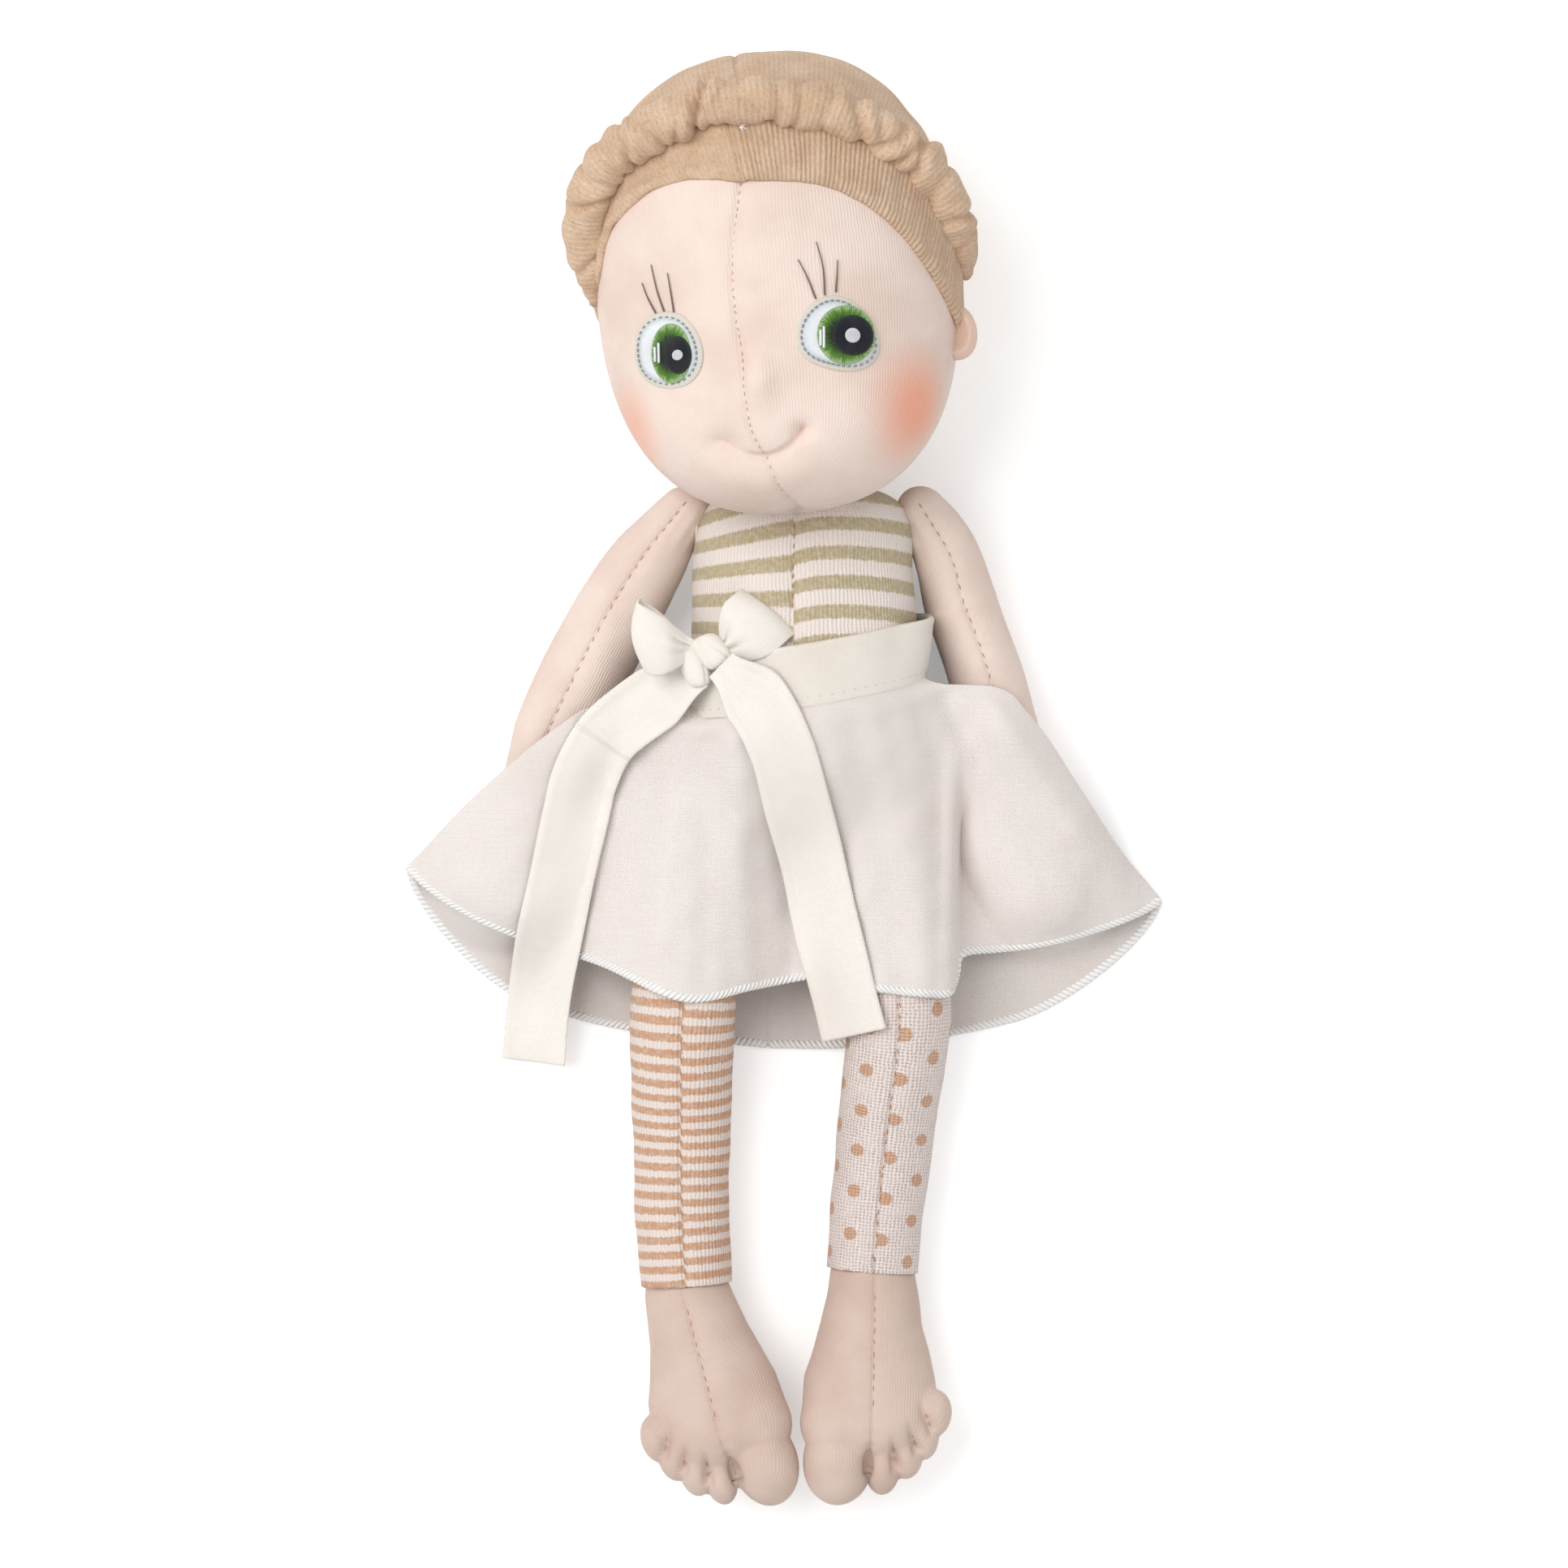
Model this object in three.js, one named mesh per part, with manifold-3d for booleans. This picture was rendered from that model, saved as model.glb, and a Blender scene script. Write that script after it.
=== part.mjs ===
// A stuffed rag doll in a wrap skirt, lying on its back. Millimetres.
// X runs to the doll's own left, Y to the top of its head and Z out of its chest.
// The surface it lies on is Z = 0. Right and left are the doll's own.
import * as THREE from 'three';
import { mergeVertices } from 'three/addons/utils/BufferGeometryUtils.js';
import Module from 'manifold-3d';

const wasm = await Module();
wasm.setup();

// Cloth, clearances and how the doll lies
const SKIN = 1.0; // jersey with its seam allowance
const COTTON = 0.8; // skirt, sash and bow
const GAP = 0.3; // between pieces that touch
const PRESS = 0.5; // how deep the soft back is pressed flat
const SKIRT_LIFT = 0.9; // middle of the cloth that lies on the floor
const OVER_SKIRT = 2.3; // underside of what lies on the skirt's back

// Head
const HEAD_HALF_LENGTH = 55;
const HEAD_HALF_WIDTH = 43.4;
const HEAD_FRONT = 39;
const HEAD_BACK = 42.5;
const HEAD_TILT = 5; // degrees, its top towards the right shoulder
const CHIN_FORWARD = 9;
const HEAD_FULLNESS = 2.4; // 2 is an ellipse, more is squarer
const NOSE = { side: -5.4, up: -26.5, wide: 5.4, tall: 6.4, deep: 5, proud: 1.8 };
const FACE_SEAM = [
  [-10.5, 30],
  [-9.6, 6],
  [-7.4, -22],
  [-4.4, -40],
  [0.6, -62],
];
const HEAD_MIDDLE = HEAD_BACK - PRESS; // above the surface that it lies on
const HAIRLINE = {
  rise: 0.473 * HEAD_HALF_LENGTH,
  halfWidth: HEAD_HALF_WIDTH + 0.1,
  foot: -0.073 * HEAD_HALF_LENGTH,
  behind: HEAD_MIDDLE - 4,
};
const HAIR_BAND_DEPTH = 17; // from the hairline to the roll
const PARTING_LEAN = 1.5; // of the hair's centre seam, from the face to the crown
const ROLL = {
  halfWidth: HEAD_HALF_WIDTH + 1.6,
  rise: HEAD_HALF_LENGTH - 13,
  foot: 2.5,
  low: HEAD_MIDDLE + 3,
  high: HEAD_MIDDLE + 0.667 * HEAD_FRONT,
  thick: 5.8,
  sweep: 93,
};
const ROLL_PUCKERS = 11;
const EYES = {
  right: {
    side: -0.61 * HEAD_HALF_WIDTH,
    up: -0.278 * HEAD_HALF_LENGTH,
    halfWidth: 7.9,
    halfHeight: 9.1,
  },
  left: {
    side: 0.297 * HEAD_HALF_WIDTH,
    up: -0.275 * HEAD_HALF_LENGTH,
    halfWidth: 9.7,
    halfHeight: 9.0,
  },
};
const EYE_FELT = 1.1;
const EAR = {
  up: -0.282 * HEAD_HALF_LENGTH,
  height: HEAD_MIDDLE + 7,
  halfWide: 3.6,
  halfTall: 7.2,
  thick: 2.5,
  lobe: 2.2,
};

// Torso, from the crotch to the shoulders
const TORSO_LENGTH = 72;
const CROTCH = { x: 2.5, y: 1 };
const TORSO_MIDST = { x: CROTCH.x + 2.5, y: CROTCH.y + TORSO_LENGTH / 2 + 1 };
const TORSO_TOP = { x: CROTCH.x + 0.5, y: CROTCH.y + TORSO_LENGTH };
const TORSO_SPINE = [
  [CROTCH.x, CROTCH.y],
  [TORSO_MIDST.x, TORSO_MIDST.y],
  [TORSO_TOP.x, TORSO_TOP.y],
];
const TORSO_HALF_WIDTH = 27.6;
const TORSO_DEPTH = 40;
const TORSO_FULLNESS = 4.2;
const SHOULDER_NARROWING = 1.6;
const SEAM_BESIDE_SPINE = 2.5;

// Neck, a ball between the body's top and the head
const NECK_ABOVE_TORSO = 3;
const NECK = { x: TORSO_TOP.x - 1, y: TORSO_TOP.y + NECK_ABOVE_TORSO };
const NECK_PLACE = [NECK.x, NECK.y, 22];
const NECK_RADIUS = 13;
const CHIN_BELOW_NECK = 11.4;
const HEAD_PLACE = [NECK.x - 3.8, NECK.y + HEAD_HALF_LENGTH - CHIN_BELOW_NECK];
const TORSO_LIFT = OVER_SKIRT + PRESS;
const LIFT_ENDS = [42, 54]; // from the waist, which lies on the band, to the upper back

// Waistband, sash and bow
const BAND_HEIGHT = 14.7;
const BAND_PLACE = 29;
const BAND_SLOPE = 9; // degrees, up towards the left side
const BAND_TILT = 8; // degrees, its back higher than its front
const SASH_WIDTH = 15.4;
const TAIL_STEP = 1.3; // from the skirt's middle to that of a hanging end
const STEEP = 1.35; // the most that sloping cloth is thickened upright
const TAIL_REACH = 2.8; // how far a hanging end bridges over an edge under it
const KNOT = { place: [-18.1, 31.4], half: [3.9, 4.1, 2.9] };
const LOOPS = {
  right: { heading: 166, reach: 16.8 },
  left: { heading: 36, reach: 18.5 },
};
const LOOP_RISE = 6;
const TAILS = {
  right: [
    [-20, 26],
    [-34, 18.5],
    [-45.5, 8],
    [-51, -8],
    [-55.5, -28],
    [-60, -50],
    [-62, -68.5],
  ],
  left: [
    [-15.5, 26],
    [-6, 17],
    [0.5, 3],
    [5, -15],
    [9.6, -36],
    [14.5, -52],
    [17.5, -61],
  ],
};

// Skirt: where its hems and sides run on the floor plane
const FRONT_OPENING_WAIST = 2.5;
const SKIRT_TIP = 93.4;
const SIDE_RISE = 0.5; // how far a panel's top climbs to its side line, where that starts higher
const SIDE_TURN = 0.9; // how far round a panel's top goes towards the side, of a quarter turn
const BELLY_FADE = [-22, 10]; // where the belly's height passes over to the legs'
const SKIRT_SIDES = {
  right: [
    [-33.5, 27],
    [-52.6, 15.5],
    [-73, -0.6],
    [-SKIRT_TIP, -20.9],
  ],
  left: [
    [43, 28],
    [56, 18],
    [72, 0.2],
    [SKIRT_TIP, -29],
  ],
};
const FRONT_HEMS = {
  right: [
    [8.6, -47],
    [-8, -50],
    [-23, -52.5],
    [-45.6, -44],
    [-77, -35],
    [-SKIRT_TIP, -20.9],
  ],
  left: [
    [8.6, -47],
    [22, -50],
    [39, -51.5],
    [46, -43],
    [67, -40],
    [84, -36],
    [SKIRT_TIP, -29],
  ],
};
const BACK_HEMS = {
  right: [
    [-4, -65],
    [-33.5, -61.5],
    [-54, -57],
    [-74, -49],
    [-88, -37],
    [-SKIRT_TIP, -20.9],
  ],
  left: [
    [-4, -65],
    [14, -65],
    [41, -62],
    [71, -54],
    [86, -44.5],
    [SKIRT_TIP, -29],
  ],
};
const CLOTH_CLEAR = 2.4; // cloth over a limb, to its middle
const LAYER_STEP = 2.2; // from the skirt's back to its front where they lie together
const FRONT_FALL = 0.95; // how steeply the front layer falls from a limb
const BACK_FALL = 2.2;
const HAND_ROOM = [12, 15, 11]; // half widths of what the skirt covers, from wrist to fingertips

// Arms
const SHOULDER_RADIUS = 8.6;
const TAB_ANGLE = 35; // degrees, half the cap where the arm is sewn on
const TAB_CLOTH = 0.8;
const SHOULDER_BELOW_TOP = 11;
const SHOULDER_PROUD = { right: 1.9, left: 3.7 }; // of the torso's side
const SHOULDERS = {
  right: [
    TORSO_TOP.x - TORSO_HALF_WIDTH - SHOULDER_PROUD.right,
    TORSO_TOP.y - SHOULDER_BELOW_TOP,
  ],
  left: [
    TORSO_TOP.x + TORSO_HALF_WIDTH + SHOULDER_PROUD.left,
    TORSO_TOP.y - SHOULDER_BELOW_TOP,
  ],
};
const ARM_LENGTHS = { right: 74, left: 75 }; // along the body, from the shoulder to the palm
/** Each arm's line: out from the shoulder, share of the arm's length, and height. */
const ARMS = {
  right: {
    path: [
      [0, 0, 18],
      [-8, 0.101, 15.5],
      [-16, 0.284, 11.2],
      [-23, 0.486, 10.6],
      [-29, 0.689, 10.4],
      [-34.5, 0.878, 8.6],
      [-38, 1, 8.2],
    ],
    heading: [-0.37, -0.93],
  },
  left: {
    path: [
      [0, 0, 18],
      [7.1, 0.1, 15.5],
      [11.3, 0.24, 11.4],
      [15.1, 0.427, 10.6],
      [18.9, 0.64, 10.4],
      [23.7, 0.867, 8.6],
      [26.5, 1, 8.2],
    ],
    heading: [0.28, -0.96],
  },
};
const ARM_WIDE = [SHOULDER_RADIUS, 9.4, 10.6, 11, 10.6, 8.6, 9.8];
const ARM_THICK = [SHOULDER_RADIUS, 9.4, 10.8, 11, 10.8, 8.6, 7.6];
const FINGER = { wide: 2.9, long: 4.6, thick: 4.6, reach: 9.2, step: 4.5 };
const THUMB = { wide: 3.4, long: 5.6, thick: 4.2, side: 10.6, reach: 2 };

// Legs and feet
const HIP_RADIUS = 12.3;
const ANKLE_RADIUS = 10.7;
const LEG_WIDE = [HIP_RADIUS, 12.7, 12.9, 12, 11.5, 11.3];
const HIP_INSET = { right: 5.6, left: 7.3 }; // of the hip's middle in the torso's half width
const HIP_BELOW_CROTCH = 9;
const HIPS = {
  right: [CROTCH.x - TORSO_HALF_WIDTH + HIP_INSET.right, CROTCH.y - HIP_BELOW_CROTCH],
  left: [CROTCH.x + TORSO_HALF_WIDTH - HIP_INSET.left, CROTCH.y - HIP_BELOW_CROTCH],
};
const LEG_LENGTHS = { right: 115, left: 111.5 }; // from the hip to the cuff
/** Each leg's line: to the left of the hip, share of the leg's length, and height. */
const LEGS = {
  right: [
    [0, 0, HIP_RADIUS + OVER_SKIRT],
    [-3.1, 0.209, 12.7 + OVER_SKIRT],
    [-5.3, 0.417, 12.9 + OVER_SKIRT],
    [-5.7, 0.687, 11.6],
    [-5.5, 0.861, 11.0],
    [-4.5, 1, 10.9],
  ],
  left: [
    [0, 0, HIP_RADIUS + OVER_SKIRT],
    [3.6, 0.215, 12.7 + OVER_SKIRT],
    [5.2, 0.43, 12.9 + OVER_SKIRT],
    [2, 0.709, 11.6],
    [0.1, 0.87, 11.0],
    [-1, 1, 10.9],
  ],
};
const CUFF_BACK = 3.5; // the leg ends this far above the ankle's centre
const ANKLE_RISE = 0.5; // of the ankle's centre over the middle of the leg's end
const FEET = {
  right: { beside: 0.4, heading: [0.26, -0.965] },
  left: { beside: -0.1, heading: [-0.02, -1] },
};
const FOOT_REACH = [0, 12, 24, 33];
const FOOT_WIDE = [ANKLE_RADIUS, 12.6, 16.2, 16.8];
const FOOT_THICK = [ANKLE_RADIUS, 11.9, 11.4, 10.4];
const FOOT_RISE = [0, 0.8, 3, 6];
const TOES = [
  { side: 8, reach: 43.5, wide: 8.3, long: 10.4, thick: 8.6 },
  { side: -3.4, reach: 43.8, wide: 4.3, long: 7, thick: 5.6 },
  { side: -9, reach: 40.4, wide: 4.2, long: 6.6, thick: 5.4 },
  { side: -13.2, reach: 36, wide: 4.1, long: 6.2, thick: 5.2 },
  { side: -16, reach: 30.8, wide: 4, long: 6, thick: 5 },
];
const TOE_RISE = 7.5;

// How finely the round forms are drawn: the surface, and the hidden lining and stuffing
const FINE = { sides: 20, rows: 14 };
const COARSE = { sides: 12, rows: 8 };
const LIMB_SIDES = 12;
const LIMB_CORE_SIDES = 8;
const LIMB_CORE_STEPS = 5;
const TOE_SIDES = 7;
const CLOTH_GRID = { across: 16, down: 11 };
const EVEN = 0.08; // facets flatter than this are merged

const COLOURS = {
  skin: 0xf0dccd,
  velour: 0xd4b694,
  khakiStripe: 0xcfc6ab,
  brownStripe: 0xdcc0a6,
  dotted: 0xe3d2c8,
  cotton: 0xf2eee6,
  felt: 0xe9eaec,
  wool: 0xf4f1ea,
};

const radians = THREE.MathUtils.degToRad;
const { lerp, smoothstep, clamp } = THREE.MathUtils;
const point = (x, y, z) => new THREE.Vector3(x, y, z);
const FAR = 400;

/** A solid from a closed three.js geometry. */
function solidOf(geometry) {
  const bare = geometry.clone();
  bare.deleteAttribute('normal');
  bare.deleteAttribute('uv');
  const merged = mergeVertices(bare, 1e-4);
  const mesh = new wasm.Mesh({
    numProp: 3,
    vertProperties: new Float32Array(merged.attributes.position.array),
    triVerts: new Uint32Array(merged.index.array),
  });
  return new wasm.Manifold(mesh);
}

/** A three.js geometry from a solid. */
function geometryOf(solid) {
  const mesh = solid.getMesh();
  const geometry = new THREE.BufferGeometry();
  const positions = new Float32Array(mesh.vertProperties);
  geometry.setAttribute('position', new THREE.BufferAttribute(positions, 3));
  geometry.setIndex(Array.from(mesh.triVerts));
  geometry.computeVertexNormals();
  return geometry;
}

/** A closed solid from rows of points: a row of one point is a pole, an end row of more is filled. */
function solidFromRows(rows) {
  const positions = rows.flat().flatMap((p) => [p.x, p.y, p.z]);
  const starts = [];
  rows.reduce((start, row) => {
    starts.push(start);
    return start + row.length;
  }, 0);
  const index = [];
  for (let i = 0; i + 1 < rows.length; i++) {
    const [near, next] = [rows[i].length, rows[i + 1].length];
    const count = Math.max(near, next);
    for (let j = 0; j < count; j++) {
      const k = (j + 1) % count;
      if (near > 1) {
        index.push(starts[i] + j, starts[i] + k, starts[i + 1] + (next > 1 ? j : 0));
      }
      if (next > 1) {
        index.push(starts[i] + (near > 1 ? k : 0), starts[i + 1] + k, starts[i + 1] + j);
      }
    }
  }
  fillEnd(rows[0], starts[0], false);
  fillEnd(rows[rows.length - 1], starts[rows.length - 1], true);

  function fillEnd(row, start, last) {
    for (let j = 1; j + 1 < row.length; j++) {
      index.push(start, start + (last ? j : j + 1), start + (last ? j + 1 : j));
    }
  }

  const geometry = new THREE.BufferGeometry();
  geometry.setAttribute('position', new THREE.Float32BufferAttribute(positions, 3));
  geometry.setIndex(signedVolume(positions, index) < 0 ? index.reverse() : index);
  return solidOf(geometry);
}

/** Six times the volume that the faces enclose, below zero if they point inwards. */
function signedVolume(positions, index) {
  const at = (i) => new THREE.Vector3().fromArray(positions, 3 * index[i]);
  let total = 0;
  for (let i = 0; i < index.length; i += 3) {
    total += at(i).dot(at(i + 1).cross(at(i + 2)));
  }
  return total;
}

/** A block that fills everything between two corners. */
function block(low, high) {
  const size = high.clone().sub(low);
  const geometry = new THREE.BoxGeometry(size.x, size.y, size.z);
  const middle = low.clone().add(high).multiplyScalar(0.5);
  return solidOf(geometry.translate(middle.x, middle.y, middle.z));
}

const aboveFloor = block(point(-FAR, -FAR, 0), point(FAR, FAR, FAR));

/** An ellipsoid turned so that its long side follows a heading on the floor plane. */
function ellipsoid(centre, wide, long, thick, heading = [0, 1], sides = TOE_SIDES) {
  const geometry = new THREE.SphereGeometry(1, sides, Math.ceil(sides * 0.6));
  geometry.rotateX(Math.PI / 2);
  geometry.scale(wide, long, thick);
  geometry.rotateZ(Math.atan2(heading[1], heading[0]) - Math.PI / 2);
  geometry.translate(centre.x, centre.y, centre.z);
  return solidOf(geometry);
}

/** A ball round a joint's centre. */
function ball(centre, radius, sides = COARSE.sides * 2) {
  return ellipsoid(centre, radius, radius, radius, [0, 1], sides);
}

/** An upright wall as thick as a seam's gap, along a line on the floor plane. */
function seamWall(line, low = -FAR, high = FAR) {
  const curve = new THREE.CatmullRomCurve3(line.map(([x, y]) => point(x, y, 0)));
  const steps = line.length;
  const rows = Array.from({ length: steps + 1 }, (_, i) => {
    const middle = curve.getPoint(i / steps);
    const along = curve.getTangent(i / steps);
    const side = point(along.y, -along.x, 0).multiplyScalar(GAP / 2);
    const near = middle.clone().add(side);
    const far = middle.clone().sub(side);
    return [near.clone().setZ(low), near.setZ(high), far.clone().setZ(high), far.setZ(low)];
  });
  return solidFromRows(rows);
}

/** The two largest bodies of a solid that a seam has parted, the one further right first. */
function partedBySeam(solid, wall) {
  const bodies = solid.subtract(wall).decompose();
  bodies.sort((a, b) => b.volume() - a.volume());
  const middle = (body) => {
    const box = body.boundingBox();
    return box.min[0] + box.max[0];
  };
  return bodies.slice(0, 2).sort((a, b) => middle(a) - middle(b));
}

/** A solid made from a shape on the floor plane, between two heights. */
function upright(outline, low, high) {
  const shape = new THREE.Shape(outline.map(([x, y]) => new THREE.Vector2(x, y)));
  const geometry = new THREE.ExtrudeGeometry(shape, { depth: high - low, bevelEnabled: false });
  return solidOf(geometry.translate(0, 0, low));
}

// The forms. Each takes how far it is grown past its real surface, below zero for what is inside.

/** How full a closed form is at a place from -1 to 1 along it. */
function fullness(place, power) {
  return (1 - Math.abs(place) ** power) ** (1 / power);
}

/** A point given in the head's own directions, in the doll's. */
function onHead(x, y, z) {
  const turned = point(x, y, z).applyAxisAngle(point(0, 0, 1), radians(HEAD_TILT));
  return turned.add(point(...HEAD_PLACE, 0));
}


/** The head's stuffed form. */
function headForm(grow, { sides, rows }) {
  const ring = (i) => {
    const place = -Math.cos((Math.PI * i) / rows);
    const low = Math.max(0, -place);
    const full = fullness(place, HEAD_FULLNESS);
    const nape = fullness(place, lerp(HEAD_FULLNESS, 1.3, smoothstep(low, 0, 0.6)));
    const height = HEAD_MIDDLE + CHIN_FORWARD * smoothstep(low, 0.3, 1);
    const count = i % rows ? sides : 1;
    return Array.from({ length: count }, (_, j) => {
      const angle = (2 * Math.PI * j) / sides;
      const depth = Math.sin(angle) > 0 ? (HEAD_FRONT + grow) * full : (HEAD_BACK + grow) * nape;
      return onHead(
        (HEAD_HALF_WIDTH + grow) * full * Math.cos(angle),
        (HEAD_HALF_LENGTH + grow) * place,
        height + depth * Math.sin(angle),
      );
    });
  };
  return solidFromRows(Array.from({ length: rows + 1 }, (_, i) => ring(i)));
}

const torsoSpine = new THREE.CatmullRomCurve3(TORSO_SPINE.map(([x, y]) => point(x, y, 0)));
const TORSO_MIDDLE = TORSO_DEPTH / 2 - PRESS;

/** The torso's width, front and back, and its middle, at a place from -1 to 1 along it. */
function torsoSection(place, grow) {
  const middle = torsoSpine.getPointAt((place + 1) / 2);
  const half = (TORSO_SPINE[2][1] - TORSO_SPINE[0][1]) / 2;
  const full = fullness(place, TORSO_FULLNESS);
  const lift = TORSO_LIFT * (1 - smoothstep(middle.y, ...LIFT_ENDS));
  const narrowed = SHOULDER_NARROWING * Math.max(0, place);
  return {
    x: middle.x,
    y: middle.y + (grow * (middle.y - TORSO_SPINE[1][1])) / half,
    z: TORSO_MIDDLE + lift / 2,
    wide: (TORSO_HALF_WIDTH - narrowed + grow) * full,
    front: (TORSO_DEPTH / 2 - lift / 4 + grow) * full,
    back: (TORSO_DEPTH / 2 - lift / 2 + grow) * full,
  };
}

/** The torso's stuffed form. */
function torsoForm(grow, { sides, rows }) {
  const ring = (i) => {
    const s = torsoSection(-Math.cos((Math.PI * i) / rows), grow);
    return Array.from({ length: i % rows ? sides : 1 }, (_, j) => {
      const angle = (2 * Math.PI * j) / sides;
      const depth = Math.sin(angle) > 0 ? s.front : s.back;
      return point(s.x + s.wide * Math.cos(angle), s.y, s.z + depth * Math.sin(angle));
    });
  };
  return solidFromRows(Array.from({ length: rows + 1 }, (_, i) => ring(i)));
}

/** The height of cloth over a round form, at a distance from its middle: it falls off straight. */
function draped(away, fall) {
  const turn = fall / Math.hypot(1, fall);
  const height = Math.sqrt(1 - Math.min(away, turn) ** 2);
  return height - Math.max(0, away - turn) * fall;
}

/** A limb: its line, its half widths and thicknesses along it, and how it ends. */
class Limb {
  constructor({ path, wide, thick = wide, roundEnd = false }) {
    Object.assign(this, { wide, thick, roundEnd });
    this.curve = new THREE.CatmullRomCurve3(path.map((p) => point(...p)), false, 'chordal');
    this.start = this.curve.getPoint(0);
    this.end = this.curve.getPoint(1);
    this.places = path.map((_, i) => i / (path.length - 1));
  }

  /** A half size at a place from 0 to 1 along the limb. */
  size(values, place) {
    const at = clamp(place, 0, 1) * (values.length - 1);
    const i = Math.min(Math.floor(at), values.length - 2);
    return lerp(values[i], values[i + 1], at - i);
  }

  /** The ring round the limb at a place, pushed along it and shrunk by a share. */
  ring(place, push, share, grow, sides) {
    const middle = this.curve.getPoint(place);
    const along = this.curve.getTangent(place);
    const side = point(-along.y, along.x, 0).normalize();
    const up = side.clone().cross(along).negate();
    middle.addScaledVector(along, push);
    const wide = (this.size(this.wide, place) + grow) * share;
    const thick = (this.size(this.thick, place) + grow) * share;
    return Array.from({ length: share > 0 ? sides : 1 }, (_, j) => {
      const angle = (2 * Math.PI * j) / sides;
      return middle
        .clone()
        .addScaledVector(side, wide * Math.cos(angle))
        .addScaledVector(up, thick * Math.sin(angle));
    });
  }

  /** The limb's form, with a ball at its start and a ball or a flat at its end. */
  form(grow, sides, steps, flatGrow = grow) {
    const turns = Math.round(sides / 4);
    const rows = [];
    const radius = this.wide[0] + grow;
    for (let i = 0; i < turns; i++) {
      const angle = (Math.PI / 2) * (i / turns);
      rows.push(this.ring(0, -radius * Math.cos(angle), Math.sin(angle), grow, sides));
    }
    for (let i = 0; i <= steps; i++) {
      const push = i === steps && !this.roundEnd ? flatGrow : 0;
      rows.push(this.ring(i / steps, push, 1, grow, sides));
    }
    if (this.roundEnd) {
      const reach = this.thick[this.thick.length - 1] + grow;
      for (let i = turns - 1; i >= 0; i--) {
        const angle = (Math.PI / 2) * (i / turns);
        rows.push(this.ring(1, reach * Math.cos(angle), Math.sin(angle), grow, sides));
      }
    }
    return solidFromRows(rows);
  }

  /** The height of cloth laid over the limb, above a point on the floor plane. */
  cover(x, y, clear, fall) {
    let best = 0;
    for (let i = 0; i <= 32; i++) {
      const middle = this.curve.getPoint(i / 32);
      const radius = this.size(this.wide, i / 32) + clear;
      const top = this.size(this.thick, i / 32) + clear;
      const away = Math.hypot(x - middle.x, y - middle.y) / radius;
      best = Math.max(best, middle.z + top * draped(away, fall));
    }
    return best;
  }
}

/** The line along a limb on the floor plane, run on past both its ends for a seam's wall. */
function seamLine(limb, past) {
  const line = Array.from({ length: 7 }, (_, i) => limb.curve.getPoint(i / 6));
  line.unshift(line[0].clone().addScaledVector(limb.curve.getTangent(0), -past));
  line.push(line[7].clone().addScaledVector(limb.curve.getTangent(1), past));
  return line.map((p) => [p.x, p.y]);
}

/** A point beside a limb's end, from its heading on the floor plane. */
function beside(origin, [hx, hy], reach, side, rise = 0) {
  return point(origin.x + hx * reach - hy * side, origin.y + hy * reach + hx * side, origin.z + rise);
}

/** A limb's points from its joint: beside it, a share of the limb's length down, and a height. */
function fromJoint([jointX, jointY], length, shares) {
  return shares.map(([out, share, height]) => [jointX + out, jointY - share * length, height]);
}

const arms = Object.fromEntries(
  Object.entries(ARMS).map(([name, { path: shares, heading }]) => {
    const path = fromJoint(SHOULDERS[name], ARM_LENGTHS[name], shares);
    const limb = new Limb({ path, wide: ARM_WIDE, thick: ARM_THICK, roundEnd: true });
    const fingertips = beside(limb.end, heading, FINGER.reach + FINGER.long / 2, 0).toArray();
    const covered = new Limb({
      path: [...path, fingertips],
      wide: [...ARM_WIDE.slice(0, -2), ...HAND_ROOM],
      thick: [...ARM_THICK, ARM_THICK[ARM_THICK.length - 1]],
    });
    return [name, { limb, covered, heading, inward: name === 'right' ? 1 : -1 }];
  }),
);

const legs = Object.fromEntries(
  Object.entries(LEGS).map(([name, shares]) => {
    const path = fromJoint(HIPS[name], LEG_LENGTHS[name], shares);
    return [name, new Limb({ path, wide: LEG_WIDE })];
  }),
);

const feet = Object.fromEntries(
  Object.entries(FEET).map(([name, { beside: aside, heading }]) => {
    const origin = legs[name].end.clone().add(point(aside, -CUFF_BACK, ANKLE_RISE));
    const path = FOOT_REACH.map((reach, i) => beside(origin, heading, reach, 0, FOOT_RISE[i]));
    const limb = new Limb({
      path: path.map((p) => p.toArray()),
      wide: FOOT_WIDE,
      thick: FOOT_THICK,
      roundEnd: true,
    });
    return [name, { limb, heading, origin, inward: name === 'right' ? 1 : -1 }];
  }),
);

/** The skin of a limb in two panels parted by its seam, and its stuffing. */
function limbPieces(limb, { bumps = [], sockets = [], steps, openEnd = false }) {
  const beyond = openEnd ? SKIN : -SKIN;
  let outer = limb.form(0, LIMB_SIDES, steps);
  for (const bump of bumps) {
    outer = outer.add(bump);
  }
  const core = (grow, end) => limb.form(grow, LIMB_CORE_SIDES, LIMB_CORE_STEPS, end);
  let skin = outer.subtract(core(-SKIN, beyond)).intersect(aboveFloor);
  let filling = core(-SKIN - GAP, 0);
  for (const socket of sockets) {
    skin = skin.subtract(socket);
    filling = filling.subtract(socket);
  }
  const [first, second] = partedBySeam(skin, seamWall(seamLine(limb, FAR / 8)));
  return { first, second, filling };
}

// Pieces of the doll

const parts = [];

/** Adds a named piece of the doll. */
function add(name, solid, colour, roughness = 0.95) {
  const drawn = solid.simplify(EVEN);
  const material = new THREE.MeshStandardMaterial({ color: colour, roughness, metalness: 0 });
  const mesh = new THREE.Mesh(geometryOf(drawn), material);
  mesh.name = name;
  parts.push(mesh);
}

const neckCentre = point(...NECK_PLACE);
const neckSocket = ball(neckCentre, NECK_RADIUS + GAP);

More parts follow.
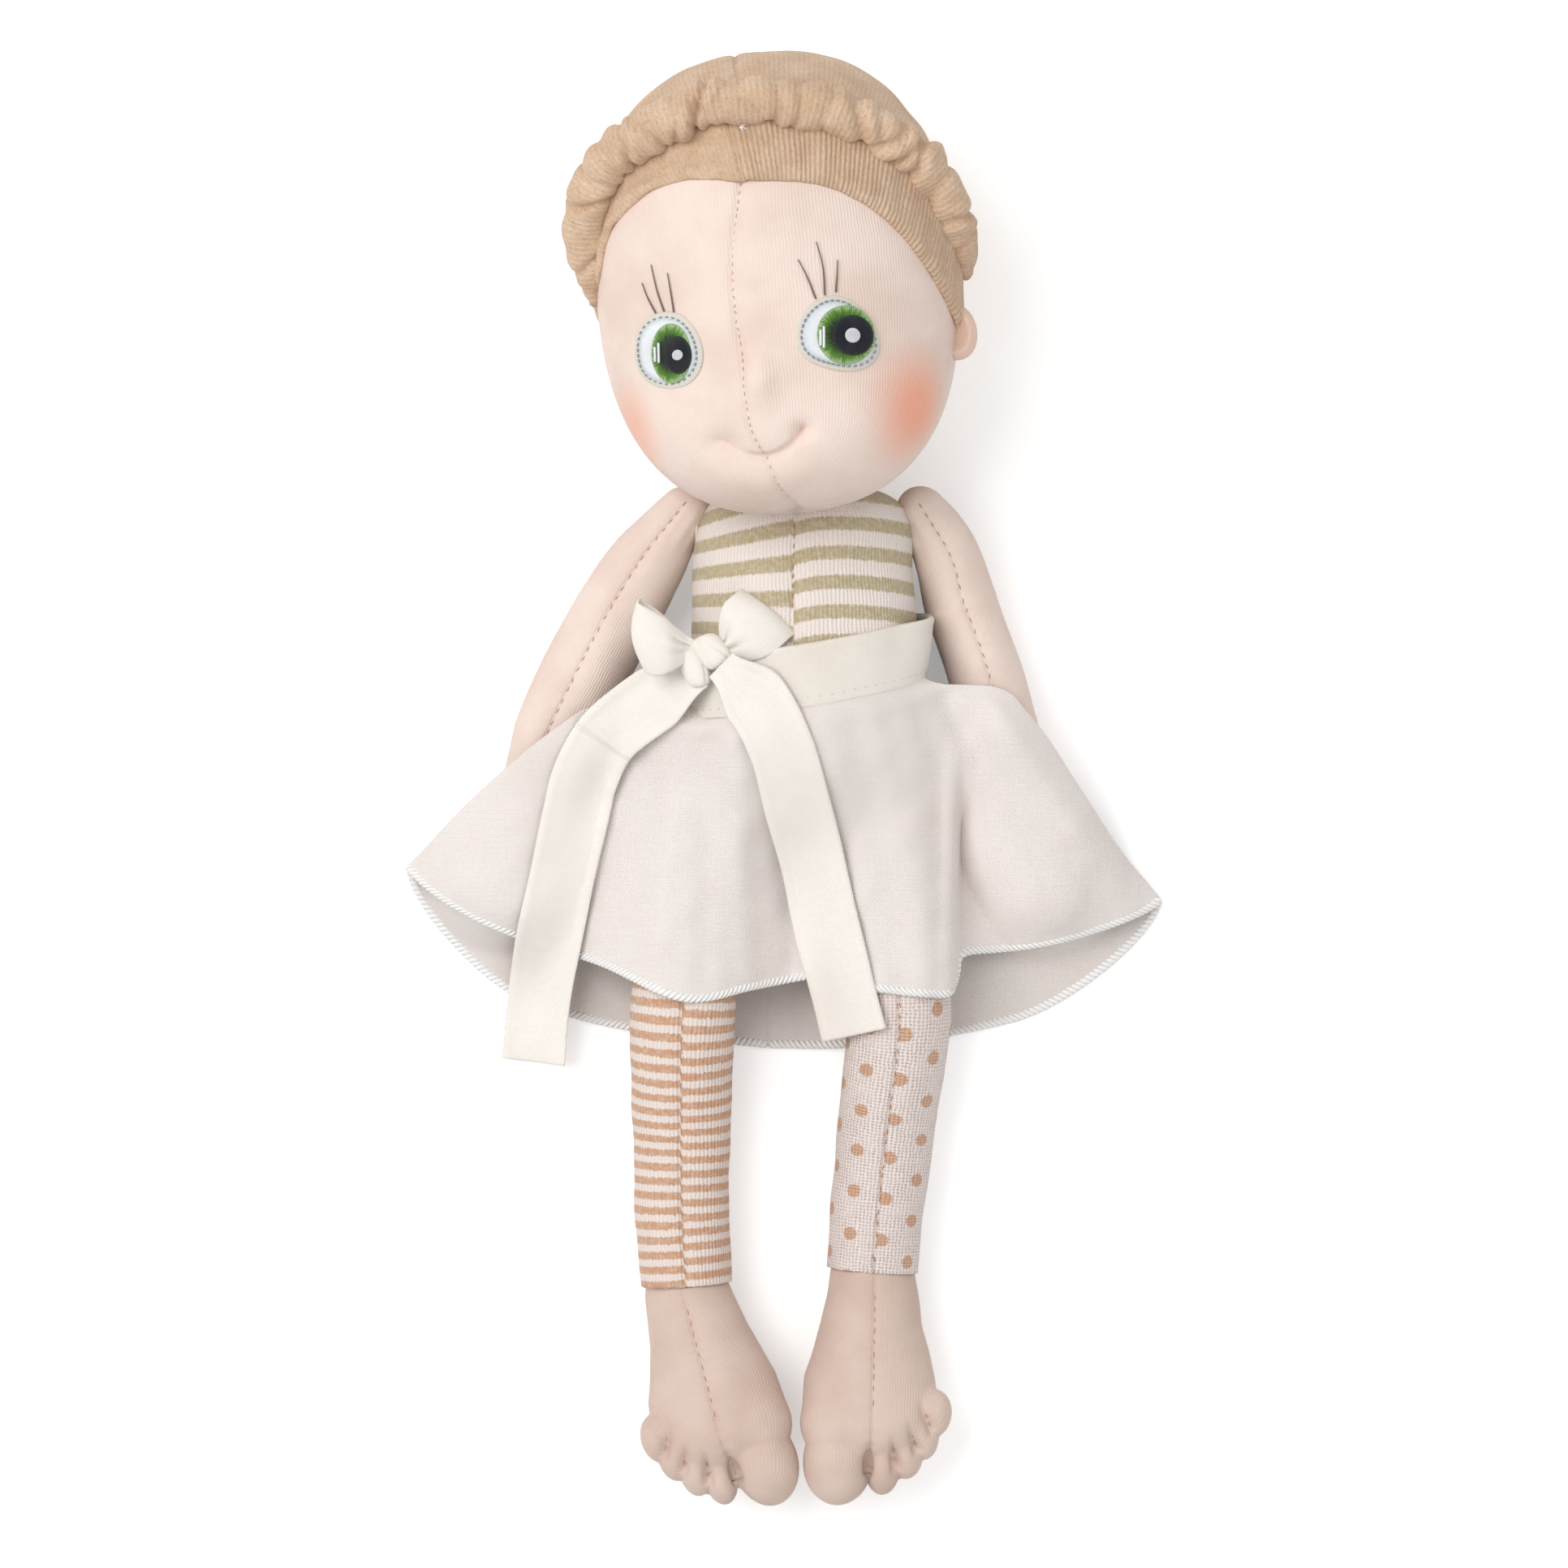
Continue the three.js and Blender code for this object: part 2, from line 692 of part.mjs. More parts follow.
/** The arch of a hairline or of the roll's foot, in the head's own directions. */
function arch(halfWidth, rise, foot, below) {
  const steps = 18;
  const outline = Array.from({ length: steps + 1 }, (_, i) => {
    const angle = (Math.PI * i) / steps;
    return [halfWidth * Math.cos(angle), foot + (rise - foot) * Math.sin(angle) ** 0.85];
  });
  outline.push([-halfWidth - below, -below], [halfWidth + below, -below]);
  outline[outline.length - 2][0] = -FAR / 4;
  outline[outline.length - 1][0] = FAR / 4;
  outline.splice(outline.length - 2, 0, [-FAR / 4, foot]);
  outline.push([FAR / 4, foot]);
  return outline.map(([x, y]) => {
    const p = onHead(x, y, 0);
    return [p.x, p.y];
  });
}

/** The height of the face over a place in the head's own directions. */
function faceHeight(x, y) {
  const place = y / HEAD_HALF_LENGTH;
  const full = fullness(place, HEAD_FULLNESS);
  const across = Math.sqrt(Math.max(0, 1 - (x / (HEAD_HALF_WIDTH * full)) ** 2));
  return HEAD_MIDDLE + CHIN_FORWARD * smoothstep(-place, 0.3, 1) + HEAD_FRONT * full * across;
}

/** The head: face panels, hair, roll, ears, eyes and stuffing. */
function makeHead() {
  const noseAt = onHead(NOSE.side, NOSE.up, faceHeight(NOSE.side, NOSE.up) - NOSE.deep);
  const nose = ellipsoid(noseAt, NOSE.wide, NOSE.tall, NOSE.deep + NOSE.proud, [0, 1], 10);
  const outer = headForm(0, FINE).add(nose);
  const skin = outer
    .subtract(headForm(-SKIN, COARSE))
    .subtract(neckSocket)
    .intersect(aboveFloor);
  const { rise, halfWidth, foot, behind } = HAIRLINE;
  const faceZone = upright(arch(halfWidth, rise, foot, 90), behind, FAR);
  const hairZone = upright(arch(halfWidth + GAP, rise + GAP, foot + GAP, 90), behind - GAP, FAR);
  const bandRise = rise + HAIR_BAND_DEPTH;
  const bandZone = upright(arch(halfWidth + 2, bandRise, foot + 3, 90), behind + 6, FAR);
  const backZone = upright(arch(halfWidth + 2 + GAP, bandRise + GAP, foot + 3, 90), behind + 6 - GAP, FAR);
  const hair = skin.subtract(hairZone);
  const seam = seamWall(FACE_SEAM.map(([x, y]) => onHead(x, y, 0).toArray()));
  const partingAt = onHead(FACE_SEAM[0][0], 0, 0).x;
  const parting = seamWall([
    [partingAt, HEAD_PLACE[1] - HEAD_HALF_LENGTH],
    [partingAt - PARTING_LEAN, HEAD_PLACE[1] + 2 * HEAD_HALF_LENGTH],
  ]);
  const [faceRight, faceLeft] = partedBySeam(skin.intersect(faceZone), seam);
  const [bandRight, bandLeft] = partedBySeam(hair.intersect(bandZone), parting);
  add('face_right_panel', faceRight, COLOURS.skin);
  add('face_left_panel', faceLeft, COLOURS.skin);
  add('hair_band_right', bandRight, COLOURS.velour);
  add('hair_band_left', bandLeft, COLOURS.velour);
  add('hair_back', largest(hair.subtract(backZone)), COLOURS.velour);
  add('head_filling', headForm(-SKIN - GAP, COARSE).subtract(neckSocket), COLOURS.wool);
  const around = headForm(GAP, FINE);
  add('hair_roll', largest(hairRoll().subtract(around)), COLOURS.velour);
  for (const [side, sign] of [['right', -1], ['left', 1]]) {
    add(`ear_${side}`, largest(ear(sign).subtract(around)), COLOURS.skin);
    add(`eye_${side}`, eye(EYES[side], around), COLOURS.felt, 0.8);
  }
}

/** The largest body of a solid, without the crumbs that a cut may leave. */
function largest(solid) {
  return solid.decompose().reduce((a, b) => (a.volume() > b.volume() ? a : b));
}

/** The gathered roll of velour that runs over the head from ear to ear. */
function hairRoll() {
  const steps = 4 * ROLL_PUCKERS;
  const rows = [];
  for (let i = 0; i <= steps; i++) {
    const turn = radians(lerp(-ROLL.sweep, ROLL.sweep, i / steps));
    const middle = onHead(
      ROLL.halfWidth * Math.sin(turn),
      ROLL.foot + ROLL.rise * Math.cos(turn),
      lerp(ROLL.low, ROLL.high, Math.max(0, Math.cos(turn))),
    );
    const outward = middle.clone().sub(onHead(0, 0, HEAD_MIDDLE)).normalize();
    const along = onHead(
      ROLL.halfWidth * Math.cos(turn),
      -ROLL.rise * Math.sin(turn),
      -(ROLL.high - ROLL.low) * Math.sin(turn),
    )
      .sub(onHead(0, 0, 0))
      .normalize();
    const across = outward.clone().cross(along).normalize();
    const ending = Math.sqrt(Math.sin((Math.PI * clamp(i, 0.6, steps - 0.6)) / steps));
    const pucker = 1 - 0.14 * Math.cos((2 * Math.PI * ROLL_PUCKERS * i) / steps);
    const radius = ROLL.thick * pucker * Math.min(1, 1.6 * ending);
    rows.push(
      Array.from({ length: 8 }, (_, j) => {
        const angle = (Math.PI * j) / 4;
        return middle
          .clone()
          .addScaledVector(outward, radius * Math.cos(angle))
          .addScaledVector(across, radius * Math.sin(angle));
      }),
    );
  }
  return solidFromRows(rows);
}

/** An ear: a short rolled crescent, open towards the face, with its lobe. */
function ear(sign) {
  const full = fullness(EAR.up / HEAD_HALF_LENGTH, HEAD_FULLNESS);
  const side = sign * (HEAD_HALF_WIDTH * full - 0.5);
  const steps = 10;
  const rows = Array.from({ length: steps + 1 }, (_, i) => {
    const turn = radians(lerp(-115, 115, i / steps));
    const middle = onHead(
      side + sign * EAR.halfWide * Math.cos(turn),
      EAR.up + EAR.halfTall * Math.sin(turn),
      EAR.height - 3 * Math.cos(turn),
    );
    const radius = lerp(EAR.lobe, EAR.thick, i / steps) / 1.4;
    const out = point(sign * Math.cos(turn), Math.sin(turn), 0);
    return Array.from({ length: 6 }, (_, j) => {
      const angle = (Math.PI * j) / 3;
      return middle
        .clone()
        .addScaledVector(out, radius * Math.cos(angle))
        .addScaledVector(point(0, 0, 1), 1.3 * radius * Math.sin(angle));
    });
  });
  return solidFromRows(rows);
}

/** An oval felt eye that follows the face. */
function eye({ side, up, halfWidth, halfHeight }, around) {
  const sides = 18;
  const outline = Array.from({ length: sides }, (_, i) => {
    const angle = (2 * Math.PI * i) / sides;
    const p = onHead(side + halfWidth * Math.cos(angle), up + halfHeight * Math.sin(angle), 0);
    return [p.x, p.y];
  });
  const oval = upright(outline, HEAD_MIDDLE, FAR);
  return largest(oval.intersect(headForm(GAP + EYE_FELT, FINE).subtract(around)));
}

/** The shoulder's place on an arm, its socket in the torso and the tab that the arm is sewn on by. */
function shoulder({ limb, inward }) {
  const tabInside = SHOULDER_RADIUS + GAP;
  const tabOutside = tabInside + TAB_CLOTH;
  const reach = tabOutside * Math.cos(radians(TAB_ANGLE));
  const towardsTorso = [limb.start.x + inward * reach, limb.start.x + inward * FAR];
  const half = block(
    point(Math.min(...towardsTorso), -FAR, -FAR),
    point(Math.max(...towardsTorso), FAR, FAR),
  );
  return {
    socket: ball(limb.start, tabOutside + GAP),
    tab: ball(limb.start, tabOutside).subtract(ball(limb.start, tabInside)).intersect(half),
  };
}

/** The room that a leg takes in the torso as it swings forward. */
function hipSocket(leg) {
  const up = new Limb({
    path: [leg.start.toArray(), [leg.start.x, leg.start.y - 0.01, leg.start.z + TORSO_DEPTH]],
    wide: [HIP_RADIUS + GAP + 0.1, HIP_RADIUS + GAP + 0.4],
  });
  return up.form(0, 2 * LIMB_CORE_SIDES, 1);
}

/** The torso: two front panels, the back and the stuffing, with the seats of neck and limbs. */
function makeTorso() {
  const seats = [neckSocket];
  for (const side of ['right', 'left']) {
    seats.push(shoulder(arms[side]).socket, hipSocket(legs[side]));
  }
  let skin = torsoForm(0, FINE).subtract(torsoForm(-SKIN, COARSE)).intersect(aboveFloor);
  let filling = torsoForm(-SKIN - GAP, COARSE);
  for (const seat of seats) {
    skin = skin.subtract(seat);
    filling = filling.subtract(seat);
  }
  const frontHalf = block(point(-FAR, -FAR, TORSO_MIDDLE + GAP), point(FAR, FAR, FAR));
  const backHalf = block(point(-FAR, -FAR, -FAR), point(FAR, FAR, TORSO_MIDDLE));
  const centre = TORSO_SPINE.map(([x, y]) => [x - SEAM_BESIDE_SPINE, y]);
  const line = [[centre[0][0], -FAR / 8], ...centre, [centre[2][0], FAR / 3]];
  const [right, left] = partedBySeam(skin.intersect(frontHalf), seamWall(line));
  add('torso_front_right_panel', right, COLOURS.khakiStripe);
  add('torso_front_left_panel', left, COLOURS.khakiStripe);
  add('torso_back_panel', largest(skin.intersect(backHalf)), COLOURS.khakiStripe);
  add('torso_filling', largest(filling), COLOURS.wool);
}

/** The slab between the waistband's edges, with more to spare below or above. */
function bandSlab(height) {
  const geometry = new THREE.BoxGeometry(FAR, height, FAR);
  geometry.rotateX(radians(BAND_TILT));
  geometry.rotateZ(radians(BAND_SLOPE));
  geometry.translate(TORSO_SPINE[1][0], BAND_PLACE, TORSO_MIDDLE);
  return solidOf(geometry);
}

/** The waistband, a ring of folded cotton round the torso. */
function makeWaistband() {
  const ring = torsoForm(GAP + 1.5 * COTTON, FINE).subtract(torsoForm(GAP, FINE));
  add('waistband', largest(ring.intersect(bandSlab(BAND_HEIGHT)).intersect(aboveFloor)), COLOURS.cotton);
}

/** The height of the torso's front or back surface over a point, or null beside the torso. */
function torsoHeight(x, y, grow, front) {
  const half = (TORSO_SPINE[2][1] - TORSO_SPINE[0][1]) / 2;
  const place = clamp((y - TORSO_SPINE[1][1]) / (half + grow), -1, 1);
  const s = torsoSection(place, grow);
  const away = s.wide > 0 ? Math.abs(x - s.x) / s.wide : 2;
  if (away >= 1) {
    return null;
  }
  const share = Math.sqrt(1 - away * away);
  return front ? s.z + s.front * share : s.z - s.back * share;
}

/** The middle of the skirt's back cloth over a point: on the floor, or over an arm. */
function backCloth(x, y) {
  const overArm = Object.values(arms).map((arm) => arm.covered.cover(x, y, CLOTH_CLEAR, BACK_FALL));
  const under = torsoHeight(x, y, CLOTH_CLEAR, false);
  return Math.max(SKIRT_LIFT, Math.min(under === null ? FAR : under, Math.max(...overArm)));
}

/** The height of cloth over the belly, fading out below it. */
function overBelly(x, y) {
  const half = (TORSO_SPINE[2][1] - TORSO_SPINE[0][1]) / 2;
  const s = torsoSection(Math.max(-0.6, (y - TORSO_SPINE[1][1]) / half), CLOTH_CLEAR);
  const height = s.z + s.front * draped(Math.abs(x - s.x) / s.wide, FRONT_FALL);
  return height * smoothstep(y, ...BELLY_FADE);
}

/** The middle of the skirt's front cloth over a point: over legs, arms and belly. */
function frontCloth(x, y) {
  const limbs = [...Object.values(legs), ...Object.values(arms).map((arm) => arm.covered)];
  const over = limbs.map((limb) => limb.cover(x, y, CLOTH_CLEAR, FRONT_FALL));
  return Math.max(backCloth(x, y) + LAYER_STEP, overBelly(x, y), ...over);
}

/** How much taller than its thickness a cloth stands at a point of its grid, where it slopes. */
function slant(grid, i, j) {
  const last = grid.length - 1;
  const end = grid[0].length - 1;
  const down = grid[Math.min(i + 1, last)][j].clone().sub(grid[Math.max(i - 1, 0)][j]);
  const across = grid[i][Math.min(j + 1, end)].clone().sub(grid[i][Math.max(j - 1, 0)]);
  const normal = down.cross(across);
  return Math.min(STEEP, normal.length() / Math.abs(normal.z));
}

/** A cloth of even thickness from a grid of points on its middle. */
function clothFromGrid(grid) {
  const lifted = (amount) =>
    grid.map((row, i) => row.map((p, j) => p.clone().setZ(p.z + amount * slant(grid, i, j))));
  const top = lifted(COTTON / 2);
  const bottom = lifted(-COTTON / 2);
  const rows = grid.map((_, i) => [...top[i], ...bottom[i].toReversed()]);
  return stitched(rows);
}

/**
 * A closed solid from rows whose points go out over the cloth's top and back under it.
 * Each cell is halved along the same diagonal above and below, so that its walls keep apart.
 */
function stitched(rows) {
  const positions = rows.flat().flatMap((p) => [p.x, p.y, p.z]);
  const wide = rows[0].length;
  const index = [];
  for (let i = 0; i + 1 < rows.length; i++) {
    for (let j = 0; j < wide; j++) {
      const k = (j + 1) % wide;
      const [a, b, c, d] = [i * wide + j, i * wide + k, (i + 1) * wide + k, (i + 1) * wide + j];
      index.push(...(j < wide / 2 ? [a, b, c, a, c, d] : [a, b, d, b, c, d]));
    }
  }
  for (const [row, last] of [[0, false], [rows.length - 1, true]]) {
    for (let j = 0; j + 1 < wide / 2; j++) {
      const [a, b] = [row * wide + j, row * wide + j + 1];
      const [c, d] = [row * wide + wide - 2 - j, row * wide + wide - 1 - j];
      index.push(...(last ? [a, b, c, a, c, d] : [a, c, b, a, d, c]));
    }
  }
  const geometry = new THREE.BufferGeometry();
  geometry.setAttribute('position', new THREE.Float32BufferAttribute(positions, 3));
  geometry.setIndex(signedVolume(positions, index) < 0 ? index.reverse() : index);
  return solidOf(geometry);
}

/** A point on the waistband's lower edge, at an angle round the torso from its left side. */
function bandEdge(angle) {
  const grow = CLOTH_CLEAR;
  const drop = BAND_HEIGHT / 2 + GAP + COTTON;
  const half = (TORSO_SPINE[2][1] - TORSO_SPINE[0][1]) / 2;
  let y = BAND_PLACE - drop;
  let s = torsoSection(clamp((y - TORSO_SPINE[1][1]) / half, -1, 1), grow);
  const x = s.x + s.wide * Math.cos(angle);
  const z = s.z + (Math.sin(angle) > 0 ? s.front : s.back) * Math.sin(angle);
  y += (x - TORSO_SPINE[1][0]) * Math.tan(radians(BAND_SLOPE));
  y -= (z - TORSO_MIDDLE) * Math.tan(radians(BAND_TILT));
  return point(x, y, z);
}

/** One panel of the skirt, between the waistband, its hem and its side. */
function skirtPanel(side, front) {
  const hem = new THREE.CatmullRomCurve3(
    (front ? FRONT_HEMS : BACK_HEMS)[side].map(([x, y]) => point(x, y, 0)),
  );
  const edge = new THREE.CatmullRomCurve3(SKIRT_SIDES[side].map(([x, y]) => point(x, y, 0)));
  const sign = side === 'right' ? -1 : 1;
  const startX = front ? FRONT_OPENING_WAIST : BACK_HEMS.right[0][0];
  const start = Math.asin(clamp((startX - TORSO_SPINE[1][0]) / TORSO_HALF_WIDTH, -1, 1));
  const cloth = front ? frontCloth : backCloth;
  const { across, down } = CLOTH_GRID;
  return Array.from({ length: down + 1 }, (_, i) => {
    const t = i / down;
    return Array.from({ length: across + 1 }, (_, j) => {
      const s = j / across;
      const gapHere = (sign * GAP * (1 - s)) / 2;
      const swing = lerp(start, (sign * Math.PI * SIDE_TURN) / 2, s);
      const angle = front ? Math.PI / 2 - swing : -Math.PI / 2 + swing;
      const top = bandEdge(angle);
      top.y += SIDE_RISE * Math.max(0, edge.getPointAt(0).y - top.y) * smoothstep(s, 0.6, 1);
      const low = hem.getPointAt(s);
      const bow = smoothstep(s, 0.55, 1);
      const straight = point(lerp(top.x, low.x, t), lerp(top.y, low.y, t), 0);
      const beyond = edge.getPointAt(t);
      const x = lerp(straight.x, beyond.x, bow * smoothstep(t, 0, 0.25)) + gapHere;
      const y = lerp(straight.y, beyond.y, bow * smoothstep(t, 0, 0.25));
      const together = smoothstep(s, 0.8, 1) * smoothstep(t, 0.05, 0.3);
      const level = cloth(x, y);
      const near = front ? lerp(level, backCloth(x, y) + LAYER_STEP, together) : level;
      return point(x, y, i === 0 ? Math.max(top.z, SKIRT_LIFT) : near);
    });
  });
}

/** The four panels of the wrap skirt: it opens in front, under the left end of the sash. */
function makeSkirt() {
  const panels = [];
  for (const side of ['right', 'left']) {
    const [front, back] = [skirtPanel(side, true), skirtPanel(side, false)];
    const under = clothFromGrid(back);
    const room = under.add(under.translate([0, 0, GAP]));
    add(`skirt_front_${side}`, largest(clothFromGrid(front).subtract(room)), COLOURS.cotton);
    add(`skirt_back_${side}`, under, COLOURS.cotton);
    panels.push(front, back);
  }
  return panels;
}

/** The height of a cloth's grid over a point, or nothing beside it. */
function gridHeight(grid, x, y) {
  let best = 0;
  const at = point(x, y, 0);
  for (let i = 0; i + 1 < grid.length; i++) {
    for (let j = 0; j + 1 < grid[i].length; j++) {
      const [a, b, c, d] = [grid[i][j], grid[i][j + 1], grid[i + 1][j + 1], grid[i + 1][j]];
      for (const corners of [[a, b, c], [a, c, d]]) {
        const flat = new THREE.Triangle(...corners.map((p) => point(p.x, p.y, 0)));
        const share = flat.getBarycoord(at, point(0, 0, 0));
        if (share && Math.min(share.x, share.y, share.z) >= 0) {
          const [p, q, r] = corners;
          best = Math.max(best, share.x * p.z + share.y * q.z + share.z * r.z);
        }
      }
    }
  }
  return best;
}

/** One hanging end of the sash, laid over the skirt. */
function sashTail(line, panels) {
  const curve = new THREE.CatmullRomCurve3(line.map(([x, y]) => point(x, y, 0)));
  const steps = 22;
  const across = 3;
  return Array.from({ length: steps + 1 }, (_, i) => {
    const t = i / steps;
    const middle = curve.getPointAt(t);
    const along = curve.getTangentAt(t);
    const side = point(-along.y, along.x, 0);
    const width = lerp(0.35, 1, smoothstep(t, 0, 0.3)) * SASH_WIDTH;
    return Array.from({ length: across + 1 }, (_, j) => {
      const p = middle.clone().addScaledVector(side, width * (j / across - 0.5));
      const steps = [-TAIL_REACH, 0, TAIL_REACH];
      const around = steps.flatMap((a) => steps.map((b) => [p.x + a, p.y + b]));
      const under = around.flatMap(([x, y]) => [
        overBelly(x, y),
        ...Object.values(legs).map((leg) => leg.cover(x, y, 0, FRONT_FALL)),
        ...panels.map((grid) => gridHeight(grid, x, y)),
      ]);
      return p.setZ(Math.max(SKIRT_LIFT, ...under) + TAIL_STEP);
    });
  });
}

/** One loop of the bow: a strip that leaves the knot, folds and comes back under itself. */
function bowLoop({ heading, reach }, base) {
  const [hx, hy] = [Math.cos(radians(heading)), Math.sin(radians(heading))];
  const side = point(-hy, hx, 0);
  const outline = [
    [0.24, 0.42, 0.36],
    [0.42, 0.86, 0.62],
    [0.68, 1, 0.86],
    [0.9, 0.86, 1],
    [1, 0.45, 1],
    [0.9, 0.08, 1],
    [0.68, 0, 0.86],
    [0.42, 0, 0.62],
    [0.24, 0.12, 0.36],
  ];
  const middles = outline.map(([out, up]) =>
    point(base.x + hx * reach * out, base.y + hy * reach * out, base.z + LOOP_RISE * up),
  );
  const rows = middles.map((middle, i) => {
    const before = middles[Math.max(0, i - 1)];
    const after = middles[Math.min(middles.length - 1, i + 1)];
    const normal = side.clone().cross(after.clone().sub(before)).normalize();
    const half = (outline[i][2] * SASH_WIDTH) / 2;
    const corner = (s, n) =>
      middle.clone().addScaledVector(side, s * half).addScaledVector(normal, (n * COTTON) / 2);
    return [corner(-1, -1), corner(1, -1), corner(1, 1), corner(-1, 1)];
  });
  return solidFromRows(rows);
}

/** The bow and the two ends of the sash. */
function makeSash(panels) {
  const bandTop = torsoHeight(...KNOT.place, GAP + 1.5 * COTTON, true);
  const base = point(...KNOT.place, bandTop + GAP + COTTON);
  const [kx, ky, kz] = KNOT.half;
  const knot = ellipsoid(base.clone().setZ(base.z + kz - COTTON / 2), kx, ky, kz, [0, 1], 12);
  const band = torsoForm(2 * GAP + 1.5 * COTTON, FINE);
  const roomForKnot = ellipsoid(
    base.clone().setZ(base.z + kz - COTTON / 2),
    kx + GAP,
    ky + GAP,
    kz + GAP,
    [0, 1],
    12,
  );
  add('bow_knot', largest(knot.subtract(band)), COLOURS.cotton);
  for (const side of ['right', 'left']) {
    const loop = bowLoop(LOOPS[side], base).subtract(roomForKnot).subtract(band);
    add(`bow_loop_${side}`, largest(loop), COLOURS.cotton);
    const tail = clothFromGrid(sashTail(TAILS[side], panels)).subtract(roomForKnot).subtract(band);
    add(`sash_tail_${side}`, largest(tail), COLOURS.cotton);
  }
}

/** An arm's hand: four short fingers and a thumb sewn in the jersey. */
function fingers({ limb, heading, inward }) {
  const bumps = [-1.5, -0.5, 0.5, 1.5].map((n) => {
    const reach = FINGER.reach - 0.5 * Math.abs(n);
    const centre = beside(limb.end, heading, reach, n * FINGER.step);
    return ellipsoid(centre, FINGER.wide, FINGER.long, FINGER.thick, heading);
  });
  const thumbAt = beside(limb.end, heading, THUMB.reach, inward * THUMB.side, 1);
  const thumbHeading = [heading[0] + inward * 0.5, heading[1]];
  bumps.push(ellipsoid(thumbAt, THUMB.wide, THUMB.long, THUMB.thick, thumbHeading));
  return bumps;
}

/** The arms with their hands, and the tabs that they are sewn on by. */
function makeArms() {
  for (const side of ['right', 'left']) {
    const { limb } = arms[side];
    add(`arm_tab_${side}`, shoulder(arms[side]).tab, COLOURS.skin);
    const pieces = limbPieces(limb, { bumps: fingers(arms[side]), steps: 9 });
    const [outer, inner] =
      side === 'right' ? [pieces.first, pieces.second] : [pieces.second, pieces.first];
    add(`arm_outer_panel_${side}`, outer, COLOURS.skin);
    add(`arm_inner_panel_${side}`, inner, COLOURS.skin);
    add(`arm_filling_${side}`, pieces.filling, COLOURS.wool);
  }
}

/** The knitted legs, each of two panels over its stuffing, hollowed for the ankle. */
function makeLegs() {
  for (const side of ['right', 'left']) {
    const cup = ball(feet[side].origin, ANKLE_RADIUS + GAP);
    const pieces = limbPieces(legs[side], { sockets: [cup], steps: 9, openEnd: true });
    const [outer, inner] =
      side === 'right' ? [pieces.first, pieces.second] : [pieces.second, pieces.first];
    const colour = side === 'right' ? COLOURS.brownStripe : COLOURS.dotted;
    add(`leg_outer_panel_${side}`, outer, colour);
    add(`leg_inner_panel_${side}`, inner, colour);
    add(`leg_filling_${side}`, pieces.filling, COLOURS.wool);
  }
}

/** The feet with their five toes, each of two panels over its stuffing. */
function makeFeet() {
  for (const side of ['right', 'left']) {
    const { limb, heading, origin, inward } = feet[side];
    const bumps = TOES.map((toe) => {
      const centre = beside(origin, heading, toe.reach, inward * toe.side, TOE_RISE);
      return ellipsoid(centre, toe.wide, toe.long, toe.thick, heading);
    });
    const pieces = limbPieces(limb, { bumps, steps: 5 });
    const [outer, inner] =
      side === 'right' ? [pieces.first, pieces.second] : [pieces.second, pieces.first];
    add(`foot_outer_panel_${side}`, outer, COLOURS.skin);
    add(`foot_inner_panel_${side}`, inner, COLOURS.skin);
    add(`foot_filling_${side}`, pieces.filling, COLOURS.wool);
  }
}

makeHead();
add('neck', ball(neckCentre, NECK_RADIUS, 16), COLOURS.skin);
makeTorso();
makeWaistband();
makeSash(makeSkirt());
makeArms();
makeLegs();
makeFeet();

const doll = new THREE.Group();
doll.add(...parts);
const reach = new THREE.Box3().setFromObject(doll);
const centre = reach.getCenter(new THREE.Vector3());
doll.position.set(-centre.x, -centre.y, -reach.min.z);

export default doll;
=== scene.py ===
"""A stuffed rag doll in a wrap skirt, lying on its back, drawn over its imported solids.

Lengths in the classes are millimetres in the part's own directions: X runs to the doll's own
left, Y to the top of its head and Z out of its chest. Right and left are the doll's own.
"""

import logging
import math
from dataclasses import dataclass, field
from enum import Enum
from typing import Callable, Sequence

import bmesh
import bpy
import numpy as np
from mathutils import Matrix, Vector


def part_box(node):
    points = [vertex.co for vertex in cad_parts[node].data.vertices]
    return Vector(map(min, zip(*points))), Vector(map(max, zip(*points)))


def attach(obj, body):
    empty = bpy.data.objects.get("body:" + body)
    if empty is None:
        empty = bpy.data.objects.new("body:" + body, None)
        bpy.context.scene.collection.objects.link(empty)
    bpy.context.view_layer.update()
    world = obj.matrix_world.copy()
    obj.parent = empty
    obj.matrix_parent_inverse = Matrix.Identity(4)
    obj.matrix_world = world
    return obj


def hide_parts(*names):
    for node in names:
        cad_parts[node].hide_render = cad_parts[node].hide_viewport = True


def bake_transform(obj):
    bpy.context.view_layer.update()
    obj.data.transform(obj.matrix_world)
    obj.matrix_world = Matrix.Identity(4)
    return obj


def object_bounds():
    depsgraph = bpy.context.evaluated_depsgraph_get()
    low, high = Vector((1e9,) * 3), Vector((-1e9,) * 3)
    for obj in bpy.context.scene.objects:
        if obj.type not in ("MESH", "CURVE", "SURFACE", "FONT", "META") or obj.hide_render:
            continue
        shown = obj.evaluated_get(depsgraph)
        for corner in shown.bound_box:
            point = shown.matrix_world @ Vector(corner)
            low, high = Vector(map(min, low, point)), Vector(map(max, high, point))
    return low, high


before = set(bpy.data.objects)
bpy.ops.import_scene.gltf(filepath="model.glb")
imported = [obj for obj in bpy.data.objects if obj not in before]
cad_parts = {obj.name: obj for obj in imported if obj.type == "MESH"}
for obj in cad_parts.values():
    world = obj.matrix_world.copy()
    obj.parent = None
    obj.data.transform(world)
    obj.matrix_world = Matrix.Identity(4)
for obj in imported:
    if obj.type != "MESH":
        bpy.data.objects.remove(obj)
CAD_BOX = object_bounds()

logging.basicConfig(level=logging.INFO, format="%(message)s")
LOG = logging.getLogger("doll")

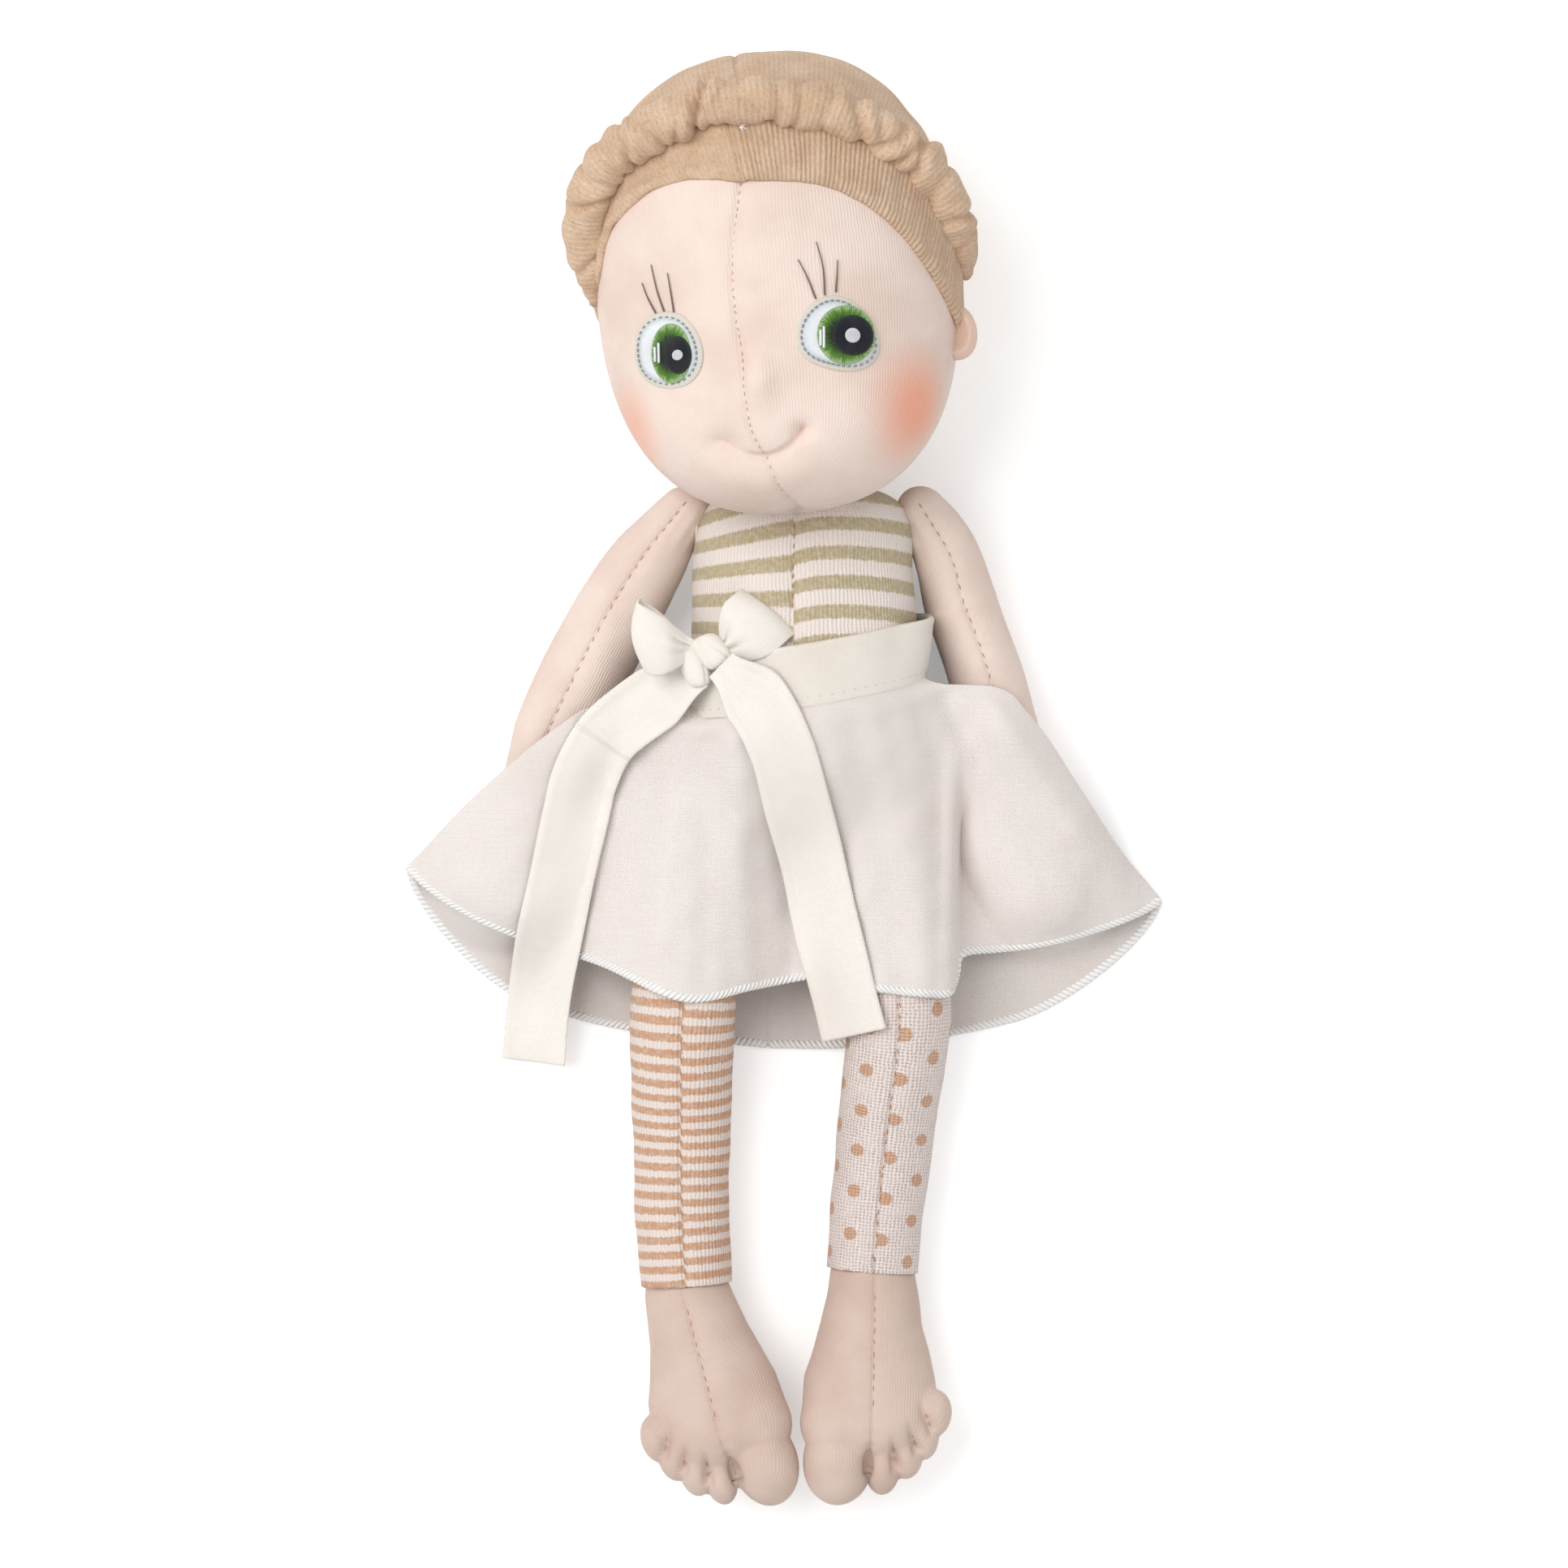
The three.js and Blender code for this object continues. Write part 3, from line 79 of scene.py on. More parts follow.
COTTON = 0.8  # the thickness that the knot allows for cotton
GAP = 0.3  # left between two pieces of cloth
CLOTH_CLEAR = 2.4  # from a limb's middle form to the middle of cloth laid on it
LAYER_STEP = 2.2  # from the skirt's back to its front over it
FRONT_FALL = 0.95  # the slope at which the front's cloth leaves a round form
BACK_FALL = 2.2  # the same for the back's cloth
SKIRT_LIFT = 0.9  # the lowest that the middle of the skirt's cloth lies
PRESS = 0.5  # how much the floor flattens the head and the body
CLOTH_SHINE = 0.22
SHEEN_ROUGH = 0.45

Line = Sequence[tuple[float, ...]]


class Side(Enum):
    """The doll's own right or left."""

    RIGHT = "right"
    LEFT = "left"

    @property
    def sign(self) -> int:
        """The side's direction along X."""
        return -1 if self is Side.RIGHT else 1


def neck_shift() -> np.ndarray:
    """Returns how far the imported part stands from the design's zero, in millimetres."""
    low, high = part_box("neck")
    middle = (np.array(low) + np.array(high)) * 500.0
    return middle - np.array([2.0, 76.0, 22.0])


SHIFT = neck_shift()


def metres(points: np.ndarray) -> np.ndarray:
    """Turns design millimetres into the frame's metres."""
    return (np.asarray(points, float) + SHIFT) / 1000.0


def place(x: float, y: float, z: float) -> tuple[float, float, float]:
    """Returns a design point in the frame's metres."""
    return tuple(float(v) for v in metres(np.array([x, y, z])))


def smooth(value: np.ndarray, start: float, end: float) -> np.ndarray:
    """Returns a smooth step from 0 at start to 1 at end."""
    share = np.clip((value - start) / (end - start), 0.0, 1.0)
    return share * share * (3.0 - 2.0 * share)


def bell(distance: np.ndarray, width: float) -> np.ndarray:
    """Returns a round bump of height 1 that fades over a width."""
    return np.exp(-((distance / width) ** 2))


def fullness(share: np.ndarray, power: np.ndarray | float) -> np.ndarray:
    """Returns how full a closed form is at a place from -1 to 1 along it."""
    return np.maximum(0.0, 1.0 - np.abs(share) ** power) ** (1.0 / power)


def unit(vectors: np.ndarray) -> np.ndarray:
    """Returns vectors of length one."""
    return vectors / np.maximum(np.linalg.norm(vectors, axis=-1, keepdims=True), 1e-9)


def run_along(line: np.ndarray) -> np.ndarray:
    """Returns how far each point of a line lies along it."""
    return np.concatenate([[0], np.cumsum(np.linalg.norm(np.diff(line, axis=0), axis=1))])


def picked(at: np.ndarray, run: np.ndarray, line: np.ndarray) -> np.ndarray:
    """Returns the points of a line at given lengths along it."""
    return np.stack([np.interp(at, run, line[:, k]) for k in range(line.shape[1])], axis=-1)


def cloth_map(u: np.ndarray, v: np.ndarray) -> np.ndarray:
    """Returns a grid's places on the cloth."""
    return np.stack(np.broadcast_arrays(u, v), axis=-1)


def turns(count: int) -> np.ndarray:
    """Returns even angles once round."""
    return np.linspace(0, 2 * math.pi, count, endpoint=False)


def globe(rows: int, cols: int) -> tuple[np.ndarray, np.ndarray]:
    """Returns the shares from -1 to 1 along a closed form, and the angles round it."""
    share = -np.cos(np.linspace(0, math.pi, rows))[:, None]
    return tuple(np.broadcast_arrays(share, turns(cols)[None]))


def ripple(x: np.ndarray, y: np.ndarray | float, z: np.ndarray | float, size: float, seed: int) -> np.ndarray:
    """Returns a soft uneven field between about -1 and 1.

    Args:
        x: First coordinate.
        y: Second coordinate.
        z: Third coordinate.
        size: Width of its swells in the coordinates' unit.
        seed: Which field it is.

    Returns:
        The field at the points.
    """
    rng = np.random.default_rng(seed)
    total = np.zeros(np.broadcast(x, y, z).shape)
    for _ in range(7):
        way = unit(rng.normal(size=3)) * rng.uniform(0.6, 1.5) * 2 * math.pi / size
        total = total + np.sin(way[0] * x + way[1] * y + way[2] * z + rng.uniform(0, 6.28))
    return total / 3.2


def smooth_line(points: Line, count: int) -> np.ndarray:
    """Returns evenly spaced points on a smooth curve through given points."""
    given = np.asarray(points, float)
    padded = np.vstack([2 * given[0] - given[1], given, 2 * given[-1] - given[-2]])
    fine = []
    for i in range(1, len(padded) - 2):
        p0, p1, p2, p3 = padded[i - 1 : i + 3]
        t = np.linspace(0, 1, 24, endpoint=False)[:, None]
        fine.append(
            0.5
            * (
                2 * p1
                + (p2 - p0) * t
                + (2 * p0 - 5 * p1 + 4 * p2 - p3) * t**2
                + (3 * p1 - p0 - 3 * p2 + p3) * t**3
            )
        )
    curve = np.vstack([*fine, given[-1]])
    run = run_along(curve)
    return picked(np.linspace(0, run[-1], count), run, curve)


def from_line(x: np.ndarray, y: np.ndarray, line: np.ndarray) -> tuple[np.ndarray, ...]:
    """Measures points from a line on the floor plane.

    Args:
        x: The points' X.
        y: The points' Y.
        line: The line's points.

    Returns:
        The distance, the length along the line, and +1 or -1 for the side of it.
    """
    flat = np.stack([np.ravel(x), np.ravel(y)], axis=1)
    best = np.full(len(flat), 1e9)
    along = np.zeros(len(flat))
    side = np.ones(len(flat))
    run = 0.0
    for a, b in zip(line[:-1, :2], line[1:, :2]):
        step = b - a
        length = float(np.linalg.norm(step))
        share = np.clip(((flat - a) @ step) / length**2, 0, 1)
        apart = flat - (a + share[:, None] * step)
        distance = np.linalg.norm(apart, axis=1)
        nearer = distance < best
        best = np.where(nearer, distance, best)
        along = np.where(nearer, run + share * length, along)
        cross = step[0] * (flat[:, 1] - a[1]) - step[1] * (flat[:, 0] - a[0])
        side = np.where(nearer, np.sign(cross), side)
        run += length
    shape = np.shape(x)
    return best.reshape(shape), along.reshape(shape), side.reshape(shape)


def grid_normals(points: np.ndarray, closed: bool) -> np.ndarray:
    """Returns the unit normals of a grid of points, which is closed round its columns or open."""
    if closed:
        across = np.roll(points, -1, axis=1) - np.roll(points, 1, axis=1)
    else:
        across = np.gradient(points, axis=1)
    return unit(np.cross(across, np.gradient(points, axis=0)))


def sewn_name(name: str) -> str:
    """Returns a piece's name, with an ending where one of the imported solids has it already."""
    return f"{name}_sewn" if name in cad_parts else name


def dressed(
    obj: bpy.types.Object,
    material: bpy.types.Material,
    slot: str,
    *nodes: str,
    fill: float | None = None,
) -> bpy.types.Object:
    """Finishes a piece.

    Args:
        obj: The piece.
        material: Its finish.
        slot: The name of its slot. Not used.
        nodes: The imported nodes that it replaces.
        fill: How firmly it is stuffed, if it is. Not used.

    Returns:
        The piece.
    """
    obj.data.materials.append(material)
    if nodes:
        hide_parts(*nodes)
    return obj


class Piece:
    """Makes a finished mesh object from rows of points."""

    @staticmethod
    def outward(points: list, faces: list) -> list:
        """Returns the faces turned so that they point out of the closed form."""
        p = np.asarray(points)
        fans = np.array([(f[0], f[i], f[i + 1]) for f in faces for i in range(1, len(f) - 1)])
        total = float((p[fans[:, 0]] * np.cross(p[fans[:, 1]], p[fans[:, 2]])).sum())
        return faces if total > 0 else [tuple(reversed(f)) for f in faces]

    @staticmethod
    def make(
        name: str, points: np.ndarray, faces: list, uvs: dict | None = None
    ) -> bpy.types.Object:
        """Makes a smooth closed object.

        Args:
            name: The object's name.
            points: Points in design millimetres.
            faces: Corner numbers of each face.
            uvs: For each face, its corners' places on the cloth in millimetres, if it has them.

        Returns:
            The object, linked to the scene.
        """
        turned = Piece.outward(points, faces)
        name = sewn_name(name)
        mesh = bpy.data.meshes.new(name)
        mesh.from_pydata(metres(points).tolist(), [], turned)
        if uvs is not None:
            layer = mesh.uv_layers.new(name="cloth")
            spots = []
            for old, new in zip(faces, turned):
                spot = uvs[old]
                spots.extend(spot if old == new else list(reversed(spot)))
            layer.data.foreach_set("uv", np.asarray(spots, float).ravel())
        mesh.polygons.foreach_set("use_smooth", [True] * len(mesh.polygons))
        mesh.update()
        obj = bpy.data.objects.new(name, mesh)
        bpy.context.scene.collection.objects.link(obj)
        return obj

    @staticmethod
    def closed(name: str, grid: np.ndarray, uv: np.ndarray) -> bpy.types.Object:
        """Makes a closed form from rings, whose first and last shrink to a point.

        Args:
            name: The object's name.
            grid: Points, row by row round the form.
            uv: Places on the cloth, with one column more than the grid.

        Returns:
            The object.
        """
        rows, cols = grid.shape[:2]
        points = [grid[0].mean(axis=0)]
        points.extend(grid[1:-1].reshape(-1, 3))
        points.append(grid[-1].mean(axis=0))
        last = len(points) - 1
        faces, spots = [], {}

        def at(i: int, j: int) -> int:
            """Returns the number of a ring's point."""
            return 1 + (i - 1) * cols + j % cols

        def add(face: tuple, corners: list) -> None:
            """Keeps a face with its places on the cloth."""
            faces.append(face)
            spots[face] = corners

        for j in range(cols):
            add((0, at(1, j + 1), at(1, j)), [uv[0, j], uv[1, j + 1], uv[1, j]])
            add((last, at(rows - 2, j), at(rows - 2, j + 1)), [uv[-1, j], uv[-2, j], uv[-2, j + 1]])
        for i in range(1, rows - 2):
            for j in range(cols):
                face = (at(i, j), at(i, j + 1), at(i + 1, j + 1), at(i + 1, j))
                add(face, [uv[i, j], uv[i, j + 1], uv[i + 1, j + 1], uv[i + 1, j]])
        return Piece.make(name, np.asarray(points), faces, spots)

    @staticmethod
    def shell(
        name: str,
        middle: np.ndarray,
        thick: np.ndarray | float,
        uv: np.ndarray,
        ring: bool = False,
    ) -> bpy.types.Object:
        """Makes a sheet of even thickness with round edges.

        Args:
            name: The object's name.
            middle: Points of the sheet's middle, row by row.
            thick: The sheet's thickness.
            uv: Places on the cloth.
            ring: Whether the last column joins the first, which the grid then leaves out.

        Returns:
            The object.
        """
        rows, cols = middle.shape[:2]
        normal = grid_normals(middle, ring)
        half = np.broadcast_to(np.asarray(thick, float), middle.shape[:2])[..., None] / 2
        over, under = middle + normal * half, middle - normal * half
        points = [*over.reshape(-1, 3), *under.reshape(-1, 3)]
        faces, spots = [], {}
        size = rows * cols

        def add(face: tuple, corners: list) -> None:
            """Keeps a face with its places on the cloth."""
            faces.append(face)
            spots[face] = corners

        span = cols if ring else cols - 1
        for i in range(rows - 1):
            for j in range(span):
                k = (j + 1) % cols
                a, b, c, d = i * cols + j, i * cols + k, (i + 1) * cols + k, (i + 1) * cols + j
                ku = j + 1 if uv.shape[1] > cols else k
                corners = [uv[i, j], uv[i, ku], uv[i + 1, ku], uv[i + 1, j]]
                add((a, b, c, d), corners)
                add((d + size, c + size, b + size, a + size), corners[::-1])
        border = []
        if ring:
            border.append([(0, j) for j in range(cols)])
            border.append([(rows - 1, j) for j in range(cols)][::-1])
        else:
            loop = [(0, j) for j in range(cols - 1)] + [(i, cols - 1) for i in range(rows - 1)]
            loop += [(rows - 1, j) for j in range(cols - 1, 0, -1)]
            loop += [(i, 0) for i in range(rows - 1, 0, -1)]
            border.append(loop)
        for loop in border:
            count = len(loop)
            rim_at = len(points)
            for n, (i, j) in enumerate(loop):
                before, after = loop[n - 1], loop[(n + 1) % count]
                way = unit(middle[after] - middle[before])
                out = unit(np.cross(way, normal[i, j]))
                inner_i = 1 if i == 0 else rows - 2 if i == rows - 1 else i
                inner_j = j if ring else (1 if j == 0 else cols - 2 if j == cols - 1 else j)
                inward = middle[inner_i, inner_j] - middle[i, j]
                if np.dot(out, inward) > 0:
                    out = -out
                points.append(middle[i, j] + out * half[i, j] * 0.8)
            for n in range(count):
                (i, j), (k, m) = loop[n], loop[(n + 1) % count]
                a, b = i * cols + j, k * cols + m
                r, s = rim_at + n, rim_at + (n + 1) % count
                spot = [uv[i, j], uv[k, m % uv.shape[1]], uv[k, m % uv.shape[1]], uv[i, j]]
                add((b, a, r, s), [spot[1], spot[0], spot[0], spot[1]])
                add((a + size, b + size, s, r), [spot[0], spot[1], spot[1], spot[0]])
        return Piece.make(name, np.asarray(points), faces, spots)

    @staticmethod
    def tube(name: str, line: np.ndarray, radius: np.ndarray | float, sides: int = 8) -> bpy.types.Object:
        """Makes a thread or cord with closed round ends along a line of points."""
        way = unit(np.gradient(line, axis=0))
        first = np.cross(way, [0.0, 0.0, 1.0])
        flat = np.linalg.norm(first, axis=1) < 1e-4
        first[flat] = [1.0, 0.0, 0.0]
        first = unit(first)
        second = np.cross(way, first)
        radius = np.broadcast_to(np.asarray(radius, float), (len(line),))
        angle = turns(sides)
        rings = (
            line[:, None]
            + radius[:, None, None] * np.cos(angle)[None, :, None] * first[:, None]
            + radius[:, None, None] * np.sin(angle)[None, :, None] * second[:, None]
        )
        start = np.repeat((line[0] - way[0] * radius[0] * 0.6)[None, None], sides, axis=1)
        end = np.repeat((line[-1] + way[-1] * radius[-1] * 0.6)[None, None], sides, axis=1)
        grid = np.concatenate([start, rings, end])
        run = run_along(line)
        run = np.concatenate([[0], run, run[-1:]])
        uv = cloth_map(np.linspace(0, 1, sides + 1)[None] * 3, run[:, None])
        return Piece.closed(name, grid, uv)

    @staticmethod
    def joined(name: str, pieces: list[bpy.types.Object]) -> bpy.types.Object:
        """Joins objects into one."""
        bpy.ops.object.select_all(action="DESELECT")
        for piece in pieces:
            piece.select_set(True)
        bpy.context.view_layer.objects.active = pieces[0]
        if len(pieces) > 1:
            bpy.ops.object.join()
        result = bpy.context.view_layer.objects.active
        result.name = result.data.name = name
        bpy.ops.object.select_all(action="DESELECT")
        return result


class Stitches:
    """Short stitches of thread, modelled once and copied along a line."""

    round_share: float = 0.36
    pattern: bpy.types.Mesh | None = None

    @classmethod
    def stitch(cls) -> bpy.types.Mesh:
        """Returns the mesh of one stitch, one millimetre long, made from a round primitive."""
        if cls.pattern is None:
            bpy.ops.object.select_all(action="DESELECT")
            bpy.ops.mesh.primitive_uv_sphere_add(segments=8, ring_count=6, radius=0.5)
            obj = bpy.context.object
            bpy.ops.object.mode_set(mode="EDIT")
            bpy.ops.mesh.select_all(action="SELECT")
            bpy.ops.transform.resize(value=(1.0, cls.round_share, cls.round_share))
            bpy.ops.object.mode_set(mode="OBJECT")
            cls.pattern = obj.data
            bpy.data.objects.remove(obj)
        return cls.pattern

    @classmethod
    def along(
        cls,
        name: str,
        middles: np.ndarray,
        ways: np.ndarray,
        ups: np.ndarray,
        length: float,
        thick: float,
    ) -> bpy.types.Object:
        """Lays stitches at given places.

        Args:
            name: The object's name.
            middles: The stitches' middles.
            ways: Their directions.
            ups: The surface's normals.
            length: A stitch's length.
            thick: The thread's thickness.

        Returns:
            One object with all the stitches.
        """
        base = np.array([v.co for v in cls.stitch().vertices])
        quads = [tuple(p.vertices) for p in cls.stitch().polygons]
        points, faces, spots = [], [], {}
        for middle, way, up in zip(middles, unit(ways), unit(ups)):
            across = np.cross(up, way)
            start = len(points)
            wide = thick / cls.round_share
            points.extend(
                middle + base[:, :1] * length * way + base[:, 1:2] * wide * across + base[:, 2:] * wide * up
            )
            for quad in quads:
                face = tuple(start + i for i in quad)
                faces.append(face)
                spots[face] = [(base[i, 0] * length, base[i, 1] * 2) for i in quad]
        return Piece.make(name, np.asarray(points), faces, spots)


Socket = bpy.types.NodeSocket


class Value:
    """A value that a material works out, which takes the usual signs of arithmetic."""

    def __init__(self, recipe: "Recipe", socket: Socket) -> None:
        """Keeps the socket that gives the value."""
        self.recipe = recipe
        self.socket = socket

    def __add__(self, other: "Value | float") -> "Value":
        """Returns the sum."""
        return self.recipe.math("ADD", self, other)

    def __sub__(self, other: "Value | float") -> "Value":
        """Returns the difference."""
        return self.recipe.math("SUBTRACT", self, other)

    def __rsub__(self, other: float) -> "Value":
        """Returns a number less the value."""
        return self.recipe.math("SUBTRACT", other, self)

    def __mul__(self, other: "Value | float") -> "Value":
        """Returns the product."""
        return self.recipe.math("MULTIPLY", self, other)

    def __truediv__(self, other: "Value | float") -> "Value":
        """Returns the quotient."""
        return self.recipe.math("DIVIDE", self, other)


class Recipe:
    """A material that is written as a chain of values."""

    def __init__(self, name: str) -> None:
        """Starts an empty material with one shader."""
        self.material = bpy.data.materials.new(name)
        self.material.use_nodes = True
        self.tree = self.material.node_tree
        self.tree.nodes.clear()
        self.shader = self.node("BsdfPrincipled")
        self.tree.links.new(self.shader.outputs[0], self.node("OutputMaterial").inputs[0])
        self.coordinates = self.node("TexCoord")

    def link(self, socket: Socket, value: "Value | float | tuple") -> None:
        """Gives a socket a value, or links it to one."""
        if isinstance(value, Value):
            self.tree.links.new(value.socket, socket)
        else:
            socket.default_value = value

    def node(self, kind: str, *inputs: "Value | float | tuple", **settings: str) -> bpy.types.Node:
        """Adds a node with its settings, and gives its first inputs their values."""
        node = self.tree.nodes.new(f"ShaderNode{kind}")
        for key, value in settings.items():
            setattr(node, key, value)
        for socket, value in zip(node.inputs, inputs):
            self.link(socket, value)
        return node

    def math(self, operation: str, *inputs: "Value | float") -> Value:
        """Returns the result of a Math node."""
        return Value(self, self.node("Math", *inputs, operation=operation).outputs[0])

    def step(self, value: Value, start: float, end: float) -> Value:
        """Returns a smooth step from 0 at start to 1 at end."""
        ends = (start, end, 0.0, 1.0) if start < end else (end, start, 1.0, 0.0)
        node = self.node("MapRange", value, *ends, interpolation_type="SMOOTHSTEP")
        return Value(self, node.outputs[0])

    def mix(self, share: "Value | float", a: "Value | tuple", b: "Value | tuple") -> Value:
        """Returns two colours mixed."""
        node = self.node("Mix", share, data_type="RGBA")
        self.link(node.inputs[6], a)
        self.link(node.inputs[7], b)
        return Value(self, node.outputs[2])

    def parts(self, vector: Socket) -> tuple[Value, ...]:
        """Returns the three parts of a vector."""
        split = self.node("SeparateXYZ")
        self.tree.links.new(vector, split.inputs[0])
        return tuple(Value(self, part) for part in split.outputs)

    def object_point(self) -> tuple[Value, ...]:
        """Returns the point on the piece in design millimetres."""
        node = self.node("Mapping")
        node.inputs["Scale"].default_value = (1000, 1000, 1000)
        node.inputs["Location"].default_value = tuple(-SHIFT)
        self.tree.links.new(self.coordinates.outputs["Object"], node.inputs["Vector"])
        return self.parts(node.outputs[0])

    def cloth_point(self) -> tuple[Value, ...]:
        """Returns the place on the cloth in millimetres."""
        return self.parts(self.coordinates.outputs["UV"])[:2]

    def joined(self, *parts: "Value | float") -> Value:
        """Returns a vector from its parts."""
        return Value(self, self.node("CombineXYZ", *parts).outputs[0])

    def noise(self, spot: tuple, size: float, detail: float = 2.0, rough: float = 0.5) -> Value:
        """Returns noise between 0 and 1 at a spot, whose swells have a size."""
        node = self.node("TexNoise")
        values = {"Scale": 1.0 / size, "Detail": detail, "Roughness": rough}
        for key, value in {**values, "Vector": self.joined(*spot)}.items():
            self.link(node.inputs[key], value)
        return Value(self, node.outputs[0])

    def wave(self, value: Value, pitch: float) -> Value:
        """Returns a sine between 0 and 1 with a pitch."""
        return self.math("SINE", value * (2 * math.pi / pitch)) * 0.5 + 0.5

    def bump(self, height: Value, distance: float, strength: float) -> None:
        """Raises the surface by a height, whose full scale is a distance in millimetres."""
        node = self.node("Bump")
        values = {"Strength": strength, "Distance": distance / 1000.0, "Height": height}
        for key, value in values.items():
            self.link(node.inputs[key], value)
        self.tree.links.new(node.outputs[0], self.shader.inputs["Normal"])

    def finish(
        self, tone: Value, rough: float, sheen: float, tint: tuple = (1, 1, 1, 1)
    ) -> bpy.types.Material:
        """Sets the shader's colour, roughness and sheen, and returns the material."""
        values = {"Base Color": tone, "Roughness": rough, "Specular IOR Level": CLOTH_SHINE}
        values |= {"Sheen Weight": sheen, "Sheen Roughness": SHEEN_ROUGH, "Sheen Tint": tint}
        for key, value in values.items():
            self.link(self.shader.inputs[key], value)
        return self.material


def colour(red: int, green: int, blue: int) -> tuple[float, ...]:
    """Returns a colour given as it is seen on a screen, for a shader."""
    shares = (value / 255.0 for value in (red, green, blue))
    return *(v / 12.92 if v <= 0.04045 else ((v + 0.055) / 1.055) ** 2.4 for v in shares), 1.0


@dataclass(frozen=True)
class Knit:
    """Jersey: upright wales of small loops. Its pattern lies on the piece's cloth map."""

    wale: float = 1.05
    course: float = 0.8
    depth: float = 0.22

    def height(self, recipe: Recipe) -> Value:
        """Returns the loops' height."""
        u, v = recipe.cloth_point()
        u = u + (recipe.noise((u, v), 9.0) * 1.2 - 0.6)
        chevron = recipe.math("ABSOLUTE", recipe.math("SINE", u * (math.pi / self.wale))) * 0.35
        loops = recipe.wave(v + chevron, self.course)
        fuzz = recipe.noise((u, v), 0.35, 3.0, 0.7)
        return fuzz * 0.4 + recipe.wave(u, self.wale) * (loops * 0.45 + 0.55)


@dataclass(frozen=True)
class SkinJersey:
    """The skin: fine jersey in two close tones, with painted shade in the knit's low spots, and rosy spots on
    the cheeks that are partly painted shade.
    """

    name: str
    base: tuple = colour(237, 219, 209)
    shade: tuple = colour(226, 204, 192)
    blush_and_shade: tuple = colour(240, 172, 146)
    sheen: tuple = colour(255, 240, 232)
    spots: tuple = ()
    knit: Knit = field(default_factory=lambda: Knit(0.8, 0.62, 0.16))

    def material(self) -> bpy.types.Material:
        """Returns the finish."""
        recipe = Recipe(self.name)
        height = self.knit.height(recipe)
        spot = recipe.object_point()
        cloud = recipe.noise(spot, 22.0, 3.0, 0.55)
        tone = recipe.mix(recipe.step(cloud, 0.35, 0.7), self.base, self.shade)
        # Painted shade: the knit's low spots, which the bump lowers, are mixed towards the darker tone.
        hollow_shade = recipe.mix(0.32, tone, self.shade)
        tone = recipe.mix(recipe.step(height, 0.25, 0.95), hollow_shade, tone)
        # Spots of blush; the left cheek's spot is made stronger and wider than the blush alone, as painted
        # shade on that side.
        for *middle, size, strength in self.spots:
            node = recipe.node("VectorMath", recipe.joined(*spot), tuple(middle), operation="DISTANCE")
            away = Value(recipe, node.outputs["Value"]) + (cloud * 5.0 - 2.5)
            tone = recipe.mix(recipe.step(away, size, 1.5) * strength, tone, self.blush_and_shade)
        recipe.bump(height, self.knit.depth, 0.55)
        return recipe.finish(tone, 0.86, 0.18, self.sheen)


@dataclass(frozen=True)
class Velour:
    """The hair: brushed pile with faint lines of the knit under it, ribbed where it is drawn in, with painted
    shade in the pile's low spots and the ribs' valleys.
    """

    name: str
    ribbed: float
    base: tuple = colour(211, 180, 151)
    # The deep tone is painted shade in the pile's low spots and the ribs' valleys.
    deep: tuple = colour(166, 130, 100)
    bright: tuple = colour(227, 200, 174)
    sheen: tuple = colour(250, 232, 214)
    rib: float = 1.35

    def material(self) -> bpy.types.Material:
        """Returns the finish."""
        recipe = Recipe(self.name)
        u, v = recipe.cloth_point()
        nap = recipe.noise((u, v * 0.45), 0.5, 4.0, 0.75)
        cloud = recipe.noise(recipe.object_point(), 7.0, 3.0, 0.6)
        lines = recipe.wave(u + (cloud * 0.8 - 0.4), self.rib)
        tone = recipe.mix(recipe.step(cloud, 0.3, 0.75), self.base, self.bright)
        # Painted shade: the pile's low spots and the ribs' valleys, which the bump lowers, are mixed towards
        # the deep tone, more so where the velour is ribbed.
        tone = recipe.mix(recipe.step(nap, 0.55, 0.3) * 0.55, tone, self.deep)
        dark = 0.08 + 0.38 * self.ribbed
        tone = recipe.mix(recipe.step(lines, 0.5, 0.05) * dark, tone, self.deep)
        recipe.bump(lines * (0.25 + 1.1 * self.ribbed) + nap, 0.55, 0.7)
        return recipe.finish(tone, 0.9, 0.3, self.sheen)


@dataclass(frozen=True)
class Cotton:
    """Plain woven cotton, of the skirt or of the finer sash."""

    name: str
    base: tuple = colour(238, 230, 226)
    warm: tuple = colour(232, 222, 216)
    shadow: tuple = colour(194, 180, 166)
    thread: float = 0.62

    def material(self) -> bpy.types.Material:
        """Returns the finish."""
        recipe = Recipe(self.name)
        u, v = recipe.cloth_point()
        slub_u = recipe.noise((u * 0.06, v), 0.55, 3.0, 0.7)
        slub_v = recipe.noise((u, v * 0.06), 0.55, 3.0, 0.7)
        warp = recipe.wave(slub_v * 0.5 + u, self.thread)
        weft = recipe.wave(slub_u * 0.5 + v, self.thread)
        weave = recipe.math("MAXIMUM", warp * (1.0 - weft), weft * (1.0 - warp))
        cloud = recipe.noise((u, v), 26.0, 2.0, 0.5)
        streak = recipe.noise((u, v * 0.12), 1.3, 3.0, 0.7)
        tone = recipe.mix(recipe.step(cloud, 0.35, 0.8) * 0.7, self.base, self.warm)
        tone = recipe.mix(recipe.step(streak, 0.5, 0.8) * 0.3, tone, self.warm)
        tone = recipe.mix(recipe.step(weave, 0.55, 0.05) * 0.18, tone, self.shadow)
        recipe.bump(weave + (slub_u + slub_v) * 0.5, 0.22, 0.6)
        return recipe.finish(tone, 0.82, 0.12)


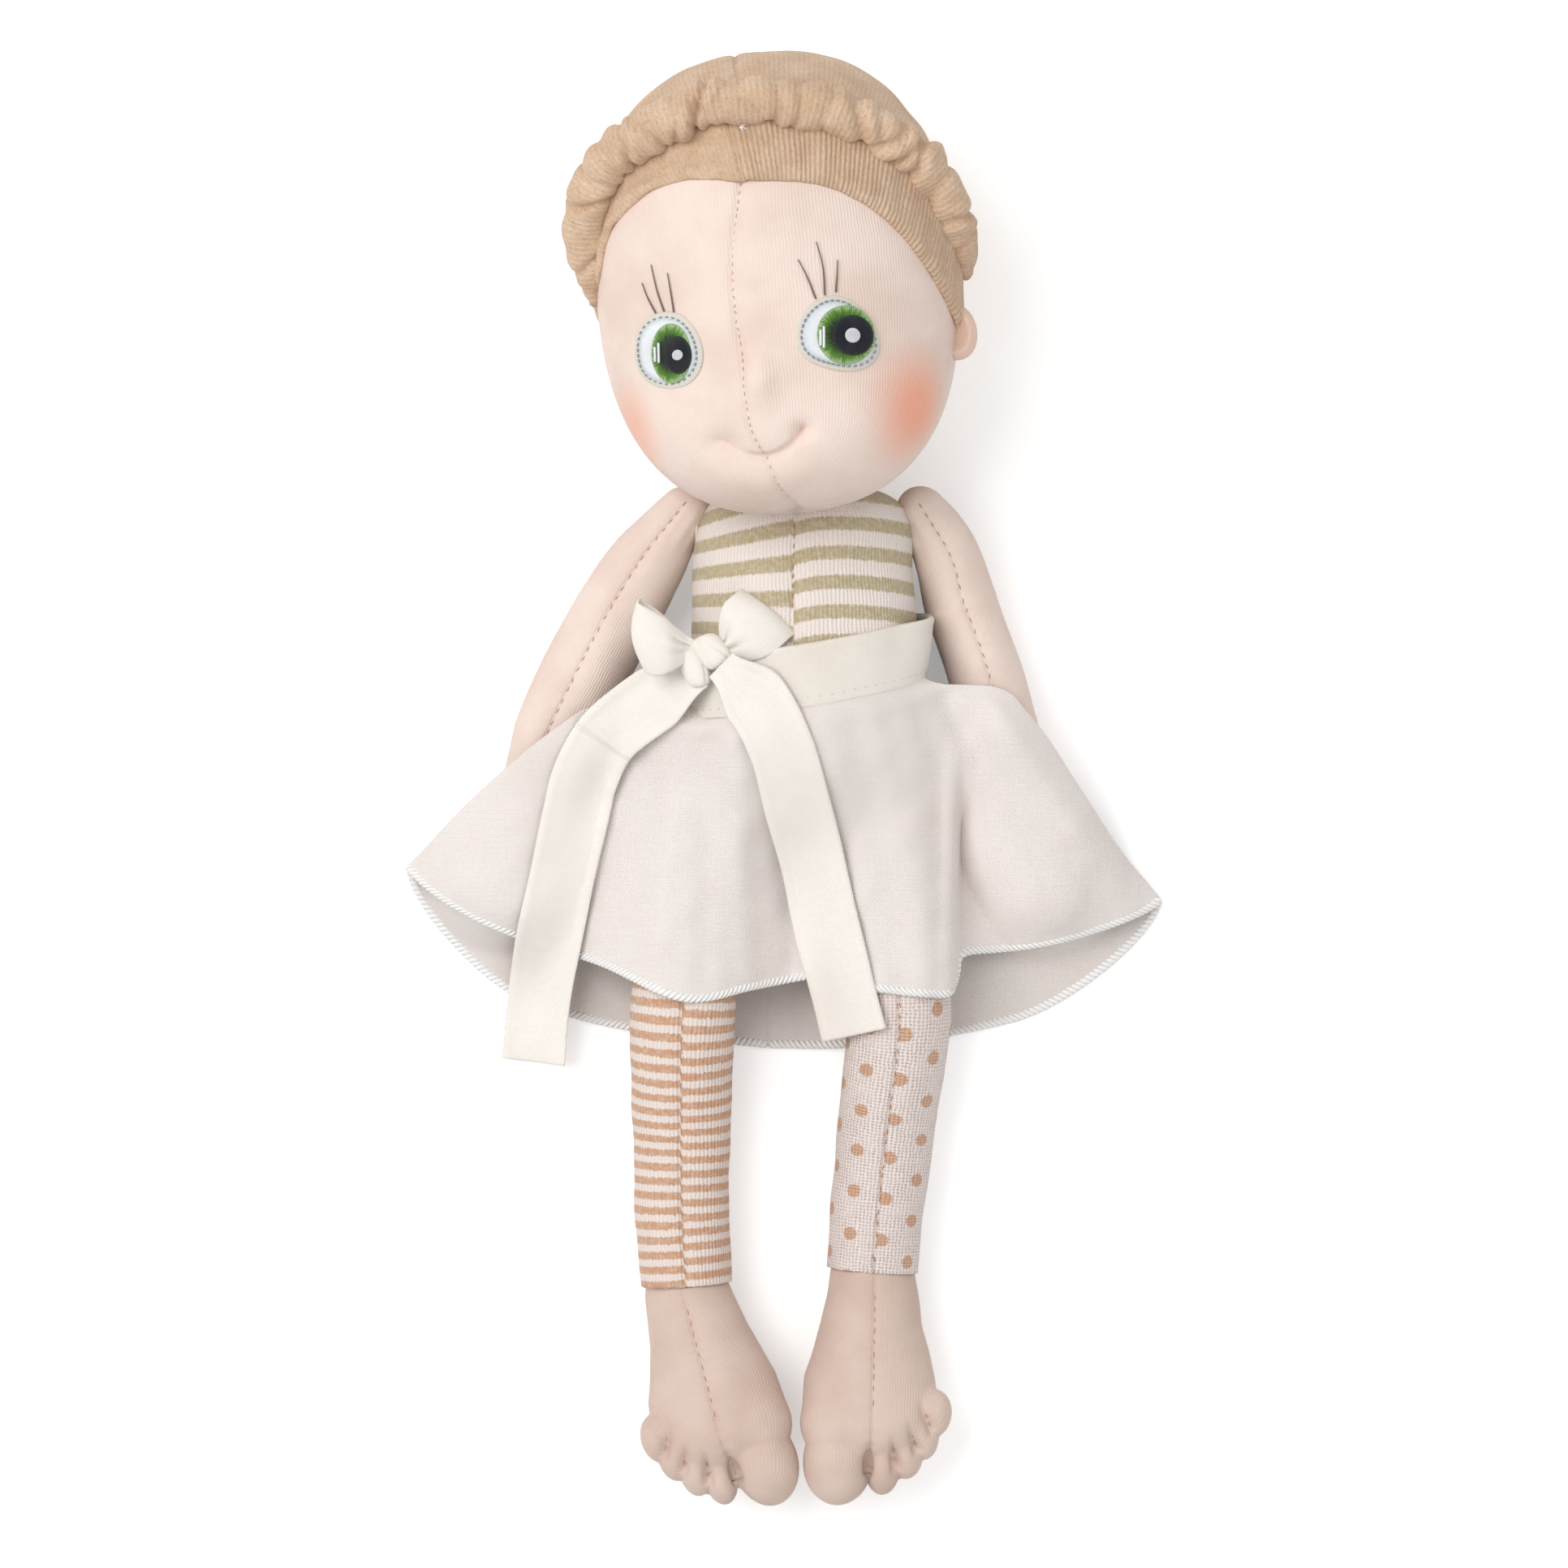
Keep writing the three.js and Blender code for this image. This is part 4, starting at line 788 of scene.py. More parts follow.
@dataclass(frozen=True)
class StripedKnit:
    """Striped jersey, whose colours meet in a ragged line of loops."""

    name: str
    dark: tuple
    light: tuple
    pitch: float
    share: float
    middle: float
    knit: Knit
    shadow: tuple = colour(150, 130, 108)

    def bands(self, recipe: Recipe) -> Value:
        """Returns the place across the stripes, in millimetres."""
        return recipe.cloth_point()[1]

    def material(self) -> bpy.types.Material:
        """Returns the finish."""
        recipe = Recipe(self.name)
        height = self.knit.height(recipe)
        u, v = recipe.cloth_point()
        rag = recipe.noise((u, v * 0.3), 0.6, 2.0, 0.8)
        pace = 2 * math.pi / self.pitch
        level = self.bands(recipe) + (rag * 1.7 - 0.85)
        crest = recipe.math("COSINE", level * pace - pace * self.middle)
        edge = math.cos(math.pi * self.share)
        band = recipe.step(crest, edge - 0.26, edge + 0.26)
        cloud = recipe.noise((u, v), 1.4, 3.0, 0.75)
        dark = recipe.mix(recipe.step(cloud, 0.35, 0.75) * 0.4, self.dark, self.light)
        light = recipe.mix(recipe.step(cloud, 0.6, 0.8) * 0.25, self.light, self.dark)
        tone = recipe.mix(band, light, dark)
        tone = recipe.mix(recipe.step(height, 0.75, 0.2) * 0.2, tone, self.shadow)
        recipe.bump(height, self.knit.depth * 1.5, 0.7)
        return recipe.finish(tone, 0.88, 0.15)


@dataclass(frozen=True)
class TorsoStripes(StripedKnit):
    """The body's khaki stripes, which the centre seam draws down and shifts."""

    seam: float = 3.4
    reach: float = 25.4

    def bands(self, recipe: Recipe) -> Value:
        """Returns the place across the stripes on either side of the seam, in millimetres."""
        x, y, _ = recipe.object_point()
        away = x - self.seam
        far = away - 11.5
        left = far * far * 0.0048 + y + recipe.math("EXPONENT", away * -0.33)
        share = recipe.math("MAXIMUM", away * (1 / self.reach) + 1.0, -0.4)
        share = recipe.math("MINIMUM", share, 1.0)
        right = (share * 15.8 + y) / (share * 0.36 + 1.0)
        right = (right - 44.5) * (self.pitch / 6.35) + self.middle
        return (left - right) * recipe.math("GREATER_THAN", away, 0.0) + right


@dataclass(frozen=True)
class DottedKnit:
    """Open pinkish knit with brown dots in a half drop."""

    name: str
    start: tuple
    base: tuple = colour(230, 217, 211)
    hole: tuple = colour(183, 152, 144)
    dot: tuple = colour(197, 145, 106)
    column: float = 7.8
    row: float = 10.4
    size: float = 1.85
    flatness: float = 1.25
    cell: float = 0.95

    def material(self) -> bpy.types.Material:
        """Returns the finish."""
        recipe = Recipe(self.name)
        u, v = recipe.cloth_point()
        patch = recipe.noise((u, v), 0.8, 3.0, 0.7)
        loose = recipe.noise((u, v), 4.5, 2.0, 0.6)
        bent = recipe.noise((v, u), 2.2, 2.0, 0.6)
        mesh = recipe.wave(bent * 1.1 + u, self.cell) * recipe.wave(loose * 1.2 + v, self.cell * 0.82)
        # Painted shade: the knit's open holes, which the bump lowers, take the darker hole tone.
        hole = recipe.step(patch * 0.8 + mesh, 0.8, 1.2) * (recipe.step(loose, 0.25, 0.7) * 0.8)
        tone = recipe.mix(hole, self.base, self.hole)
        column = (u - (self.start[0] - self.column / 2)) / self.column
        odd = recipe.math("MODULO", recipe.math("ABSOLUTE", recipe.math("FLOOR", column)), 2.0)
        row = odd * 0.5 + (v - (self.start[1] - self.row / 2)) / self.row
        across = (recipe.math("FRACT", column) - 0.5) * self.column
        down = (recipe.math("FRACT", row) - 0.5) * self.row
        away = recipe.math("SQRT", across * across + down * down * self.flatness)
        away = away + (patch * 1.2 - 0.6)
        share = recipe.step(away, self.size + 0.2, self.size - 0.25)
        tone = recipe.mix(share * (recipe.wave(v, 0.75) * 0.3 + 0.62), tone, self.dot)
        recipe.bump(1.0 - mesh, 0.4, 0.8)
        return recipe.finish(tone, 0.86, 0.15)


@dataclass(frozen=True)
class Thread:
    """Sewing thread or embroidery floss with a fine twist."""

    name: str
    base: tuple
    deep: tuple
    rough: float = 0.6

    def material(self) -> bpy.types.Material:
        """Returns the finish."""
        recipe = Recipe(self.name)
        u, v = recipe.cloth_point()
        twist = recipe.wave(u + v, 0.4)
        fuzz = recipe.noise(recipe.object_point(), 0.5)
        tone = recipe.mix((twist + fuzz) * 0.35, self.base, self.deep)
        recipe.bump(twist, 0.1, 0.5)
        return recipe.finish(tone, self.rough, 0.1)


@dataclass(frozen=True)
class Overlock:
    """The hem's thread, wrapped over the raw edge in slanting loops."""

    name: str
    base: tuple = colour(250, 249, 247)
    deep: tuple = colour(218, 212, 207)
    pitch: float = 1.35

    def material(self) -> bpy.types.Material:
        """Returns the finish."""
        recipe = Recipe(self.name)
        u, v = recipe.cloth_point()
        fold = recipe.math("ABSOLUTE", u - 2.5)
        loops = recipe.wave(fold * 0.7 + v, self.pitch)
        twist = recipe.wave(fold * -0.6 + v, 0.36)
        fuzz = recipe.noise((u, v), 0.5)
        # Painted shade: the hollows between the loops, which the bump lowers, are mixed towards the deep
        # tone.
        share = recipe.step(fuzz * 0.3 + loops, 0.5, 0.12) * 0.85
        recipe.bump(twist * 0.15 + loops, 0.35, 0.8)
        return recipe.finish(recipe.mix(share, self.base, self.deep), 0.7, 0.1)


@dataclass(frozen=True)
class Embroidery:
    """Satin stitch that fans out from the middle of an eye's part, with a fringed rim."""

    name: str
    inner: tuple
    outer: tuple
    rim: tuple
    fringe: float = 0.25
    rough: float = 0.42
    start: float = 0.35
    end: float = 0.75

    def material(self) -> bpy.types.Material:
        """Returns the finish. Its map holds the rim's length and the share of the radius."""
        recipe = Recipe(self.name)
        u, v = recipe.cloth_point()
        strands = recipe.noise((u, v * 0.6), 0.42, 2.0, 0.8)
        wave = recipe.wave(strands * 0.5 + u, 0.55)
        reach = v + (strands * (self.fringe * 2) - self.fringe)
        tone = recipe.mix(recipe.step(reach, self.start, self.end), self.inner, self.outer)
        tone = recipe.mix(recipe.step(reach, 0.8, 1.0), tone, self.rim)
        tone = recipe.mix(recipe.step(wave, 0.4, 0.0) * 0.35, tone, self.inner)
        recipe.bump(wave, 0.12, 0.6)
        return recipe.finish(tone, self.rough, 0.1)


def upward(count: int) -> np.ndarray:
    """Returns directions straight up."""
    return np.tile([0.0, 0.0, 1.0], (count, 1))


def polar(outline: Line, centre: tuple[float, float]) -> Callable[[np.ndarray], np.ndarray]:
    """Turns an outline into its distance from a centre at any angle.

    Args:
        outline: The outline's points.
        centre: The point that the distances start from.

    Returns:
        A function from angles to distances.
    """
    points = np.asarray(outline, float) - centre
    angle = np.arctan2(points[:, 1], points[:, 0])
    far = np.hypot(points[:, 0], points[:, 1])
    order = np.argsort(angle)
    angle, far = angle[order], far[order]
    angle = np.concatenate([angle - 2 * math.pi, angle, angle + 2 * math.pi])
    far = np.concatenate([far, far, far])
    even = np.linspace(-math.pi, math.pi, 181)
    reach = np.interp(even, angle, far)
    for _ in range(3):
        ringed = np.concatenate([reach[-7:-1], reach, reach[1:7]])
        reach = np.convolve(ringed, np.ones(13) / 13, mode="valid")
    return lambda turn: np.interp(np.mod(turn + math.pi, 2 * math.pi) - math.pi, even, reach)


@dataclass
class HeadForm:
    """The stuffed head's round form, in the head's own directions round its middle."""

    at: tuple[float, float] = (-1.8, 119.6)
    half_length: float = 55.0
    half_width: float = 43.4
    front: float = 39.0
    back: float = 42.5
    tilt: float = 5.0
    chin_forward: float = 9.0
    power: float = 2.4

    @property
    def middle(self) -> float:
        """The height of the head's middle."""
        return self.back - PRESS

    def turned(self, local: np.ndarray) -> np.ndarray:
        """Returns points of the head in the part's directions."""
        c, s = math.cos(math.radians(self.tilt)), math.sin(math.radians(self.tilt))
        x, y, z = local[..., 0], local[..., 1], local[..., 2]
        return np.stack([x * c - y * s + self.at[0], x * s + y * c + self.at[1], z], axis=-1)

    def section(self, share: np.ndarray) -> tuple[np.ndarray, np.ndarray, np.ndarray]:
        """Returns how full the front and the back are at a place along the head, and its middle's height."""
        low = np.maximum(0.0, -share)
        full = fullness(share, self.power)
        blunt = self.power + (1.3 - self.power) * smooth(low, 0.0, 0.6)
        return full, fullness(share, blunt), self.middle + self.chin_forward * smooth(low, 0.3, 1.0)

    def surface(self, share: np.ndarray, angle: np.ndarray, grow: float = 0.0) -> np.ndarray:
        """Returns points of the grown form at places along the head and angles round it."""
        full, nape, height = self.section(share)
        depth = np.where(np.sin(angle) > 0, (self.front + grow) * full, (self.back + grow) * nape)
        x = (self.half_width + grow) * full * np.cos(angle)
        z = np.maximum(height + depth * np.sin(angle), 0.0)
        return np.stack([x, (self.half_length + grow) * share, z], axis=-1)

    def height(self, x: np.ndarray, y: np.ndarray) -> np.ndarray:
        """Returns the height of the face's side over a place."""
        full, _, height = self.section(np.clip(y / self.half_length, -0.999, 0.999))
        across = np.clip(1 - (x / np.maximum(self.half_width * full, 1e-3)) ** 2, 0, 1)
        return height + self.front * full * np.sqrt(across)

    def on_face(self, x: np.ndarray, y: np.ndarray, lift: np.ndarray | float = 0.0) -> np.ndarray:
        """Returns points on the face, raised along its normal."""
        step = 0.25
        z = self.height(x, y)
        dx = (self.height(x + step, y) - self.height(x - step, y)) / (2 * step)
        dy = (self.height(x, y + step) - self.height(x, y - step)) / (2 * step)
        normal = unit(np.stack([-dx, -dy, np.ones_like(z)], axis=-1))
        return np.stack([x, y, z], axis=-1) + normal * np.asarray(lift)[..., None]

    def reach(self, ways: np.ndarray, grow: float = 0.0) -> np.ndarray:
        """Returns points of the grown form in given directions from the head's middle."""
        low, high = np.full(ways.shape[:-1], 5.0), np.full(ways.shape[:-1], 90.0)
        for _ in range(34):
            far = (low + high) / 2
            p = ways * far[..., None]
            share = np.clip(p[..., 1] / (self.half_length + grow), -1.5, 1.5)
            full, nape, height = self.section(np.clip(share, -0.9999, 0.9999))
            rise = p[..., 2] + self.middle - height
            depth = np.where(rise > 0, (self.front + grow) * full, (self.back + grow) * nape)
            size = (p[..., 0] / ((self.half_width + grow) * full + 1e-6)) ** 2 + (rise / (depth + 1e-6)) ** 2
            inside = (np.abs(share) < 1) & (size < 1)
            low, high = np.where(inside, far, low), np.where(inside, high, far)
        points = ways * low[..., None]
        points[..., 2] = np.maximum(points[..., 2] + self.middle, max(0.0, -grow))
        return points


@dataclass(frozen=True)
class EyeForm:
    """Where one eye's parts lie on the face, and their half sizes."""

    outline: Line
    middle: tuple[float, float]
    iris: tuple[float, float]
    iris_size: tuple[float, float]
    pupil: tuple[float, float]
    pupil_size: tuple[float, float]
    light: tuple[float, float]
    light_size: float
    strokes: Line
    stitches: int


EYES = {
    Side.RIGHT: EyeForm(
        outline=(
            (-25.3, -6.4), (-22.2, -8.1), (-20.0, -11.6), (-18.9, -15.6), (-19.0, -18.8), (-20.5, -21.8),
            (-22.9, -23.8), (-25.8, -24.3), (-29.4, -23.4), (-32.5, -21.5), (-34.2, -18), (-34.4, -14.4),
            (-33.9, -11), (-32.5, -8), (-29.6, -6.5), (-27.4, -6.2),
        ),
        middle=(-26.7, -15.3),
        iris=(-25.6, -16.0),
        iris_size=(4.6, 6.9),
        pupil=(-23.9, -16.6),
        pupil_size=(3.0, 4.4),
        light=(-23.8, -16.5),
        light_size=1.25,
        strokes=((-27.9, -13.2, -28.2, -17.6), (-28.8, -14.0, -29.0, -17.2)),
        stitches=34,
    ),
    Side.LEFT: EyeForm(
        outline=(
            (13.3, -6.3), (16.7, -7.8), (19.7, -10.8), (21.6, -14.1), (22.6, -17.3), (22.5, -20.1),
            (21.2, -22.5), (18.6, -23.8), (15, -24), (11.4, -23.4), (8, -22.1), (4.9, -20.4),
            (3.5, -18.2), (3.2, -15.4), (4.2, -11.9), (6.3, -9.2), (9.3, -7),
        ),
        middle=(12.9, -15.6),
        iris=(14.6, -15.7),
        iris_size=(6.7, 6.8),
        pupil=(16.1, -15.9),
        pupil_size=(4.7, 4.7),
        light=(15.9, -15.8),
        light_size=1.75,
        strokes=((9.6, -13.4, 9.2, -18.2), (8.8, -14.2, 8.5, -17.6)),
        stitches=38,
    ),
}


@dataclass
class Head:
    """The head: face, hair, gathered roll, ears, eyes, lashes and stitches."""

    form: HeadForm = field(default_factory=HeadForm)
    seam: Line = (
        (-5.4, 30), (-6.7, 22), (-9.4, 9.3), (-10.5, 0.9), (-10.5, -10.5), (-9.8, -17.6), (-9.9, -24.7),
        (-9.8, -30.4), (-9.3, -36.1), (-7.6, -41.2), (-5.5, -45.5), (-3.0, -51), (0.6, -55),
    )
    mouth: Line = (
        (-17.8, -38.0), (-16.6, -38.7), (-13.5, -40.6), (-10, -42.4), (-7.4, -43.2), (-3.9, -42.6),
        (-0.6, -40.9), (1.6, -38.9), (3.3, -37.0),
    )
    hairline: Line = (
        (-43.8, -0.5), (-43.2, 2.0), (-41.6, 6), (-39.5, 12.8), (-36.5, 17.1), (-32.1, 20.6),
        (-26.7, 23.3), (-20.1, 24.3), (-13.7, 23.7), (-7.3, 22.7), (-5.2, 22.5), (3.3, 21.7),
        (11.7, 20.2), (17.9, 17.6), (23.3, 14.2), (26.7, 11.2), (30.7, 6.9), (34.3, 1.8),
        (37.2, -3.1), (39.8, -8.2), (42.4, -15),
    )
    nape: Line = (
        (42.8, -8.0, 37.0), (42.0, -18.0, 30.0), (37.0, -34.0, 28.0), (24.0, -47.0, 28.0),
        (0.0, -53.5, 28.0), (-24.0, -47.0, 28.0), (-37.0, -34.0, 28.0), (-41.6, -20.0, 27.0),
        (-42.4, -9.0, 28.0), (-43.6, -1.5, 36.0),
    )
    # Blush spots on the cheeks: x, y, size and strength. The left cheek's stronger, wider spot is partly
    # painted shade.
    blush_and_shade: Line = ((30.0, -33.0, 19.0, 1.0), (-36.5, -31.5, 14.5, 0.62))
    parting: float = -6.0
    roll_half: float = 45.0
    roll_rise: float = 42.0
    roll_foot: float = 2.5
    roll_low: float = 45.0
    roll_high: float = 68.0
    roll_thick: float = 5.5
    roll_sweep: float = 93.0
    roll_line: Line = (
        (-43.4, -0.5, 45), (-44.2, 9, 50), (-43.6, 18.5, 55), (-40.4, 26.6, 60.5), (-35, 32.2, 65.5),
        (-29, 35.4, 69.5), (-21, 38.8, 73), (-12, 40.4, 75.5), (-5, 40.8, 76.6), (1, 40.7, 76.6),
        (8, 39.6, 76), (15, 37.6, 75), (22, 34.8, 73), (27.5, 31.8, 70.5), (33, 28.5, 67),
        (37, 23.2, 63.5), (40.6, 17.0, 59), (43.2, 10.2, 53.5), (44.8, 3.2, 48.5), (45.2, -2.6, 44),
    )
    pressed: float = 1.9  # how high the face's underside stays, over the hair that it lies in
    ear_up: float = -15.5
    ear_height: float = 49.0
    ear_back: float = 20.0
    thread_ends: Line = ((1.2, 0.5), (1.5, -0.4), (0.7, -0.9))

    def relief(self, x: np.ndarray, y: np.ndarray) -> np.ndarray:
        """Returns how far the face stands out or is drawn in at places on it."""
        away, _, _ = from_line(x, y, smooth_line(self.seam, 60))
        drawn = -0.75 * bell(away, 0.75) - 0.6 * bell(away, 3.2)
        nose = 2.6 * np.exp(-(((x + 6.3) / 4.0) ** 2) - ((y + 25.4) / 5.6) ** 2)
        lip, _, _ = from_line(x, y, smooth_line(self.mouth, 50))
        right = smooth(x, -8.5, -11.5)
        groove = -(1.7 - 1.25 * right) * bell(lip, 0.85) - (0.95 + 0.2 * right) * bell(lip, 3.2)
        corner = -1.5 * np.exp(-(((x - 2.9) / 2.3) ** 2) - ((y + 37.2) / 1.9) ** 2)
        corner -= 1.0 * np.exp(-(((x + 16.0) / 3.6) ** 2) - ((y + 38.6) / 2.4) ** 2)
        lower = 0.8 * np.exp(-(((x + 5.5) / 9.0) ** 2) - ((y + 48.0) / 3.6) ** 2)
        cheeks = 0.9 * np.exp(-(((x - 19.0) / 10) ** 2) - ((y + 33.0) / 8.5) ** 2)
        cheeks += 0.8 * np.exp(-(((x + 27.0) / 8) ** 2) - ((y + 31.0) / 8) ** 2)
        return drawn + nose + groove + corner + lower + cheeks

    def make_face(self) -> bpy.types.Object:
        """Returns the stuffed head in its jersey, with nose, mouth and centre seam."""
        rows, front, back = 260, 250, 76
        ahead = np.linspace(0, math.pi, front, endpoint=False)
        behind = np.linspace(math.pi, 2 * math.pi, back, endpoint=False)
        share = -np.cos(np.linspace(0, math.pi, rows))[:, None]
        share, angle = np.broadcast_arrays(share, np.concatenate([ahead, behind])[None])
        local = self.form.surface(share, angle)
        x, y = local[..., 0], local[..., 1]
        facing = smooth(np.sin(angle), 0.05, 0.3)
        raised = self.form.on_face(x, y, self.relief(x, y) * facing)
        lift = (raised - self.form.on_face(x, y)) * (facing > 0)[..., None]
        uneven = 0.22 * ripple(x, y, local[..., 2], 26.0, 3)
        local = local + lift
        local[..., 2] = np.maximum(local[..., 2] + uneven * facing, self.pressed)
        uv = cloth_map(np.append(angle[0], 2 * math.pi)[None] * 42.0, share[:, :1] * 58.0)
        face = Piece.closed("face", self.form.turned(local), uv)
        spots = []
        for cx, cy, size, strength in self.blush_and_shade:
            middle = self.form.turned(self.form.on_face(np.array(cx), np.array(cy)))
            spots.append((*map(float, middle), size, strength))
        skin = SkinJersey("face_jersey", spots=tuple(spots)).material()
        nodes = "face_right_panel", "face_left_panel", "head_filling"
        return dressed(face, skin, "skin_jersey", *nodes, fill=0.9)

    def arches(self, count: int) -> tuple[np.ndarray, np.ndarray]:
        """Returns the hairline and the roll's middle line, from the right ear to the left."""
        line = smooth_line(self.hairline, count)
        line = np.stack([line[:, 0], line[:, 1], self.form.height(line[:, 0], line[:, 1])], axis=1)
        low = np.abs(line[:, 0]) > 39
        line[low, 2] = np.minimum(line[low, 2], 60)
        turn = np.radians(np.linspace(-self.roll_sweep, self.roll_sweep, count))
        up = self.roll_foot + self.roll_rise * np.cos(turn)
        height = self.roll_low + (self.roll_high - self.roll_low) * np.maximum(0.0, np.cos(turn))
        return line, np.stack([self.roll_half * np.sin(turn), up, height], axis=1)

    def ways(self, points: np.ndarray) -> np.ndarray:
        """Returns the directions of points from the head's middle."""
        return unit(points - np.array([0.0, 0.0, self.form.middle]))

    def patch(self, start: np.ndarray, end: np.ndarray, rows: int, grow: np.ndarray) -> np.ndarray:
        """Returns a grid on the head between two lines.

        Args:
            start: Directions of the first row.
            end: Directions of the last row, or one direction.
            rows: How many rows it has.
            grow: How far each row stands off the head.

        Returns:
            The grid's points in the head's directions.
        """
        share = np.linspace(0, 1, rows)[:, None, None]
        ways = unit(start[None] * (1 - share) + end[None] * share)
        base = self.form.reach(ways)
        return base + ways * np.asarray(grow).reshape(rows, -1, 1)

    def make_hair(self) -> list[bpy.types.Object]:
        """Returns the two bands over the forehead and the hair's back."""
        line, roll = self.arches(240)
        start, end = self.ways(line), self.ways(roll)
        split = int(np.argmin(np.abs(line[:, 0] - self.parting) + 100 * (line[:, 1] < 0)))
        right = self.make_band(Side.RIGHT, start[: split + 1], end[: split + 1])
        return [right, self.make_band(Side.LEFT, start[split:], end[split:]), self.make_back(end)]

    def make_band(self, side: Side, start: np.ndarray, end: np.ndarray) -> bpy.types.Object:
        """Returns the band on one side of the parting.

        Args:
            side: The band's side.
            start: Directions of its edge on the forehead.
            end: Directions of its edge under the roll.

        Returns:
            The band.
        """
        rows, count, is_left = 46, len(start), side is Side.LEFT
        t = np.linspace(0, 1, rows)[:, None]
        across = np.arange(count)[None] * 0.62
        edge = np.abs(np.arange(count) - (0 if is_left else count - 1)) * 0.62
        grow = 0.95 - 0.75 * bell(edge, 0.9)[None] - 0.8 * bell(t * 17, 0.7)
        grow = grow + 0.18 * np.sin(across * 0.9 + 2 * t) * (1 - t)
        grow = grow + 0.25 * ripple(across, t * 20, 0, 9.0, 12 if is_left else 11)
        grid = self.patch(start, end, rows, grow)
        name = f"hair_band_{side.value}"
        band = Piece.shell(name, self.form.turned(grid), 1.3, cloth_map(across, t * 18.0))
        velour = Velour(f"velour_band_{side.value}", ribbed=0.75 if is_left else 0.06)
        dressed(band, velour.material(), "hair_velour", name)
        return band

    def make_back(self, edge: np.ndarray) -> bpy.types.Object:
        """Returns the hair's back, from directions of its edge under the roll."""
        rows = 110
        loop = np.vstack([edge, self.ways(smooth_line(self.nape, 150))])
        t = np.linspace(0, 1, rows)[:, None]
        pole = np.repeat(unit(np.array([[0.0, 0.28, -0.96]])), len(loop), axis=0)
        base = self.patch(loop, pole, rows, np.zeros((rows, 1)))
        x, y, z = base[..., 0], base[..., 1], base[..., 2]
        crown = bell(x + 4.0 + 0.02 * y, 0.9) * smooth(z, 30, 50)
        grow = 0.9 - 0.8 * crown - 0.8 * bell(t * 75, 0.8) + 0.3 * ripple(x, y, z, 15.0, 5)
        grid = self.patch(loop, pole, rows, grow)[:-1]
        grid[..., 2] = np.maximum(grid[..., 2], 0.6)
        uv = cloth_map(np.arange(len(loop) + 1)[None] * 0.75, t * 75.0)[:-1]
        back = Piece.shell("hair_back", self.form.turned(grid), 1.1, uv, ring=True)
        self.close_pole(back)
        velour = Velour("velour_back", ribbed=0.1).material()
        return dressed(back, velour, "hair_velour", "hair_back", fill=0.9)

    @staticmethod
    def close_pole(obj: bpy.types.Object) -> None:
        """Leaves the shell's small hole at its pole with its rim closed, and merges what coincides."""
        work = bmesh.new()
        work.from_mesh(obj.data)
        bmesh.ops.remove_doubles(work, verts=work.verts, dist=1e-6)
        work.to_mesh(obj.data)
        work.free()

    @staticmethod
    def flat_size(grid: np.ndarray) -> tuple[float, float]:
        """Returns the width and length that a grid's cloth was cut to, in metres."""
        across = np.linalg.norm(np.diff(grid, axis=1), axis=2).sum(axis=1).mean()
        down = np.linalg.norm(np.diff(grid, axis=0), axis=2).sum(axis=0).mean()
        return round(float(across) / 1000, 4), round(float(down) / 1000, 4)

    def make_roll(self) -> bpy.types.Object:
        """Returns the gathered roll, with its uneven puckers and the fold where its ends overlap."""
        steps, sides = 620, 56
        rng = np.random.default_rng(21)
        middle = smooth_line(self.roll_line, steps)
        run = run_along(middle)
        outward = self.ways(middle)
        along = unit(np.gradient(middle, axis=0))
        across = unit(np.cross(outward, along))
        outward = unit(np.cross(along, across))
        around = turns(sides)
        size = np.full((steps, sides), 1.0)
        spot = 4.0
        while spot < run[-1] - 4:
            deep, wide = rng.uniform(0.14, 0.34), rng.uniform(0.8, 1.6)
            lean, phase = rng.uniform(-3.2, 3.2), rng.uniform(0, 6.28)
            where = spot + lean * np.cos(around)[None] + 0.8 * np.sin(2 * around + phase)[None]
            strength = 0.72 + 0.28 * np.cos(around - phase)[None]
            near = run[:, None] - where
            size -= deep * strength * (bell(near, wide) - 0.28 * bell(np.abs(near) - 2.6 * wide, 1.4 * wide))
            spot += rng.uniform(4.6, 9.4)
        fold = 0.5 * run[-1] - 13.5
        where = fold + 2.6 * np.cos(around - 0.6)[None]
        near = run[:, None] - where
        size -= 0.42 * bell(near, 1.0)
        size += 0.2 * bell(near + 3.0, 2.2)
        second = 0.5 * run[-1] + 31.0 + 3.5 * np.cos(around)[None]
        size -= 0.3 * bell(run[:, None] - second, 1.5)
        x, y = 6 * np.cos(around)[None], 6 * np.sin(around)[None]
        size += 0.05 * ripple(run[:, None], x, y, 8.0, 31)
        size = np.maximum(size, 0.52)
        count = np.arange(steps)
        ending = np.sqrt(np.sin(math.pi * np.clip(count / (steps - 1), 0.001, 0.999)))
        radius = self.roll_thick * np.minimum(1, 1.7 * ending)[:, None] * size
        wander = 0.7 * ripple(run, 0, 0, 24.0, 8)
        middle = middle + outward * (0.2 + 0.35 * wander)[:, None] + across * wander[:, None]
        ring = np.cos(around)[None, :, None] * outward[:, None]
        ring = ring + np.sin(around)[None, :, None] * across[:, None]
        grid = middle[:, None] + radius[..., None] * ring
        grid[0], grid[-1] = grid[0].mean(axis=0), grid[-1].mean(axis=0)
        uv = cloth_map(run[:, None], np.linspace(0, 37, sides + 1)[None])
        roll = Piece.closed("hair_roll", self.form.turned(grid), uv)
        velour = Velour("velour_roll", ribbed=0.22).material()
        return dressed(roll, velour, "hair_velour", "hair_roll", fill=0.6)

